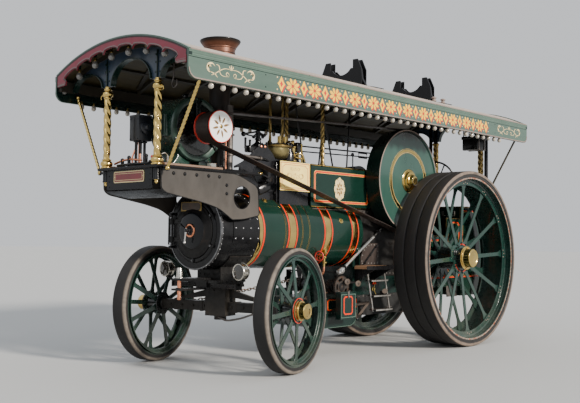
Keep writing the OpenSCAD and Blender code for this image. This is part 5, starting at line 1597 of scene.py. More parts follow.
# check valve with a red handwheel on the left side, and its pipe
p.add(tube(bend([(0.470, 0.330, 0.985), (0.470, 0.330, 1.060), (0.455, 0.345, 1.205)], 0.03, 4), 0.0135, 12), 0)
for z, r in ((1.020, 0.026), (1.075, 0.022), (1.125, 0.030), (1.180, 0.024)):
    p.add(lathe([(0.012, 0), (r - 0.004, 0), (r, 0.004), (r, 0.016), (r - 0.004, 0.020), (0.012, 0.020)], 6 if r == 0.030 else 20), 0, move(0.468, 0.337, z))
p.add(tube([(0.468, 0.340, 1.110), (0.545, 0.352, 1.104)], 0.013, 12), 0)
p.add(tube([(0.545, 0.352, 1.104), (0.585, 0.358, 1.101)], 0.007, 10), 0)
wheel = axis((0.585, 0.358, 1.101), (0.70, 0.378, 1.093))
p.add(torus(0.050, 0.0075, 32, 10), 1, wheel)
for k in range(5):
    p.add(tube([(0, 0, 0), (0.048 * cos(TAU * k / 5), 0.048 * sin(TAU * k / 5), 0)], 0.005, 8), 1, wheel)
p.add(cyl(0.014, 0.016, 14), 0, wheel @ move(0, 0, -0.006))
p.add(tube(bend([(0.470, 0.330, 0.99), (0.470, 0.330, 0.93), (0.46, 0.30, 0.89), (0.43, 0.24, 0.88)], 0.03, 4), 0.011, 10), 2)
p.add(tube(bend([(0.455, 0.345, 1.205), (0.450, 0.350, 1.26), (0.44, 0.372, 1.30)], 0.03, 4), 0.011, 10), 2)
# washout plugs and oil boxes
for x, d in ((1.30, 55), (0.22, 20), (1.30, 125), (0.22, 160)):
    a = round_boiler(x, d, 0.385)
    q = move(*a[:3]) @ Vector(a[3]).to_track_quat("Z", "Y").to_matrix().to_4x4()
    p.add(lathe([(0, 0), (0.030, 0), (0.032, 0.003), (0.030, 0.007), (0.016, 0.008), (0, 0.008)], 24), 0, q)
    p.add(hexbolt(0.012, 0.012, False), 0, q @ move(0, 0, 0.008))
p.make("boiler_fittings", "chassis", [BRASS, RED_PAINT, COPPER], "brass", 40)

# ---------- dynamo ----------
YOKE = surface("dynamo_green", (0.012, 0.046, 0.030), 0.26, coat=0.3, vary=0.22, vscale=7, rvar=0.1, bump=0.12, bscale=60, dust=(DUST, 0.25))
# paler green for the yoke's end faces and rounded edges: painted highlight; the fins use it too
YOKE_PALE_HIGHLIGHT = surface("dynamo_pale_painted_highlight", (0.030, 0.070, 0.050), 0.36, coat=0.2, vary=0.35, vscale=9, bump=0.1)
COIL = surface("dynamo_winding", (0.045, 0.018, 0.012), 0.5, vary=0.35, vscale=22, bump=0.4, bscale=160, bdist=0.002)
p = Piece()
m = move(DYN[0], 0, DYN[1]) @ ALONG_Y
# end faces and rounded edges in the paler green: painted highlight
p.add(lathe([(0.252, -0.166), (0.256, -0.170), (0.306, -0.170)], 128), 1, m)
p.add(lathe([(0.306, -0.170), (0.313, -0.162), (0.313, 0.140)], 128), 0, m)
p.add(lathe([(0.313, 0.140), (0.311, 0.150), (0.302, 0.159), (0.290, 0.160), (0.262, 0.160), (0.254, 0.156), (0.252, 0.150)], 128), 1, m)
p.add(lathe([(0.252, 0.150), (0.252, -0.166)], 128), 0, m)
# pole pieces with their windings
for k in range(4):
    a = radians(45 + 90 * k)
    q = m @ rz(a)
    p.add(bevelled(box(0.188, 0.2525, -0.062, 0.062, -0.110, 0.100), 0.006, 2), 0, q)
    p.add(bevelled(box(0.198, 0.245, -0.088, 0.088, -0.132, 0.122), 0.016, 3), 2, q)
    for z in (-0.08, 0.07):
        p.add(hexbolt(0.014, 0.010), 1, q @ move(0.313, 0, z) @ ry(pi / 2))
# dark covers that close the inside of the yoke: a dark sheet standing in for the shade inside it (painted shade)
p.add(lathe([(0.2515, 0.146), (0.235, 0.150), (0.062, 0.150)], 96), 5, m)
p.add(lathe([(0.062, -0.162), (0.235, -0.162), (0.2515, -0.158)], 96), 5, m)
# feet with bolts and bed
p.add(bevelled(box(DYN[0] - 0.262, DYN[0] + 0.262, -0.150, 0.140, 1.9305, 1.968), 0.006, 2), 0)
for s in (1, -1):
    leg = [(s * 0.262, 1.960), (s * 0.262, 1.985), (s * 0.215, 2.035), (s * 0.190, 2.100), (s * 0.150, 2.110), (s * 0.060, 2.030), (s * 0.060, 1.960)]
    p.add(bevelled(prism([(DYN[0] + x, z) for x, z in leg], 0.250), 0.005, 2), 0, on_xz(0.120))
    for y in (-0.10, 0.09):
        p.add(hexbolt(0.016, 0.014), 1, move(DYN[0] + s * 0.238, y, 1.985))
# end brackets: three arms, a hub and a ring of bolts
for y0, y1, yh, s in ((0.160, 0.176, 0.268, 1), (-0.170, -0.186, -0.300, -1)):
    ang = (90, 210, 330) if s > 0 else (90, 210, 330)
    for a in ang:
        q = m @ rz(radians(-a))
        arm = [(0.050, -0.040), (0.12, -0.026), (0.24, -0.030), (0.300, -0.052), (0.306, 0.0), (0.300, 0.052), (0.24, 0.030), (0.12, 0.026), (0.050, 0.040)]
        z0 = min(y0, y1)
        p.add(bevelled(prism(arm, 0.016), 0.004, 2), 3, q @ move(0, 0, z0))
        p.add(bevelled(box(0.06, 0.25, -0.006, 0.006, -0.016, 0.020), 0.003), 3, q @ move(0, 0, max(y0, y1) if s > 0 else z0 - 0.004))
        for t in (-0.030, 0.030):
            p.add(hexbolt(0.011, 0.010), 1, q @ move(0.284, t, y1) @ (Matrix.Identity(4) if s > 0 else rx(pi)))
    a, b = sorted((y0, yh))
    c = 0.006
    p.add(lathe([(0.031, a), (0.062 - c, a), (0.062, a + c), (0.062, a + (b - a) * 0.35), (0.054, a + (b - a) * 0.42), (0.054, b - 0.02), (0.060, b - 0.016), (0.060, b - c), (0.060 - c, b), (0.031, b)] if s > 0 else
                [(0.031, a), (0.060 - c, a), (0.060, a + c), (0.060, a + 0.016), (0.054, a + 0.02), (0.054, b - (b - a) * 0.42), (0.062, b - (b - a) * 0.35), (0.062, b - c), (0.062 - c, b), (0.031, b)], 40), 3, m)
    # oiler
    p.add(lathe([(0.012, 0), (0.016, 0.004), (0.016, 0.022), (0.010, 0.028), (0, 0.030)], 16), 4, move(DYN[0], (a + b) / 2, DYN[1] + 0.054))
# terminal box and fins on the front of the yoke; the fins take the same paler green as the painted highlight
p.add(bevelled(box(DYN[0] + 0.270, DYN[0] + 0.335, -0.06, 0.10, DYN[1] - 0.09, DYN[1] + 0.11), 0.008, 2), 0)
for y in (-0.03, 0.01, 0.05, 0.09):
    p.add(bevelled(box(DYN[0] + 0.300, DYN[0] + 0.352, y - 0.006, y + 0.006, DYN[1] - 0.08, DYN[1] + 0.115), 0.002), 1)
p.add(lathe([(0.020, 0.300), (0.034, 0.304), (0.036, 0.316), (0.028, 0.326), (0.028, 0.340), (0.034, 0.346), (0.030, 0.356), (0, 0.358)], 24), 3, move(DYN[0], -0.02, DYN[1]) @ move(0, 0, 0.0))
p.make("dynamo_frame_detail", "chassis", [YOKE, YOKE_PALE_HIGHLIGHT, COIL, HUB_BLACK, BRASS, HUB_BLACK], "green_paint", 36, over=["dynamo_frame"])

p = Piece()
m = move(DYN[0], 0, DYN[1]) @ ALONG_Y
p.add(lathe([(0, -0.330), (0.027, -0.330), (0.030, -0.327), (0.030, 0.335)], 32), 4, m)
p.add(lathe([(0.030, -0.130), (0.160, -0.130), (0.170, -0.122), (0.170, 0.112), (0.160, 0.120), (0.030, 0.120)], 64), 5, m)
for k in range(36):
    p.add(box(0.168, 0.1715, -0.004, 0.004, -0.118, 0.108), 6, m @ rz(TAU * k / 36))
p.add(lathe([(0.030, -0.225), (0.085, -0.225), (0.088, -0.220), (0.088, -0.150), (0.085, -0.145), (0.030, -0.145)], 48), 6, m)
# pulley: crowned leather-faced barrel, coral flanges, white face with gold strokes
p.add(lathe([(0.141, 0.285), (0.1415, 0.32), (0.1425, 0.383), (0.1415, 0.44), (0.141, 0.480)], 96), 2, m)
p.add(lathe([(0.030, 0.278), (0.147, 0.276), (0.1525, 0.2775), (0.153, 0.280), (0.153, 0.284), (0.1525, 0.2865), (0.141, 0.2885)], 96), 1, m)
p.add(lathe([(0.141, 0.4785), (0.1515, 0.480), (0.153, 0.482), (0.153, 0.4875), (0.1515, 0.490), (0.1445, 0.4905)], 96), 1, m)
p.add(lathe([(0.1445, 0.4900), (0.1415, 0.4888), (0.090, 0.4886), (0.034, 0.4892)], 96), 0, m)
p.add(lathe([(0.036, 0.4885), (0.030, 0.4915), (0.017, 0.4925), (0.015, 0.4905), (0, 0.4905)], 40), 0, m)
for k in range(8):
    long = k % 2 == 0
    pts = [(0.036, 0), (0.058, 0.0), (0.084, 0.0), (0.108 if long else 0.098, 0)]
    p.add(stroke(pts, [0.0110, 0.0250, 0.0190, 0.0050], 0.0009), 8, m @ move(0, 0, 0.4884) @ rz(TAU * k / 8 + 0.25))
p.add(lathe([(0, 0.4895), (0.020, 0.4895), (0.021, 0.4925), (0.012, 0.4970), (0, 0.498)], 24), 7, m)
for k in range(16):
    p.add(dome(0.0026, 0.0012, 6), 3, m @ rz(TAU * (k + 0.5) / 16) @ move(0.118, 0, 0.4886))
p.make("dynamo_armature_detail", "dynamo_armature", [WHITE, CORAL, BROWN_BARREL, GOLD_LINE, STEEL, DARK_RED, COPPER, BRASS_DULL, STAR_BROWN], "armature_red", 36, over=["dynamo_armature"])

# ---------- exciter ----------
EXC = surface("exciter_blue_black", (0.010, 0.013, 0.019), 0.42, coat=0.15, vary=0.35, vscale=7, rvar=0.12, bump=0.25, bscale=55)
p = Piece()
p.add(bevelled(box(2.500, 2.658, -0.272, -0.128, 2.198, 2.440), 0.008, 2), 0)
p.add(bevelled(box(2.500, 2.660, -0.275, -0.125, 2.426, 2.445), 0.005, 2), 0)
p.add(bevelled(box(2.650, 2.6605, -0.203, -0.197, 2.205, 2.424), 0.001), 1)
for y in (-0.258, -0.142):
    for z in (2.215, 2.405):
        p.add(hexbolt(0.006, 0.005), 1, move(2.656, y, z) @ ALONG_X)
for y in (-0.22, -0.16):
    p.add(bevelled(box(2.520, 2.640, y - 0.004, y + 0.004, 2.440, 2.450), 0.002), 0)
p.add(lathe([(0, -0.300), (0.040, -0.300), (0.056, -0.292), (0.060, -0.272)], 40), 0, move(2.580, 0, 2.320) @ ALONG_Y)
p.add(lathe([(0.060, -0.128), (0.056, -0.110), (0.034, -0.102), (0.030, -0.060), (0, -0.060)], 40), 0, move(2.580, 0, 2.320) @ ALONG_Y)
for x in (2.530, 2.630):
    p.add(tube([(x, -0.200, 1.9305), (x, -0.200, 2.199)], 0.014, 16), 1)
    for z in (1.9305, 2.186):
        p.add(lathe([(0.014, 0), (0.026, 0), (0.026, 0.010), (0.014, 0.012)], 20), 1, move(x, -0.200, z))
p.add(tube(bend([(2.56, -0.26, 2.20), (2.56, -0.30, 2.14), (2.60, -0.31, 2.03), (2.58, -0.28, 1.94)], 0.04, 5), 0.008, 8), 2)
p.add(tube([(2.58, -0.20, 2.200), (2.58, -0.20, 2.08)], 0.016, 12), 1)
p.make("exciter_detail", "chassis", [EXC, BLACK, COPPER], "black_paint", 36, over=["exciter"])

give("drive_belt", BELT)
p = Piece()
# laced joint on the belt's upper run
d = Vector((DYN[0] - FLY[0], 0, DYN[1] - FLY[1]))
L = d.length
al = atan2(d.z, d.x)
beta = acos((FLY_R - 0.141) / L)
n_up = Vector((cos(al + beta), 0, sin(al + beta)))
t_up = Vector((sin(al + beta), 0, -cos(al + beta)))
base = Vector((FLY[0], 0, FLY[1])) + n_up * (FLY_R + 0.0075)
for k in range(9):
    y = 0.352 + 0.0125 * k
    c = base + t_up * 1.9 + Vector((0, y, 0))
    p.add(tube([c - t_up * 0.018, c - t_up * 0.009 + n_up * 0.0015, c + t_up * 0.009 + n_up * 0.0015, c + t_up * 0.018], 0.0022, 6), 0)
p.make("belt_lacing", "chassis", [IRON], "belt_leather", 40)

# ---------- cylinder block and what stands on it ----------
give("cylinder_block", OILY)
give("safety_valves", BRASS)
p = Piece()
# front cover with its studs, and the flanges of the valve chest
AX = lambda x, y, z: move(x, y, z) @ ALONG_X
p.add(lathe([(0.150, 0), (0.188, 0), (0.190, 0.003), (0.190, 0.016), (0.186, 0.020), (0.130, 0.020), (0.118, 0.028), (0.060, 0.032), (0, 0.032)], 64), 0, AX(1.178, 0, 1.93))
for k in range(12):
    p.add(hexbolt(0.013, 0.012), 1, AX(1.178, 0, 1.93) @ rz(TAU * k / 12) @ move(0.162, 0, 0.020))
p.add(bevelled(box(1.118, 1.142, -0.235, 0.235, 1.62, 2.085), 0.006, 2), 0)
for y in (-0.215, 0.215):
    for z in (1.66, 1.76, 1.86, 1.96, 2.05):
        p.add(hexbolt(0.012, 0.011), 1, move(1.142, y, z) @ ALONG_X)
# round-topped jacket with ribs, up to the bowl
p.add(lathe([(0.150, 0.0), (0.158, 0.004), (0.158, 0.022), (0.150, 0.026)], 64), 0, AX(0.70, 0, 2.11))
p.add(lathe([(0.150, 0.0), (0.158, 0.004), (0.158, 0.022), (0.150, 0.026)], 64), 0, AX(1.05, 0, 2.11))
p.add(lathe([(0, -0.006), (0.120, -0.006), (0.150, 0.0)], 64), 0, AX(0.69, 0, 2.11))
# shoulder that joins the cylinder with the bracket ahead of it
sh = [(1.120, 1.78), (1.120, 2.10), (1.16, 2.16), (1.22, 2.215), (1.30, 2.245), (1.40, 2.225), (1.47, 2.16), (1.54, 2.10), (1.62, 2.05), (1.725, 2.005), (1.722, 1.985), (1.655, 2.000),
      (1.665, 1.905), (1.64, 1.860), (1.52, 1.835), (1.40, 1.800), (1.26, 1.770)]
big = [(1.345 + 0.108 * cos(a) * (1 + 0.10 * sin(3 * a)), 1.943 + 0.102 * sin(a) * (1 - 0.08 * cos(2 * a))) for a in [TAU * k / 40 for k in range(40)]]
small = [(1.590 + 0.050 * cos(TAU * k / 28), 1.9425 + 0.031 * sin(TAU * k / 28)) for k in range(28)]
for s in (1,):
    m = Matrix.Identity(4) if s > 0 else MIRROR_Y
    p.add(prism(smooth_outline(sh, [0.0, 0.0, 0.04, 0.04, 0.04, 0.04, 0.03, 0.03, 0.03, 0.006, 0.004, 0.01, 0.03, 0.02, 0.04, 0.04, 0.02]), 0.012, [big, small]), 0, m @ on_xz(0.206))
    p.add(tube([(x, 0.206, z) for x, z in big], 0.0045, 6, True), 0, m)
    p.add(tube([(x, 0.206, z) for x, z in small], 0.0045, 6, True), 0, m)
# saddle pad below the bracket, on the barrel
p.add(bevelled(box(1.14, 1.42, -0.20, 0.20, 1.665, 1.800), 0.020, 3), 0)
# lever with a brass end in the big hole
p.add(tube([(1.385, 0.215, 1.952), (1.30, 0.222, 1.930), (1.235, 0.228, 1.905)], [0.010, 0.009, 0.012], 12), 0)
p.add(ball(0.019, 18, 10), 3, move(1.375, 0.222, 1.950))
p.add(ball(0.011, 14, 8), 3, move(1.352, 0.226, 1.958))
# governor: column, arms and balls
p.add(lathe([(0, 2.235), (0.055, 2.235), (0.058, 2.240), (0.050, 2.262), (0.032, 2.275), (0.028, 2.300), (0.036, 2.306), (0.036, 2.318), (0.024, 2.326), (0.020, 2.392), (0.026, 2.398), (0.014, 2.415), (0, 2.416)], 32), 0, move(1.335, 0.150, 0))
for a, l, dz in ((20, 0.260, -0.035), (200, 0.115, -0.012), (110, 0.100, -0.04), (290, 0.10, -0.04)):
    c, s_ = cos(radians(a)), sin(radians(a))
    e = (1.335 + l * c, 0.150 + l * s_ * 0.35, 2.375 + dz)
    p.add(tube([(1.335, 0.150, 2.392), (1.335 + l * 0.5 * c, 0.150 + l * 0.5 * s_ * 0.35, 2.380 + dz * 0.4), e], [0.010, 0.009, 0.011], 10), 0)
    p.add(ball(0.026 if l > 0.2 else 0.018, 18, 10), 0, move(*e))
p.add(tube([(1.33, 0.15, 2.33), (1.46, 0.17, 2.335), (1.58, 0.18, 2.342)], 0.008, 10), 0)
p.add(bevelled(box(1.25, 1.38, 0.095, 0.205, 2.20, 2.262), 0.014, 2), 0)
p.add(bevelled(box(1.395, 1.50, 0.110, 0.195, 2.165, 2.235), 0.012, 2), 0)
for x, z in ((1.29, 2.232), (1.345, 2.232)):
    p.add(lathe([(0, 0), (0.014, 0), (0.014, 0.008), (0.008, 0.012), (0, 0.013)], 16), 4, move(x, 0.206, z) @ ALONG_Y)
for x, y, h in ((1.455, 0.15, 0.035), (1.53, 0.16, 0.05), (1.205, 0.15, 0.03)):
    p.add(cyl(0.012, h + 0.05, 12), 0, move(x, y, 2.20))
    p.add(ball(0.014, 14, 8), 0, move(x, y, 2.25 + h))
# brown pipe ahead of the cylinder
p.add(tube([(1.62, 0.232, 2.113), (1.42, 0.232, 2.106), (1.395, 0.232, 2.105)], 0.0155, 14), 2)
p.add(lathe([(0.015, 0), (0.024, 0), (0.024, 0.022), (0.015, 0.022)], 6), 2, AX(1.375, 0.232, 2.105))
p.add(tube([(1.39, 0.232, 2.105), (1.30, 0.225, 2.10), (1.24, 0.21, 2.09)], 0.010, 10), 0)
# rounded horn between cylinder and perch, seen through the bracket
p.add(lathe([(0.064, 0), (0.070, 0.004), (0.070, 0.150), (0.060, 0.165), (0, 0.170)], 32), 0, move(1.275, 0.16, 1.815) @ ry(0.35) @ ALONG_X @ move(0, 0, -0.05))
# the olive bowl, its flange and studs
p.add(lathe([(0, 2.120), (0.060, 2.122), (0.100, 2.134), (0.128, 2.158), (0.141, 2.190), (0.144, 2.240), (0.144, 2.256)], 56), 5, move(1.000, 0.09, 0))
p.add(lathe([(0.144, 2.252), (0.166, 2.252), (0.168, 2.255), (0.168, 2.272), (0.164, 2.276), (0.150, 2.276), (0.120, 2.290), (0.060, 2.300), (0, 2.302)], 56), 6, move(1.000, 0.09, 0))
for k in range(14):
    p.add(hexbolt(0.009, 0.018), 0, move(1.000, 0.09, 2.276) @ rz(TAU * k / 14) @ move(0.154, 0, 0))
# black ornamental casting between bowl and valve
p.add(lathe([(0.060, 2.12), (0.062, 2.20), (0.045, 2.235), (0.045, 2.26), (0.060, 2.27), (0.055, 2.30), (0.020, 2.32), (0, 2.32)], 28), 0, move(0.865, 0.15, 0))
# brass safety valve columns with levers and springs
for x, y, h in ((0.800, 0.150, 0.0), (0.745, 0.050, 0.01)):
    q = move(x, y, h) @ Matrix.Diagonal((1.35, 1.35, 1, 1))
    p.add(lathe([(0, 2.115), (0.034, 2.118), (0.034, 2.132), (0.022, 2.140), (0.020, 2.165), (0.028, 2.170), (0.028, 2.182), (0.022, 2.188), (0.024, 2.262), (0.030, 2.268), (0.030, 2.280), (0.020, 2.290),
                 (0.012, 2.300), (0.012, 2.330), (0.016, 2.336), (0.009, 2.348), (0, 2.349)], 28), 3, q)
    p.add(tube([(x, y, 2.325), (x - 0.10, y, 2.318), (x - 0.16, y, 2.314)], 0.007, 10), 3)
    p.add(tube([(x - 0.145, y, 2.314), (x - 0.150, y, 2.20), (x - 0.150, y, 2.12)], 0.010, 12), 3)
p.add(tube([(0.806, 0.170, 2.200), (0.872, 0.190, 2.198)], 0.010, 12), 3)
p.add(ball(0.016, 14, 8), 3, move(0.880, 0.192, 2.198))
p.add(tube([(0.800, 0.19, 2.165), (0.735, 0.21, 2.150)], 0.011, 12), 3)
p.add(tube(bend([(0.80, 0.16, 2.175), (0.77, 0.20, 2.21), (0.72, 0.22, 2.20), (0.69, 0.23, 2.12)], 0.03, 5), 0.012, 12), 3)
# whistle and displacement lubricator
p.add(lathe([(0.010, 2.10), (0.010, 2.28), (0.020, 2.285), (0.020, 2.345), (0.016, 2.355), (0, 2.36)], 20), 3, move(0.905, -0.10, 0))
p.add(lathe([(0.010, 2.10), (0.026, 2.13), (0.026, 2.19), (0.016, 2.20), (0.016, 2.215), (0, 2.22)], 20), 3, move(1.09, 0.10, 0))
# black fittings behind the valve
p.add(bevelled(box(0.705, 0.765, 0.060, 0.190, 2.225, 2.330), 0.012, 2), 0)
p.add(bevelled(box(0.66, 1.12, -0.262, 0.262, 2.082, 2.104), 0.006, 2), 0)
for x in (0.70, 0.80, 0.90, 1.00, 1.08):
    for s in (1, -1):
        p.add(hexbolt(0.010, 0.009), 1, move(x, s * 0.244, 2.104))
# two rods from the cylinder to the footplate
p.add(tube([(0.715, 0.130, 2.300), (-1.90, 0.130, 2.352)], 0.0085, 10), 0)
p.add(tube([(0.700, 0.110, 2.245), (-0.52, 0.110, 2.275), (-1.90, 0.110, 2.290)], 0.0070, 10), 0)
p.add(bevelled(box(-1.92, -1.88, 0.09, 0.15, 2.05, 2.37), 0.004), 0)
for x in (-0.30, -1.10):
    p.add(tube([(x, 0.120, 2.30), (x, 0.120, 2.052 if x > -0.43 else 2.15)], 0.008, 10), 0)
    p.add(ring(0.0, 0.020, 0, 0.010, 16), 0, move(x, 0.12, 2.285) @ ALONG_X)
p.add(tube([(-0.44, 0.10, 2.316), (-0.60, 0.10, 2.318), (-0.60, 0.10, 2.262), (-0.44, 0.10, 2.262)], 0.008, 10, True), 0)
p.make("cylinder_fittings", "chassis", [OILY, BLACK, IRON, BRASS, COPPER, BRASS_OLIVE, BRASS_DULL], "black_paint", 36)

# ---------- motion covers, cream board ----------
give("motion_covers", GREEN)
p = Piece()
for s in (1, -1):
    m = Matrix.Identity(4) if s > 0 else MIRROR_Y
    # lining with cut corners
    def cut(x0, x1, z0, z1, c):
        return [(x0 + c, z0), (x1 - c, z0), (x1, z0 + c), (x1, z1 - c), (x1 - c, z1), (x0 + c, z1), (x0, z1 - c), (x0, z0 + c)]
    p.add(prism(cut(-0.385, 0.585, 1.690, 2.030, 0.022), 0.0012, [cut(-0.367, 0.567, 1.708, 2.012, 0.017)]), 1, m @ on_xz(0.2812))
    p.add(prism(cut(-0.390, 0.590, 1.685, 2.035, 0.022), 0.0008, [cut(-0.385, 0.585, 1.690, 2.030, 0.022)]), 4, m @ on_xz(0.2808))
    p.add(prism(cut(-0.367, 0.567, 1.708, 2.012, 0.017), 0.0008, [cut(-0.362, 0.562, 1.713, 2.007, 0.016)]), 4, m @ on_xz(0.2808))
    # brass beads above and below
    p.add(tube([(-0.430, 0.276, 2.0905), (0.640, 0.276, 2.0905)], 0.0105, 10), 2, m)
    p.add(box(-0.43, 0.64, 0.262, 0.283, 2.052, 2.058), 3, m)
    p.add(tube([(-0.430, 0.281, 1.640), (0.640, 0.281, 1.640)], 0.009, 10), 2, m)
    p.add(tube([(-0.30, 0.300, 1.612), (0.640, 0.300, 1.612)], 0.006, 8), 5, m)
    for x in (-0.25, 0.15, 0.55):
        p.add(tube([(x, 0.270, 1.630), (x, 0.300, 1.612)], 0.005, 8), 5, m)
    # rosette in pale gold, in layers
    c = (0.145, 1.848)

    def petal_ring(n, r0, r1, w, ph=0.0, sx=0.62):
        out = []
        for k in range(n):
            a = TAU * k / n + ph
            tip = (c[0] + r1 * cos(a) * sx, c[1] + r1 * sin(a))
            l = (c[0] + (r0 + (r1 - r0) * 0.55) * cos(a + w) * sx, c[1] + (r0 + (r1 - r0) * 0.55) * sin(a + w))
            r = (c[0] + (r0 + (r1 - r0) * 0.55) * cos(a - w) * sx, c[1] + (r0 + (r1 - r0) * 0.55) * sin(a - w))
            b = (c[0] + r0 * cos(a) * sx, c[1] + r0 * sin(a))
            out.append([b, r, tip, l])
        return out
    edge = []
    for k in range(96):
        a = TAU * k / 96
        rr = 0.124 * (0.74 + 0.26 * abs(cos(4 * a)) ** 0.55)
        edge.append((c[0] + rr * cos(a) * 0.78, c[1] + rr * sin(a) * 1.06))
    p.add(prism(edge, 0.0014), 0, m @ on_xz(0.2814))
    for q in petal_ring(8, 0.040, 0.128, 0.20, 0.39, 0.74):
        p.add(prism(q, 0.0014), 0, m @ on_xz(0.2826))
    for q in petal_ring(8, 0.020, 0.082, 0.34, 0.0, 0.74):
        p.add(prism(q, 0.0012), 6, m @ on_xz(0.2832))
    for q in petal_ring(6, 0.010, 0.050, 0.36, 0.26, 0.80):
        p.add(prism(q, 0.0012), 0, m @ on_xz(0.2840))
    p.add(dome(0.015, 0.006, 16), 6, m @ move(c[0], 0.2838, c[1]) @ ALONG_Y)
    for k in range(8):
        a = TAU * k / 8 + 0.39
        p.add(dome(0.006, 0.003, 8), 6, m @ move(c[0] + 0.100 * cos(a) * 0.76, 0.2826, c[1] + 0.100 * sin(a)) @ ALONG_Y)
ROSE = surface("rosette_gold", (0.72, 0.56, 0.26), 0.34, coat=0.2, vary=0.18, vscale=14, bump=0.05)
ROSE_DARK = surface("rosette_shade", (0.26, 0.13, 0.03), 0.4, vary=0.2, vscale=14, bump=0.05)
p.make("cover_painting", "chassis", [ROSE, ORANGE, BRASS, GREEN_DARK, GOLD_LINE, IRON, ROSE_DARK], "green_paint", 34)

p = Piece()
for s in (1, -1):
    m = Matrix.Identity(4) if s > 0 else MIRROR_Y
    p.add(bevelled(prism([(0.651, 1.790), (1.129, 1.790), (1.129, 2.100), (0.651, 2.100)], 0.010), 0.002), 0, m @ on_xz(0.2745))
    outer = rounded(0.662, 1.118, 1.801, 2.089, 0.012)
    inner = rounded(0.668, 1.112, 1.807, 2.083, 0.010)
    p.add(prism(outer, 0.0008, [inner]), 1, m @ on_xz(0.2753))
    # border with notched corners
    o = [(0.690, 1.845), (0.715, 1.838), (0.722, 1.822), (1.058, 1.822), (1.065, 1.838), (1.090, 1.845), (1.090, 2.045), (1.065, 2.052), (1.058, 2.068), (0.722, 2.068), (0.715, 2.052), (0.690, 2.045)]
    cx, cz = 0.89, 1.945
    i_ = [(cx + (x - cx) * 0.978, cz + (z - cz) * 0.962) for x, z in o]
    p.add(prism(o, 0.0008, [i_]), 1, m @ on_xz(0.2753))
    # plain flourish in the middle of the board
    put_strokes(p, flourish(0.26, 0.075), m @ move(0.89, 0, 1.945) @ on_xz(0.2752), 2, 0.0008)
    put_strokes(p, flourish(0.15, 0.038), m @ move(0.89, 0, 2.022) @ on_xz(0.2752), 2, 0.0008)
    put_strokes(p, flourish(0.15, 0.038), m @ move(0.89, 0, 1.868) @ on_xz(0.2752), 2, 0.0008)
    for x in (0.668, 1.112):
        for z in (1.806, 2.084):
            p.add(dome(0.005, 0.003, 8), 3, m @ move(x, 0.2748, z) @ ALONG_Y)
p.make("side_panels", "chassis", [CREAM_BOARD, SCROLL_RED, GOLD_LINE, BRASS_DULL], "board_wood", 34)

# ---------- flywheel and crankshaft ----------
p = Piece()
m = move(FLY[0], 0, FLY[1]) @ ALONG_Y
Y0, Y1 = 0.295, 0.490
p.add(lathe([(FLY_R - 0.036, Y0), (FLY_R - 0.004, Y0), (FLY_R, Y0 + 0.004), (FLY_R + 0.0006, (Y0 + Y1) / 2), (FLY_R, Y1 - 0.004), (FLY_R - 0.003, Y1 - 0.0005)], 176), 1, m)
p.add(lathe([(FLY_R - 0.003, Y1 - 0.0005), (FLY_R - 0.015, Y1), (FLY_R - 0.018, Y1)], 176), 2, m)
p.add(lathe([(FLY_R - 0.018, Y1), (FLY_R - 0.034, Y1), (FLY_R - 0.038, Y1 - 0.004), (FLY_R - 0.044, 0.4765), (FLY_R - 0.056, 0.4745), (0.20, 0.4745), (0.135, 0.480), (0.118, 0.487)], 176), 0, m)
p.add(lathe([(0.060, 0.452), (0.12, 0.446), (FLY_R - 0.060, 0.4495), (FLY_R - 0.042, 0.4475), (FLY_R - 0.036, 0.440), (FLY_R - 0.036, Y0)], 128), 1, m)
p.add(lathe([(0.0999, 0.300), (0.0999, 0.448)], 64), 1, m)
p.add(lathe([(0.052, 0.300), (0.0999, 0.300)], 64), 1, m)
# brass rings on the disc
p.add(lathe([(0.3790, 0.4742), (0.3790, 0.4772), (0.3650, 0.4782), (0.3515, 0.4772), (0.3515, 0.4742)], 144), 3, m)
p.add(lathe([(0.3460, 0.4742), (0.3460, 0.4752), (0.3410, 0.4752), (0.3410, 0.4742)], 144), 4, m)
p.add(lathe([(0.3900, 0.4742), (0.3900, 0.4752), (0.3865, 0.4752), (0.3865, 0.4742)], 144), 4, m)
# stepped brass boss
p.add(lathe([(0.142, 0.4785), (0.142, 0.4870), (0.137, 0.4900), (0.126, 0.4905), (0.122, 0.4935), (0.1125, 0.4945), (0.1120, 0.5120), (0.108, 0.5190), (0.100, 0.5200), (0.068, 0.5202)], 80), 3, m)
p.add(lathe([(0.0720, 0.5190), (0.0715, 0.5230), (0.066, 0.5265), (0.0625, 0.5280), (0.0620, 0.5600), (0.0585, 0.5690), (0.050, 0.5735), (0.030, 0.5748), (0, 0.5750)], 64), 3, m)
p.make("flywheel_detail", "flywheel", [FLY_GREEN, GREEN_DARK, TAN_LINE, BRASS, GOLD_LINE, STEEL], "green_paint", 30, over=["flywheel"])
give("crankshaft", STEEL)


# ---------- firebox, backhead, hornplates ----------
give("firebox", GREEN_DARK)
give("firehole_door", SOOT)
give("hornplates", BLACK_DIRTY)
give("ashpan", SOOT)
give("rear_axle", IRON)
BX = -1.1505                      # face of the backhead
p = Piece()
# stays and the round edge of the backhead
spots = []
for z in [0.70 + 0.10 * k for k in range(11)]:
    for y in (-0.21, -0.14, 0.14, 0.21):
        if z > 1.05 or abs(y) > 0.15:
            spots.append((BX, y, z, (-1, 0, 0)))
rivets(p, [q for q in spots if not (1.05 < q[2] < 1.35 and abs(q[1]) < 0.2)], 0.010, 0)
rivets(p, [(BX, 0.225 * cos(radians(a)), 1.600 + 0.225 * sin(radians(a)), (-1, 0, 0)) for a in range(5, 180, 10)], 0.009, 0)
# firehole ring
p.add(inset_frame(rounded(-0.150, 0.132, 1.068, 1.332, 0.02), rounded(-0.118, 0.118, 1.102, 1.298, 0.02), 0.006), 0, move(BX - 0.0065, 0, 0) @ on_yz(0))
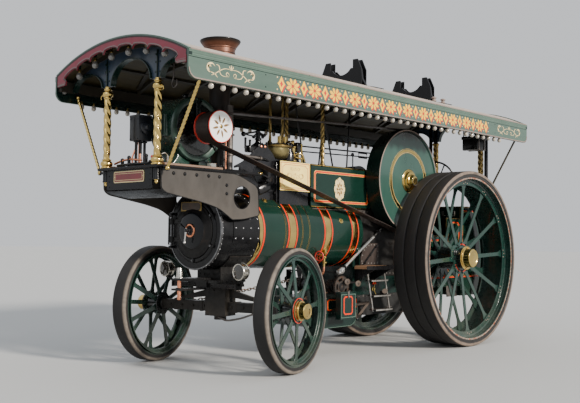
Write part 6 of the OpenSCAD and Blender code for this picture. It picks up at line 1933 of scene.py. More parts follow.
# water gauges, one each side of the middle
for y in (-0.075, 0.075):
    for z in (1.46, 1.66):
        p.add(tube([(BX, y, z), (BX - 0.060, y, z)], 0.013, 14), 1)
        p.add(lathe([(0.010, 0), (0.022, 0), (0.022, 0.030), (0.010, 0.030)], 6), 1, move(BX - 0.06, y, z - 0.015))
        p.add(tube([(BX - 0.060, y, z), (BX - 0.085, y, z), (BX - 0.085, y - 0.03, z)], 0.006, 8), 1)
    p.add(cyl(0.0085, 0.17, 14), 2, move(BX - 0.060, y, 1.475))
    for dy in (-0.020, 0.020):
        p.add(tube([(BX - 0.075, y + dy, 1.47), (BX - 0.075, y + dy, 1.65)], 0.003, 6), 1)
    p.add(tube([(BX - 0.06, y, 1.445), (BX - 0.06, y, 1.36), (BX - 0.02, y * 1.9, 1.34)], 0.006, 8), 3)
# pressure gauge: case, rim, dial with plain strokes and a hand
g = move(BX - 0.050, 0.0, 1.785) @ ry(-pi / 2)
p.add(lathe([(0, 0), (0.078, 0), (0.084, 0.006), (0.084, 0.030), (0.078, 0.038), (0.070, 0.038), (0.070, 0.032)], 48), 1, g)
p.add(lathe([(0.0705, 0.031), (0, 0.031)], 40), 4, g)
for k in range(28):
    a = radians(-135 + 270 * k / 27)
    l = 0.012 if k % 3 == 0 else 0.006
    p.add(box(0.062 - l, 0.062, -0.0009, 0.0009, 0.0312, 0.0318), 5, g @ rz(a))
p.add(prism([(-0.014, -0.002), (0.050, -0.0004), (0.050, 0.0004), (-0.014, 0.002)], 0.0012), 5, g @ rz(radians(-70)) @ move(0, 0, 0.0325))
p.add(dome(0.006, 0.004, 12), 1, g @ move(0, 0, 0.0325))
p.add(tube(bend([(BX - 0.06, 0, 1.705), (BX - 0.06, 0, 1.67), (BX - 0.06, 0.035, 1.65), (BX - 0.01, 0.035, 1.62)], 0.02, 4), 0.006, 8), 3)
# regulator: stuffing box, shaft and long handle
p.add(lathe([(0, 0), (0.045, 0), (0.045, 0.012), (0.026, 0.014), (0.026, 0.045), (0.014, 0.050), (0.014, 0.085), (0, 0.085)], 28), 1, move(BX, 0.0, 1.56) @ ry(-pi / 2))
for k in range(4):
    a = TAU * k / 4 + 0.78
    p.add(hexbolt(0.007, 0.008), 0, move(BX - 0.012, 0.036 * cos(a), 1.56 + 0.036 * sin(a)) @ ry(-pi / 2))
p.add(tube([(BX - 0.075, 0.0, 1.56), (BX - 0.080, 0.10, 1.60), (BX - 0.10, 0.20, 1.63)], [0.011, 0.008, 0.007], 10), 6)
p.add(tube([(BX - 0.10, 0.18, 1.625), (BX - 0.115, 0.26, 1.65)], [0.011, 0.013], 12), 7)
# try cocks and injector with its pipes
for z in (1.44, 1.54, 1.64):
    p.add(tube([(BX, 0.165, z), (BX - 0.045, 0.165, z)], 0.008, 10), 1)
    p.add(tube([(BX - 0.035, 0.165, z), (BX - 0.035, 0.165, z + 0.022), (BX - 0.035, 0.195, z + 0.026)], 0.0045, 8), 1)
    p.add(tube([(BX - 0.045, 0.165, z), (BX - 0.050, 0.165, z - 0.02)], 0.006, 8), 1)
p.add(lathe([(0.012, 0), (0.022, 0.0), (0.022, 0.03), (0.015, 0.04), (0.015, 0.09), (0.024, 0.10), (0.024, 0.12), (0.012, 0.13)], 16), 1, move(BX - 0.05, -0.205, 1.02))
p.add(tube(bend([(BX - 0.05, -0.205, 1.15), (BX - 0.05, -0.205, 1.50), (BX - 0.01, -0.20, 1.53)], 0.03, 4), 0.010, 10), 3)
p.add(tube(bend([(BX - 0.05, -0.205, 1.02), (BX - 0.05, -0.205, 0.84), (BX - 0.15, -0.205, 0.80)], 0.03, 4), 0.010, 10), 3)
p.make("backhead_fittings", "chassis", [IRON, BRASS, LENS, COPPER, CREAM, BLACK, STEEL, DARK_WOOD], "brass", 38)

p = Piece()
# latch and rim on the firehole door
p.add(bevelled(prism(rounded(-0.128, 0.128, 1.088, 1.312, 0.03), 0.006), 0.002), 0, move(-1.1825, 0, 0) @ on_yz(0))
for z in (1.115, 1.250):
    p.add(bevelled(box(-1.190, -1.182, -0.10, 0.150, z, z + 0.030), 0.002), 0)
p.add(tube([(-1.187, -0.010, 1.20), (-1.196, -0.018, 1.20), (-1.196, -0.060, 1.202)], 0.005, 10), 1)
rivets(p, [(-1.190, y, z + 0.015, (-1, 0, 0)) for y in (-0.08, 0.0, 0.08) for z in (1.115, 1.250)], 0.008, 0)
p.make("firehole_latch", "firehole_door", [IRON, STEEL], "black_paint", 38)

HORN = [(-0.173, 0.980), (-0.173, 1.610), (-0.431, 1.640), (-0.460, 2.120), (-1.300, 2.150), (-1.700, 1.900), (-1.790, 1.500), (-1.790, 0.960), (-1.560, 0.850), (-0.700, 0.850)]
p = Piece()


def along(pts, step, inset, closed=True):
    """Places at even steps on an outline drawn in by inset."""
    k = len(pts)
    cx = sum(q[0] for q in pts) / k
    cz = sum(q[1] for q in pts) / k
    out = []
    for i in range(k if closed else k - 1):
        a, b = Vector((*pts[i], 0)), Vector((*pts[(i + 1) % k], 0))
        d = (b - a)
        n = Vector((-d.y, d.x, 0)).normalized()
        if n.dot(Vector((cx, cz, 0)) - a) < 0:
            n = -n
        m = max(1, int(d.length / step))
        for j in range(m):
            q = a + d * (j + 0.5) / m + n * inset
            out.append((q.x, q.y))
    return out


for s in (1, -1):
    rivets(p, [(x, s * 0.2602, z, (0, s, 0)) for x, z in along(HORN, 0.062, 0.028)], 0.0095, 0)
    m = Matrix.Identity(4) if s > 0 else MIRROR_Y
    # bearing caps of the crankshaft and the axle
    p.add(bevelled(box(FLY[0] - 0.125, FLY[0] + 0.125, 0.2605, 0.290, FLY[1] - 0.105, FLY[1] - 0.068), 0.005, 2), 0, m)
    for x in (-0.105, 0.105):
        for z in (0.085, -0.085):
            p.add(hexbolt(0.014, 0.014), 0, m @ move(FLY[0] + x, 0.2605, FLY[1] + z) @ ALONG_Y)
    p.add(lathe([(0.080, 0.2602), (0.135, 0.2602), (0.138, 0.264), (0.138, 0.278), (0.134, 0.282), (0.080, 0.282)], 48), 0, m @ move(REAR[0], 0, REAR[1]) @ ALONG_Y)
    for k in range(8):
        p.add(hexbolt(0.012, 0.011), 0, m @ move(REAR[0], 0.282, REAR[1]) @ ALONG_Y @ rz(TAU * k / 8) @ move(0.110, 0, 0))
    # steel beading round the top edge
    p.add(tube([(x, 0.2545, z) for x, z in HORN[1:7]], 0.0095, 8), 0, m)
# intermediate shaft's bearing covers on the left side
for x, z, r in ((-1.245, 1.640, 0.085), (-1.470, 1.420, 0.070)):
    p.add(lathe([(0, 0.2602), (r, 0.2602), (r + 0.003, 0.264), (r + 0.003, 0.276), (r - 0.004, 0.282), (r * 0.6, 0.284), (r * 0.55, 0.296), (0, 0.298)], 40), 0, move(x, 0, z) @ ALONG_Y)
    for k in range(6):
        p.add(hexbolt(0.010, 0.010), 0, move(x, 0.282, z) @ ALONG_Y @ rz(TAU * k / 6) @ move(r * 0.8, 0, 0))
# reversing lever with its quadrant, right of the middle, and the brake column on the left
p.add(bevelled(prism([(-1.880, 1.30), (-1.850, 1.30), (-1.870, 2.00), (-1.895, 2.00)], 0.014), 0.003), 1, on_xz(-0.225))
p.add(tube([(-1.8825, -0.232, 1.98), (-1.8900, -0.232, 2.14)], [0.011, 0.013], 12), 1)
p.add(tube([(-1.86, -0.232, 1.93), (-1.925, -0.232, 1.96), (-1.935, -0.232, 2.08)], 0.005, 8), 1)
qa = [(-1.62 - 0.34 * cos(radians(a)), 1.56 + 0.34 * sin(radians(a))) for a in range(-18, 50, 4)]
qb = [(-1.62 - 0.29 * cos(radians(a)), 1.56 + 0.29 * sin(radians(a))) for a in range(46, -20, -4)]
p.add(bevelled(prism(qa + qb, 0.010), 0.002), 0, on_xz(-0.245))
p.add(bevelled(box(-1.905, -1.700, -0.262, -0.243, 1.445, 1.480), 0.003), 0)
p.add(tube([(-2.02, 0.395, 0.75), (-2.02, 0.395, 1.56)], 0.017, 14), 0)
p.add(lathe([(0.016, 0), (0.045, 0), (0.048, 0.006), (0.045, 0.012), (0.016, 0.014)], 24), 0, move(-2.02, 0.395, 0.7505))
p.add(tube([(-2.02, 0.395, 1.56), (-2.02, 0.395, 1.60)], 0.008, 10), 1)
p.add(tube([(-2.02, 0.29, 1.600), (-2.02, 0.50 - 0.04, 1.600)], 0.008, 10), 1)
for y in (0.29, 0.46):
    p.add(lathe([(0.008, 0), (0.012, 0.008), (0.014, 0.05), (0.010, 0.062), (0, 0.064)], 14), 3, move(-2.02, y, 1.600))
p.make("hornplate_fittings", "chassis", [IRON, STEEL, BRASS, DARK_WOOD], "black_paint", 36)

# ---------- gear guard on the right side ----------
give("gear_guard", GREEN)
p = Piece()
Yg = -0.4400


def belted(r0, r1, k=40):
    """Outline round the crankshaft's circle r0 and the axle's circle r1."""
    a = Vector((FLY[0], FLY[1], 0))
    b = Vector((REAR[0], REAR[1], 0))
    d = b - a
    al = atan2(d.y, d.x)
    be = acos((r0 - r1) / d.length)
    out = []
    for i in range(k + 1):
        t = al + be + (TAU - 2 * be) * i / k
        out.append((a.x + r0 * cos(t), a.y + r0 * sin(t)))
    for i in range(k + 1):
        t = al - be + 2 * be * i / k
        out.append((b.x + r1 * cos(t), b.y + r1 * sin(t)))
    return out


def plate(r0, r1, q0, q1, h, mat):
    p.add(prism(belted(r0, r1), h, [belted(q0, q1)]), mat, on_xz(Yg))


plate(0.200, 0.290, 0.190, 0.280, 0.0010, 1)
plate(0.190, 0.280, 0.187, 0.277, 0.0008, 2)
for s, c, r in ((0, FLY, 0.120), (1, REAR, 0.150)):
    q = move(c[0], Yg, c[1]) @ rx(pi / 2)
    p.add(lathe([(0.064 if s == 0 else 0.080, 0), (r, 0), (r + 0.003, 0.003), (r + 0.003, 0.010), (r - 0.003, 0.013), (0.085, 0.013), (0.082, 0.010), (0.064 if s == 0 else 0.080, 0.010)], 56), 0, q)
    for k in range(8):
        p.add(hexbolt(0.010, 0.009), 3, q @ rz(TAU * k / 8) @ move(r - 0.018, 0, 0.013))
p.add(lathe([(0.049, 0), (0.049, 0.004), (0, 0.004)], 32), 4, move(FLY[0], -0.4405, FLY[1]) @ rx(pi / 2))
for x, z in along(belted(0.212, 0.302), 0.11, 0.010):
    p.add(dome(0.0065, 0.004, 8), 3, move(x, Yg, z) @ rx(pi / 2))
p.make("gear_guard_trim", "chassis", [BRASS_DULL, ORANGE, GOLD_LINE, IRON, STEEL], "green_paint", 36)

# ---------- belly tank ----------
give("belly_tank", GREEN_DARK)
p = Piece()


def cut_frame(x0, x1, z0, z1, c, w):
    o = [(x0 + c, z0), (x1 - c, z0), (x1, z0 + c), (x1, z1 - c), (x1 - c, z1), (x0 + c, z1), (x0, z1 - c), (x0, z0 + c)]
    k = w * 0.42
    i = [(x0 + c + k, z0 + w), (x1 - c - k, z0 + w), (x1 - w, z0 + c + k), (x1 - w, z1 - c - k), (x1 - c - k, z1 - w), (x0 + c + k, z1 - w), (x0 + w, z1 - c - k), (x0 + w, z0 + c + k)]
    return o, i


for s in (1, -1):
    m = Matrix.Identity(4) if s > 0 else MIRROR_Y
    for x0, x1 in ((0.445, 0.600), (0.030, 0.420), (-0.100, 0.005)):
        o, i = cut_frame(x0, x1, 0.500, 0.622, 0.018, 0.011)
        p.add(prism(o, 0.0012, [i]), 0, m @ on_xz(0.3412))
        o, i = cut_frame(x0 + 0.0125, x1 - 0.0125, 0.5125, 0.6095, 0.016, 0.003)
        p.add(prism(o, 0.0008, [i]), 1, m @ on_xz(0.3409))
    # light edge line round the bottom
    arc = [(-0.116, 0.600), (-0.116, 0.460)] + [(0.030 + 0.146 * cos(radians(a)), 0.460 + 0.146 * sin(radians(a))) for a in range(180, 271, 9)]
    arc += [(0.470 + 0.146 * cos(radians(a)), 0.460 + 0.146 * sin(radians(a))) for a in range(270, 361, 9)] + [(0.616, 0.600)]
    p.add(stroke(arc, [0.005] * len(arc), 0.0010), 2, m @ on_xz(0.3411))
    rivets(p, [(x, s * 0.3402, 0.634, (0, s, 0)) for x in [-0.105 + 0.045 * k for k in range(16)]], 0.0055, 3)
    rivets(p, [(x, s * 0.3402, 0.476, (0, s, 0)) for x in [-0.105 + 0.045 * k for k in range(16)]], 0.0055, 3)
    p.add(bevelled(box(-0.084, -0.036, 0.296, 0.334, 0.640, 0.665), 0.004, 2), 3, m)
for z in (0.476, 0.634):
    rivets(p, [(0.6202, y, z, (1, 0, 0)) for y in [-0.315 + 0.045 * k for k in range(15)]], 0.0055, 3)
    rivets(p, [(-0.1202, y, z, (-1, 0, 0)) for y in [-0.315 + 0.045 * k for k in range(15)]], 0.0055, 3)
# filler, drain and the water pipe to the tender
p.add(lathe([(0, 0.6405), (0.060, 0.6405), (0.060, 0.660), (0.067, 0.664), (0.067, 0.680), (0.060, 0.688), (0.020, 0.692), (0, 0.692)], 36), 3, move(0.50, 0.255, 0))
p.add(lathe([(0.014, 0.285), (0.020, 0.290), (0.020, 0.312), (0.014, 0.312)], 16), 4, move(0.25, 0, 0))
p.add(tube([(0.25, 0, 0.290), (0.25, 0.030, 0.290)], 0.006, 8), 4)
p.add(tube(bend([(-0.118, -0.22, 0.52), (-0.30, -0.22, 0.50), (-0.60, -0.285, 0.42), (-1.15, -0.285, 0.42), (-1.60, -0.285, 0.62), (-2.20, -0.285, 0.63)], 0.08, 5), 0.019, 12), 3)
p.make("belly_tank_trim", "chassis", [ORANGE, GOLD_LINE, SAGE_TRIM, IRON, BRASS], "green_paint", 36)

# ---------- toolboxes ----------
give("toolbox", GREEN_DARK)
p = Piece()
for s in (1, -1):
    m = Matrix.Identity(4) if s > 0 else MIRROR_Y
    p.add(bevelled(box(0.119, 0.396, 0.428, 0.511, 0.690, 0.712), 0.004, 2), 3, m)
    p.add(bevelled(box(0.121, 0.394, 0.430, 0.509, 0.412, 0.424), 0.003, 2), 3, m)
    p.add(prism(rounded(0.130, 0.385, 0.430, 0.686, 0.010), 0.0020, [rounded(0.137, 0.378, 0.437, 0.679, 0.010)]), 1, m @ on_xz(0.5070))
    o, i = cut_frame(0.180, 0.341, 0.462, 0.664, 0.024, 0.015)
    p.add(prism(o, 0.0016, [i]), 0, m @ on_xz(0.5066))
    # lid strap, hasp and hinges
    p.add(bevelled(prism([(0.245, 0.640), (0.275, 0.640), (0.275, 0.716), (0.245, 0.716)], 0.004), 0.001), 5, m @ on_xz(0.5145))
    p.add(ball(0.010, 12, 8), 5, m @ move(0.260, 0.516, 0.655))
    for x in (0.165, 0.350):
        p.add(tube([(x - 0.018, 0.442, 0.712), (x + 0.018, 0.442, 0.712)], 0.006, 10), 5, m)
    for x in (0.180, 0.300):
        for z in (0.492, 0.510):
            p.add(hexbolt(0.007, 0.006), 5, m @ move(x + 0.020, 0.4345, z) @ rx(-pi / 2) @ move(0, 0, -0.0))
p.make("toolbox_trim", "chassis", [ORANGE, SAGE_TRIM, LINING_GREY, GREEN_DARK, DARK_RED, IRON], "green_paint", 36)

# ---------- running boards, ladders ----------
BOARDS = plank_mat("board_planks", (0.19, 0.098, 0.044), 0.105, "X", "Y", 0.62, 0.006, 0.55)
give("running_boards", BOARDS)
GUSSET = surface("gusset_brown", (0.030, 0.017, 0.012), 0.55, vary=0.3, vscale=9, rvar=0.15, bump=0.25, bscale=60, dust=(DUST, 0.3))
p = Piece()
q = Piece()
for s in (1, -1):
    m = Matrix.Identity(4) if s > 0 else MIRROR_Y
    # angle along the outer edge of the board
    p.add(bevelled(box(-0.462, 0.052, 0.600, 0.606, 0.945, 0.990), 0.001), 0, m)
    p.add(bevelled(box(-0.466, -0.460, 0.300, 0.604, 0.945, 0.990), 0.001), 0, m)
    # brackets under the board
    for x in (-0.420, -0.100):
        p.add(bevelled(prism([(0.300, 0.954), (0.590, 0.954), (0.590, 0.940), (0.330, 0.800), (0.300, 0.800)], 0.012), 0.002), 0, m @ move(x, 0, 0) @ on_yz(0))
    # riveted gusset plate behind the board
    g = [(-0.230, 0.986), (-0.230, 1.080), (-0.300, 1.200), (-0.400, 1.240), (-0.580, 1.240), (-0.580, 0.986)]
    p.add(bevelled(prism(smooth_outline(g, [0.01, 0.03, 0.05, 0.03, 0.02, 0.01]), 0.010), 0.002), 1, m @ on_xz(0.300))
    p.add(bevelled(box(-0.583, -0.415, 0.262, 0.300, 0.875, 0.930), 0.004, 2), 1, m)
    rivets(p, [(x, 0.3002, z, (0, 1, 0)) for x, z in along(smooth_outline(g, 0.0), 0.052, 0.020)] if s > 0 else
           [(x, -0.3002, z, (0, -1, 0)) for x, z in along(smooth_outline(g, 0.0), 0.052, 0.020)], 0.0075, 2)
    p.add(bevelled(prism([(-0.250, 0.990), (-0.285, 0.990), (-0.560, 1.225), (-0.525, 1.225)], 0.010), 0.002), 0, m @ on_xz(0.311))
    for x, z in ((-0.30, 1.010), (-0.40, 1.100), (-0.51, 1.195)):
        p.add(hexbolt(0.010, 0.008), 0, m @ move(x, 0.311, z) @ ALONG_Y)
    # ladder: flat rails and treads with turned edges, a round-ended plate and pads
    for x in (-0.110, -0.430):
        # rails in pale steel, lightened to stand in for the highlights along them: painted highlight
        rail = [(0.466, 0.956), (0.482, 0.956), (0.571, 0.478), (0.555, 0.478)]
        q.add(bevelled(prism(rail, 0.016), 0.002), 5, m @ move(x - 0.008 - 0.005, 0, 0) @ on_yz(0))
        q.add(hexbolt(0.010, 0.008), 3, m @ move(x - 0.005, 0.480, 0.935) @ ALONG_Y)
    for z in (0.495, 0.650, 0.820):
        y = 0.470 + (0.955 - z) * 0.090 / 0.475
        q.add(bevelled(box(-0.425, -0.110, y - 0.040, y + 0.055, z - 0.006, z + 0.006), 0.002), 0, m)
        q.add(bevelled(box(-0.425, -0.110, y + 0.050, y + 0.056, z - 0.010, z + 0.006), 0.001), 5, m)
        for k in range(9):
            q.add(box(-0.405 + 0.034 * k, -0.395 + 0.034 * k, y - 0.028, y + 0.042, z + 0.0055, z + 0.0085), 3, m)
    tag = [(-0.314 + 0.052 * cos(a), 0.700 + 0.028 * sin(a)) for a in [TAU * k / 32 for k in range(32)]]
    q.add(bevelled(prism(tag, 0.006), 0.001), 1, m @ move(0, 0.058, 0) @ on_xz(0.5265))
    q.add(bevelled(box(-0.322, -0.306, 0.520, 0.582, 0.648, 0.700), 0.001), 0, m)
    for x, z in ((0.205, 0.816), (0.010, 0.790)):
        o = [(x + 0.050 * cos(a), z + 0.034 * sin(a)) for a in [TAU * k / 32 for k in range(32)]]
        q.add(bevelled(prism(o, 0.010), 0.003, 2), 1, m @ on_xz(0.452))
        q.add(hexbolt(0.010, 0.008), 3, m @ move(x, 0.452, z) @ ALONG_Y)
    q.add(bevelled(box(-0.060, 0.260, 0.436, 0.443, 0.795, 0.815), 0.001), 0, m)
    q.add(tube([(-0.055, 0.439, 0.805), (-0.11, 0.466, 0.925)], 0.007, 8), 0, m)
    q.add(tube([(0.245, 0.439, 0.805), (0.245, 0.40, 0.74), (0.245, 0.39, 0.712)], 0.007, 8), 0, m)
    # triangular bracket behind the tank
    q.add(bevelled(prism([(0.060, 0.560), (-0.330, 0.570), (-0.330, 0.545), (-0.12, 0.385), (-0.085, 0.385)], 0.012, [[(-0.02, 0.530), (-0.265, 0.538), (-0.115, 0.425)]]), 0.002), 1, m @ on_xz(0.354))
    # small brass and orange fittings below the gusset
    for x, z, c in ((-0.475, 0.845, 2), (-0.520, 0.770, 4), (-0.500, 0.700, 2)):
        q.add(lathe([(0, 0), (0.020, 0), (0.022, 0.004), (0.022, 0.020), (0.014, 0.026), (0.014, 0.040), (0, 0.042)], 20), c, m @ move(x, 0.262, z) @ ALONG_Y)
    q.add(tube([(-0.475, 0.285, 0.845), (-0.520, 0.285, 0.770), (-0.500, 0.285, 0.700), (-0.56, 0.275, 0.640)], 0.007, 8), 2, m)
p.make("board_brackets", "chassis", [BLACK, GUSSET, LINING_GREY], "black_paint", 36)
# pale steel for the ladder rails: painted highlight
LADDER_PALE_HIGHLIGHT = surface("ladder_pale_steel_painted_highlight", (0.40, 0.385, 0.36), 0.34, 0.85, vary=0.2, vscale=12, bump=0.1)
q.make("ladders", "chassis", [BLACK, RUST_BROWN, BRASS, IRON, ORANGE, LADDER_PALE_HIGHLIGHT], "black_paint", 36, over=["boarding_ladders"])

# ---------- steering ----------
WX, WZ = 0.270, 0.760
p = Piece()
m = move(WX, 0, WZ) @ ALONG_Y
p.add(lathe([(0, -0.385), (0.018, -0.385), (0.020, -0.383), (0.020, 0.423), (0.018, 0.425), (0, 0.425)], 28), 1, m)
p.add(lathe([(0.020, -0.350), (0.054, -0.350), (0.055, -0.348), (0.055, 0.328), (0.054, 0.330), (0.020, 0.330)], 40), 0, m)
for y in (-0.350, -0.150, 0.145, 0.322):
    p.add(lathe([(0.054, y), (0.068, y), (0.070, y + 0.002), (0.070, y + 0.006), (0.068, y + 0.008), (0.054, y + 0.008)], 40), 0, m)
# worm wheel with slanted teeth
n = 40
root, tip = 0.117, 0.128
prof = []
for k in range(n):
    a = TAU * k / n
    for f, r in ((0.0, root), (0.30, root), (0.42, tip), (0.68, tip), (0.80, root)):
        prof.append(((r) * cos(a + f * TAU / n), (r) * sin(a + f * TAU / n)))
spoke_holes = []
for k in range(5):
    a = TAU * k / 5
    spoke_holes.append([(0.068 * cos(a + t) + 0, 0.068 * sin(a + t)) for t in (-0.36, 0.36)] + [(0.096 * cos(a + t), 0.096 * sin(a + t)) for t in (0.42, 0.14, -0.14, -0.42)])
p.add(prism(prof, 0.026, spoke_holes), 2, m @ move(0, 0, 0.396))
p.add(lathe([(0.020, 0.392), (0.046, 0.392), (0.048, 0.395), (0.048, 0.424), (0.045, 0.4275), (0.020, 0.4275)], 32), 0, m)
# chain coiled on the drum: tight rings of links
for side in (1, -1):
    for c in range(3):
        y = side * (0.215 + 0.030 * c)
        k = 14
        for j in range(k):
            a = TAU * j / k
            q = m @ rz(a) @ move(0.0655, 0, y + 0.030 * j / k) @ rx(pi / 2) @ ry(0.75 if j % 2 else -0.75)
            s_ = torus(0.0105, 0.0042, 12, 6)
            p.add(([(x * 1.0, yy, z * 1.0) for x, yy, z in [(v[0], v[1] * 1.45, v[2]) for v in s_[0]]], s_[1]), 3, q @ rx(pi / 2) @ ry(pi / 2))
p.make("steering_roller_detail", "steering_roller", [BLACK, CHAIN, CHAIN, CHAIN], "black_paint", 34, over=["steering_roller"])


def col_pick(c, n):
    return 1 if (0.20 < c.x < 0.32 and c.z < 1.03 and abs(c.y) < 0.40 and not (c.y > 0.36 and c.z > 0.93)) else 0


POLISHED = surface("polished_rod", (0.80, 0.80, 0.78), 0.22, 0.9, vary=0.06, vscale=20, bump=0.0)
recoat("steering_column", "steering_column_detail", [STEEL, BLACK], col_pick)
p = Piece()
A, B, C = Vector((0.330, 0.418, 0.905)), Vector((-0.620, 0.278, 1.390)), Vector((-1.960, 0.274, 2.112))
# worm on the lower end
q = axis(A, B)
p.add(lathe([(0.011, 0.000), (0.022, 0.002), (0.022, 0.020), (0.030, 0.026), (0.030, 0.100), (0.022, 0.106), (0.022, 0.124), (0.011, 0.128)], 28), 1, q)
hx = [((0.032) * cos(TAU * t / 18), 0.032 * sin(TAU * t / 18), 0.028 + 0.070 * t / 90) for t in range(91)]
p.add(tube(hx, 0.0045, 6), 1, q)
p.add(bevelled(box(-0.030, 0.030, -0.030, 0.030, 0.128, 0.150), 0.006, 2), 0, q)
p.add(tube([(0.225, 0.360, 0.925), (0.225, 0.400, 0.965), q @ Vector((0, 0, 0.140))], 0.011, 10), 0)
# thicker polished sleeve over the lower length of the column
p.add(lathe([(0.010, 0.150), (0.0165, 0.152), (0.0165, 0.900), (0.010, 0.902)], 24), 2, q)
p.add(lathe([(0.0165, 0.150), (0.021, 0.152), (0.021, 0.172), (0.0165, 0.174)], 24), 2, q)
p.add(lathe([(0.0165, 0.880), (0.021, 0.882), (0.021, 0.902), (0.010, 0.904)], 24), 2, q)
# universal joint at the bend, collars and the bearing near the hand wheel
for t in (-0.045, 0.045):
    d = (A - B).normalized() if t > 0 else (C - B).normalized()
    e = B + d * abs(t)
    p.add(lathe([(0.010, 0), (0.022, 0), (0.024, 0.004), (0.024, 0.030), (0.020, 0.034), (0.010, 0.034)], 20), 0, axis(e, e + d))
    for u in (-1, 1):
        s_ = Vector((0, 1, 0)) if t > 0 else d.cross(Vector((0, 1, 0))).normalized()
        p.add(tube([e + s_ * 0.018 * u, B + s_ * 0.020 * u - d * 0.006], 0.006, 8), 0)
p.add(ball(0.016, 14, 8), 1, Matrix.Translation(B))
for f in (0.45, 0.88):
    e = B.lerp(C, f)
    p.add(lathe([(0.010, -0.020), (0.024, -0.020), (0.026, -0.017), (0.026, 0.017), (0.024, 0.020), (0.010, 0.020)], 24), 0, axis(e, C))
    if f < 0.5:
        p.add(bevelled(box(e.x - 0.012, e.x + 0.012, 0.2605, e.y + 0.006, e.z - 0.030, e.z - 0.012), 0.003), 0)
    else:
        p.add(tube([e - Vector((0, 0, 0.020)), (e.x + 0.04, e.y, e.z - 0.14), (-1.70, 0.266, 1.80)], 0.010, 10), 0)
p.make("steering_worm", "chassis", [BLACK, STEEL, POLISHED], "bright_steel", 36)

p = Piece()
m = Matrix.Translation(C) @ rz(pi) @ ry(radians(62))
p.add(torus(0.212, 0.0118, 72, 12), 0, m)
p.add(lathe([(0.0116, -0.026), (0.028, -0.026), (0.031, -0.022), (0.031, 0.016), (0.024, 0.022), (0.013, 0.026), (0.013, 0.040), (0.008, 0.044), (0, 0.044)], 32), 1, m)
for i in range(5):
    a = TAU * i / 5
    p.add(tube([(0.024 * cos(a), 0.024 * sin(a), 0), (0.09 * cos(a), 0.09 * sin(a), 0.003), (0.206 * cos(a), 0.206 * sin(a), 0)], [0.011, 0.0076, 0.0092], 10), 0, m)
p.add(lathe([(0.006, 0), (0.006, 0.012), (0.013, 0.016), (0.015, 0.050), (0.012, 0.080), (0.006, 0.084), (0, 0.084)], 18), 2, m @ move(0.212, 0, 0.004))
p.make("steering_wheel_detail", "chassis", [BLACK, BRASS, DARK_WOOD], "black_paint", 36, over=["steering_wheel"])

# chains: real links from the roller to the axle
p = Piece()


def steered(x, y, z):
    c, s_ = cos(STEER), sin(STEER)
    return Vector((KING_X + (x - KING_X) * c - y * s_, (x - KING_X) * s_ + y * c, z))


def chain(a, b, wire=0.0056, pitch=0.040, sag=0.0):
    d = b - a
    n = max(2, int(round(d.length / pitch)))
    big = torus(1.0, 0.0, 20, 8)
    pts = []
    for i in range(n + 1):
        t = i / n
        pts.append(a + d * t - Vector((0, 0, sag * 4 * t * (1 - t))))
    k = 18
    for i in range(n):
        c, e = (pts[i] + pts[i + 1]) / 2, pts[i + 1]
        q = axis(c, e, 0 if i % 2 else pi / 2)
        half, w = pitch * 0.5 + wire * 0.9, 0.0125
        loop = []
        for j in range(k):
            g = TAU * j / k
            cx, sz = cos(g), sin(g)
            loop.append((w * cx, 0, (half - w) * (1 if sz > 0 else -1) * (1 if abs(sz) > 0.05 else 0) + w * sz))
        p.add(tube(loop, wire, 7, True), 0, q)


r = 0.068
ends = []
for s_, z in ((1, WZ - r + 0.006), (-1, WZ + r - 0.006)):
    a = Vector((WX + 0.010, s_ * 0.250, z))
    b = steered(KING_X - 0.100, s_ * 0.500, 0.612)
    chain(a, b, sag=0.006)
    ends.append((a, b))
ob = p.make("steering_chain_links", None, [CHAIN], "chain_steel", 40, over=["steering_chains"])
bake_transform(ob)
# eyes, shackles and tension screws on the axle
p = Piece()
for s_ in (1, -1):
    q = move(KING_X, 0, 0) @ rz(STEER)
    c = Vector((-0.100, s_ * 0.500, 0.612))
    p.add(torus(0.018, 0.007, 20, 8), 0, q @ Matrix.Translation(c) @ rx(pi / 2) @ move(0, 0, 0))
    p.add(tube([(-0.085, s_ * 0.500, 0.612), (-0.045, s_ * 0.500, 0.612)], 0.010, 12), 0, q)
    p.add(lathe([(0.010, 0), (0.020, 0), (0.020, 0.014), (0.010, 0.014)], 6), 0, q @ move(-0.050, s_ * 0.500, 0.612) @ ry(-pi / 2) @ move(0, 0, -0.0))
p.make("axle_eyes", "front_axle", [IRON], "bright_steel", 36)

# ---------- tender ----------
TENDER_TOP = BLACK_DIRTY


def tender_pick(c, n):
    if -2.889 < c.x < -2.161 and abs(c.y) < 0.464 and c.z > 1.045 and (n.z > 0.5 and c.z < 1.10 or abs(n.z) < 0.5 and not (abs(c.x + 2.9) < 0.004 or abs(c.x + 2.15) < 0.004 or abs(abs(c.y) - 0.475) < 0.004)):
        return 1
    if c.z < 0.76 and n.z > 0.5 and c.x > -2.15:
        return 2
    return 0


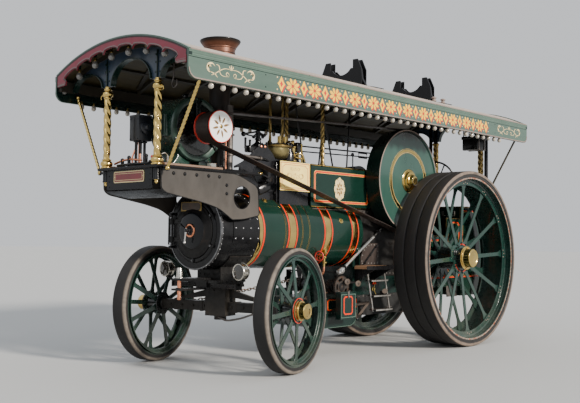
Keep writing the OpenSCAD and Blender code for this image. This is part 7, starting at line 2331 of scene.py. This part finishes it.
STEP_PLATE = surface("footplate_iron", (0.075, 0.070, 0.064), 0.5, metal=0.5, vary=0.35, vscale=9, rvar=0.2, bump=0.3, bscale=70, dust=(DUST, 0.3))
recoat("tender", "tender_body", [GREEN, COAL, STEP_PLATE], tender_pick)
p = Piece()
for s in (1, -1):
    m = Matrix.Identity(4) if s > 0 else MIRROR_Y
    # beading along the top edges and round the side sheets
    p.add(tube([(-2.902, 0.475, 1.722), (-2.150, 0.475, 1.722), (-2.150, 0.475, 1.563), (-1.800, 0.475, 1.563), (-1.800, 0.475, 1.333), (-1.200, 0.475, 1.333), (-1.200, 0.475, 0.752)], 0.0085, 10), 2, m)
    # lining panels
    for x0, x1, z0, z1 in ((-2.870, -2.190, 0.800, 1.680), (-2.120, -1.830, 0.800, 1.520), (-1.780, -1.230, 0.800, 1.290)):
        for (w, ins, mat) in ((0.013, 0.0, 0), (0.003, 0.020, 1)):
            o, i = cut_frame(x0 + ins, x1 - ins, z0 + ins, z1 - ins, 0.035, w)
            p.add(prism(o, 0.0011 if mat == 0 else 0.0008, [i]), mat, m @ on_xz(0.4763))
    rivets(p, [(x, s * 0.4752, z, (0, s, 0)) for z in (0.582, 1.704) for x in [-2.885 + 0.05 * k for k in range(15)]], 0.006, 3)
    rivets(p, [(x, s * 0.4752, z, (0, s, 0)) for x in (-2.886, -2.166) for z in [0.64 + 0.06 * k for k in range(18)]], 0.006, 3)
    rivets(p, [(x, s * 0.4752, 0.720, (0, s, 0)) for x in [-2.10 + 0.065 * k for k in range(14)]], 0.006, 3)
    # rear corner angles
    p.add(bevelled(box(-2.906, -2.899, 0.430, 0.479, 0.560, 1.720), 0.002), 3, m)
    rivets(p, [(-2.906, s * 0.452, z, (-1, 0, 0)) for z in [0.62 + 0.075 * k for k in range(15)]], 0.006, 3)
    # step at the back of the footplate on each side
    p.add(bevelled(box(-2.060, -1.800, 0.476, 0.480, 0.560, 0.700), 0.001), 3, m)
    # small turned boss on the top edge of each side sheet
    p.add(lathe([(0.012, 0), (0.030, 0.004), (0.030, 0.010), (0.012, 0.012)], 20), 3, m @ move(-2.30, 0.476, 1.72))
p.add(tube([(-2.902, -0.475, 1.722), (-2.902, 0.475, 1.722)], 0.0085, 10), 2)
p.add(tube([(-2.150, -0.475, 1.722), (-2.150, 0.475, 1.722)], 0.0085, 10), 2)
back = [(-0.420, 0.800), (0.420, 0.800), (0.420, 1.660), (-0.420, 1.660)]
for (w, ins, mat) in ((0.013, 0.0, 0), (0.003, 0.020, 1)):
    o, i = cut_frame(-0.405 + ins, 0.405 - ins, 0.800 + ins, 1.660 - ins, 0.040, w)
    p.add(prism(o, 0.0010, [i]), mat, move(-2.9013, 0, 0) @ on_yz(0))
# plain scroll on the rear sheet
put_strokes(p, flourish(0.42, 0.16), move(-2.9010, 0, 1.23) @ on_yz(0) @ MIRROR_Y @ MIRROR_Y, 1, 0.0009)
# tank filler, hose hooks, steps and a tail lamp
p.add(lathe([(0.060, 0), (0.095, 0), (0.098, 0.006), (0.090, 0.050), (0.102, 0.056), (0.102, 0.070), (0.095, 0.080), (0.030, 0.092), (0, 0.093)], 40), 3, move(-2.55, -0.36, 1.70) @ move(0, 0, 0.0))
p.add(bevelled(box(-2.70, -2.40, -0.462, -0.250, 1.660, 1.702), 0.005, 2), 4)
p.add(bevelled(box(-2.915, -2.905, 0.300, 0.360, 0.86, 0.92), 0.002), 3)
p.add(lathe([(0.016, 0), (0.046, 0.004), (0.050, 0.012), (0.050, 0.070), (0.042, 0.082), (0.030, 0.086), (0.030, 0.100), (0.0, 0.102)], 28), 3, move(-2.945, 0.330, 0.86))
p.add(lathe([(0, 0), (0.026, 0), (0.028, 0.008), (0.026, 0.014), (0.020, 0.015), (0, 0.010)], 24), 5, move(-2.990, 0.330, 0.905) @ ry(-pi / 2))
for z in (0.70, 0.95):
    p.add(tube([(-2.905, -0.40, z), (-2.955, -0.40, z - 0.01), (-2.955, -0.28, z - 0.01), (-2.905, -0.28, z)], 0.008, 10), 3)
p.make("tender_trim", "chassis", [ORANGE, GOLD_LINE, BRASS_DULL, IRON, GREEN, DARK_RED], "green_paint", 36)

# ---------- coal ----------
p = Piece()
seed = 12345


def rnd():
    global seed
    seed = (seed * 1103515245 + 12345) % 2147483648
    return seed / 2147483648


ico = [(0, 0, -1), (0.72, -0.53, -0.45), (-0.28, -0.85, -0.45), (-0.89, 0, -0.45), (-0.28, 0.85, -0.45), (0.72, 0.53, -0.45),
       (0.28, -0.85, 0.45), (-0.72, -0.53, 0.45), (-0.72, 0.53, 0.45), (0.28, 0.85, 0.45), (0.89, 0, 0.45), (0, 0, 1)]
ico_f = [(0, 1, 2), (1, 0, 5), (0, 2, 3), (0, 3, 4), (0, 4, 5), (1, 5, 10), (2, 1, 6), (3, 2, 7), (4, 3, 8), (5, 4, 9),
         (1, 10, 6), (2, 6, 7), (3, 7, 8), (4, 8, 9), (5, 9, 10), (6, 10, 11), (7, 6, 11), (8, 7, 11), (9, 8, 11), (10, 9, 11)]
for k in range(900):
    x = -2.88 + 0.71 * rnd()
    y = -0.45 + 0.90 * rnd()
    top = 1.50 - 0.16 * ((x + 2.55) / 0.35) ** 2 - 0.18 * (y / 0.46) ** 2
    z = top - 0.05 * rnd()
    if y < -0.24 and z > 1.62:
        continue
    r = 0.018 + 0.034 * rnd() ** 2
    x = min(max(x, -2.886 + r * 1.3), -2.164 - r * 1.3)
    y = min(max(y, -0.461 + r * 1.3), 0.461 - r * 1.3)
    sx, sy, sz = 0.8 + 0.5 * rnd(), 0.8 + 0.5 * rnd(), 0.6 + 0.4 * rnd()
    v = [(a * sx * r * (0.85 + 0.3 * rnd()), b * sy * r * (0.85 + 0.3 * rnd()), c * sz * r * (0.85 + 0.3 * rnd())) for a, b, c in ico]
    p.add((v, ico_f), 0, move(x, y, z) @ rz(rnd() * 6.28) @ rx(rnd() * 3.1))
# the heap itself, under the lumps
nx, ny = 14, 18
v, f = [], []
for i in range(nx + 1):
    for j in range(ny + 1):
        x = -2.887 + 0.724 * i / nx
        y = -0.462 + 0.924 * j / ny
        z = 1.46 - 0.16 * ((x + 2.55) / 0.35) ** 2 - 0.18 * (y / 0.46) ** 2 + 0.02 * sin(i * 2.1 + j * 1.7)
        v.append((x, y, z))
for i in range(nx):
    for j in range(ny):
        a = i * (ny + 1) + j
        f.append((a, a + ny + 1, a + ny + 2, a + 1))
p.add((v, f), 0)
p.make("coal", "chassis", [COAL], None, 20)

# ---------- rear drawbar ----------
give("rear_drawbar", BLACK)
p = Piece()
for y in (-0.085, 0.085):
    for z in (0.585, 0.643, 0.700):
        p.add(hexbolt(0.013, 0.012), 0, move(-2.914, y, z) @ ry(-pi / 2))
p.add(lathe([(0.026, 0.700), (0.040, 0.700), (0.042, 0.703), (0.040, 0.706), (0.026, 0.706)], 32), 0, move(-2.962, 0, 0))
p.add(tube([(-2.93, 0.05, 0.72), (-2.95, 0.07, 0.66), (-2.95, 0.075, 0.60)], 0.004, 6), 0)
p.make("drawbar_bolts", "chassis", [IRON], "black_paint", 36)

# ---------- underside: springs, cross members, damper rods ----------
p = Piece()
p.add(bevelled(box(-1.130, -1.090, -0.236, 0.236, 0.395, 0.402), 0.001), 0)
for y in (-0.12, 0.12):
    p.add(tube([(-0.30, y, 0.50), (-0.20, y, 0.46), (-0.12, y, 0.47)], 0.008, 8), 0)
p.add(tube([(-1.15, 0.10, 0.50), (-1.50, 0.10, 0.52), (-2.16, 0.10, 0.66)], 0.008, 8), 0)
for x in (-0.36, -0.72, -1.08):
    p.add(bevelled(box(x - 0.012, x + 0.012, -0.246, 0.246, 0.612, 0.640), 0.002), 0)
for s in (1, -1):
    m = Matrix.Identity(4) if s > 0 else MIRROR_Y
    rivets(p, [(x, s * 0.2405, 0.620, (0, s, 0)) for x in [-1.12 + 0.07 * k for k in range(14)]], 0.006, 0)
    # damper door handles on the ashpan
    p.add(tube([(-0.9, 0.242, 0.47), (-0.9, 0.262, 0.47), (-0.8, 0.262, 0.47), (-0.8, 0.242, 0.47)], 0.006, 8), 0, m)
p.make("underside_fittings", "chassis", [IRON], "black_paint", 36)


# ---------- stage, light and camera ----------
def stage_mat(name, color, rough=0.9):
    m = bpy.data.materials.new(name)
    m.use_nodes = True
    b = m.node_tree.nodes["Principled BSDF"]
    b.inputs["Base Color"].default_value = (*color, 1)
    b.inputs["Roughness"].default_value = rough
    b.inputs["Specular IOR Level"].default_value = 0.2
    return m


me = bpy.data.meshes.new("floor")
k = 96
me.from_pydata([(90 * cos(TAU * i / k), 90 * sin(TAU * i / k), -0.004) for i in range(k)], [], [list(range(k))])
floor = bpy.data.objects.new("floor", me)
me.materials.append(stage_mat("floor_pale", (0.42, 0.42, 0.41)))
scene.collection.objects.link(floor)

world = bpy.data.worlds.new("world")
scene.world = world
world.use_nodes = True
bg = world.node_tree.nodes["Background"]
bg.inputs["Color"].default_value = (0.80, 0.82, 0.85, 1)
bg.inputs["Strength"].default_value = 0.95
# soft dome: brighter overhead than at the horizon
wt = world.node_tree
w_tc = wt.nodes.new("ShaderNodeTexCoord")
w_sep = wt.nodes.new("ShaderNodeSeparateXYZ")
w_map = wt.nodes.new("ShaderNodeMapRange")
w_mix = wt.nodes.new("ShaderNodeMix")
w_mix.data_type = "RGBA"
wt.links.new(w_tc.outputs["Generated"], w_sep.inputs[0])
wt.links.new(w_sep.outputs[2], w_map.inputs["Value"])
w_map.inputs["From Min"].default_value = 0.30
w_map.inputs["From Max"].default_value = 0.85
wt.links.new(w_map.outputs["Result"], w_mix.inputs[0])
w_mix.inputs[6].default_value = (0.80, 0.82, 0.85, 1)
w_mix.inputs[7].default_value = (1.05, 1.12, 1.22, 1)
wt.links.new(w_mix.outputs[2], bg.inputs["Color"])


def sun(name, direction, strength, angle, color=(1, 1, 1)):
    d = bpy.data.lights.new(name, "SUN")
    d.energy = strength
    d.angle = radians(angle)
    d.color = color
    o = bpy.data.objects.new(name, d)
    o.rotation_mode = "QUATERNION"
    o.rotation_quaternion = Vector(direction).to_track_quat("Z", "Y")
    scene.collection.objects.link(o)


sun("key", (-0.10, 1.0, 0.42), 7.2, 8, (1.0, 0.93, 0.84))
sun("fill", (0.9, 0.25, 0.55), 0.45, 40, (0.92, 0.96, 1.0))

# camera solved from the photograph
AZ, PITCH, ROLL = 0.7341, 0.0427, 0.0098
fwd = Vector((-cos(AZ) * cos(PITCH), -sin(AZ) * cos(PITCH), sin(PITCH)))
right0 = fwd.cross(Vector((0, 0, 1))).normalized()
up0 = right0.cross(fwd)
right = right0 * cos(ROLL) + up0 * sin(ROLL)
up = -right0 * sin(ROLL) + up0 * cos(ROLL)
cam_data = bpy.data.cameras.new("camera")
cam_data.sensor_width = 36
cam_data.lens = 839.7993 / 580 * 36
cam_data.clip_start, cam_data.clip_end = 0.05, 400
camera = bpy.data.objects.new("camera", cam_data)
camera.matrix_world = Matrix.Translation((7.538, 6.2003, 1.2994)) @ Matrix(
    ((right.x, up.x, -fwd.x), (right.y, up.y, -fwd.y), (right.z, up.z, -fwd.z))).to_4x4()
scene.collection.objects.link(camera)
scene.camera = camera
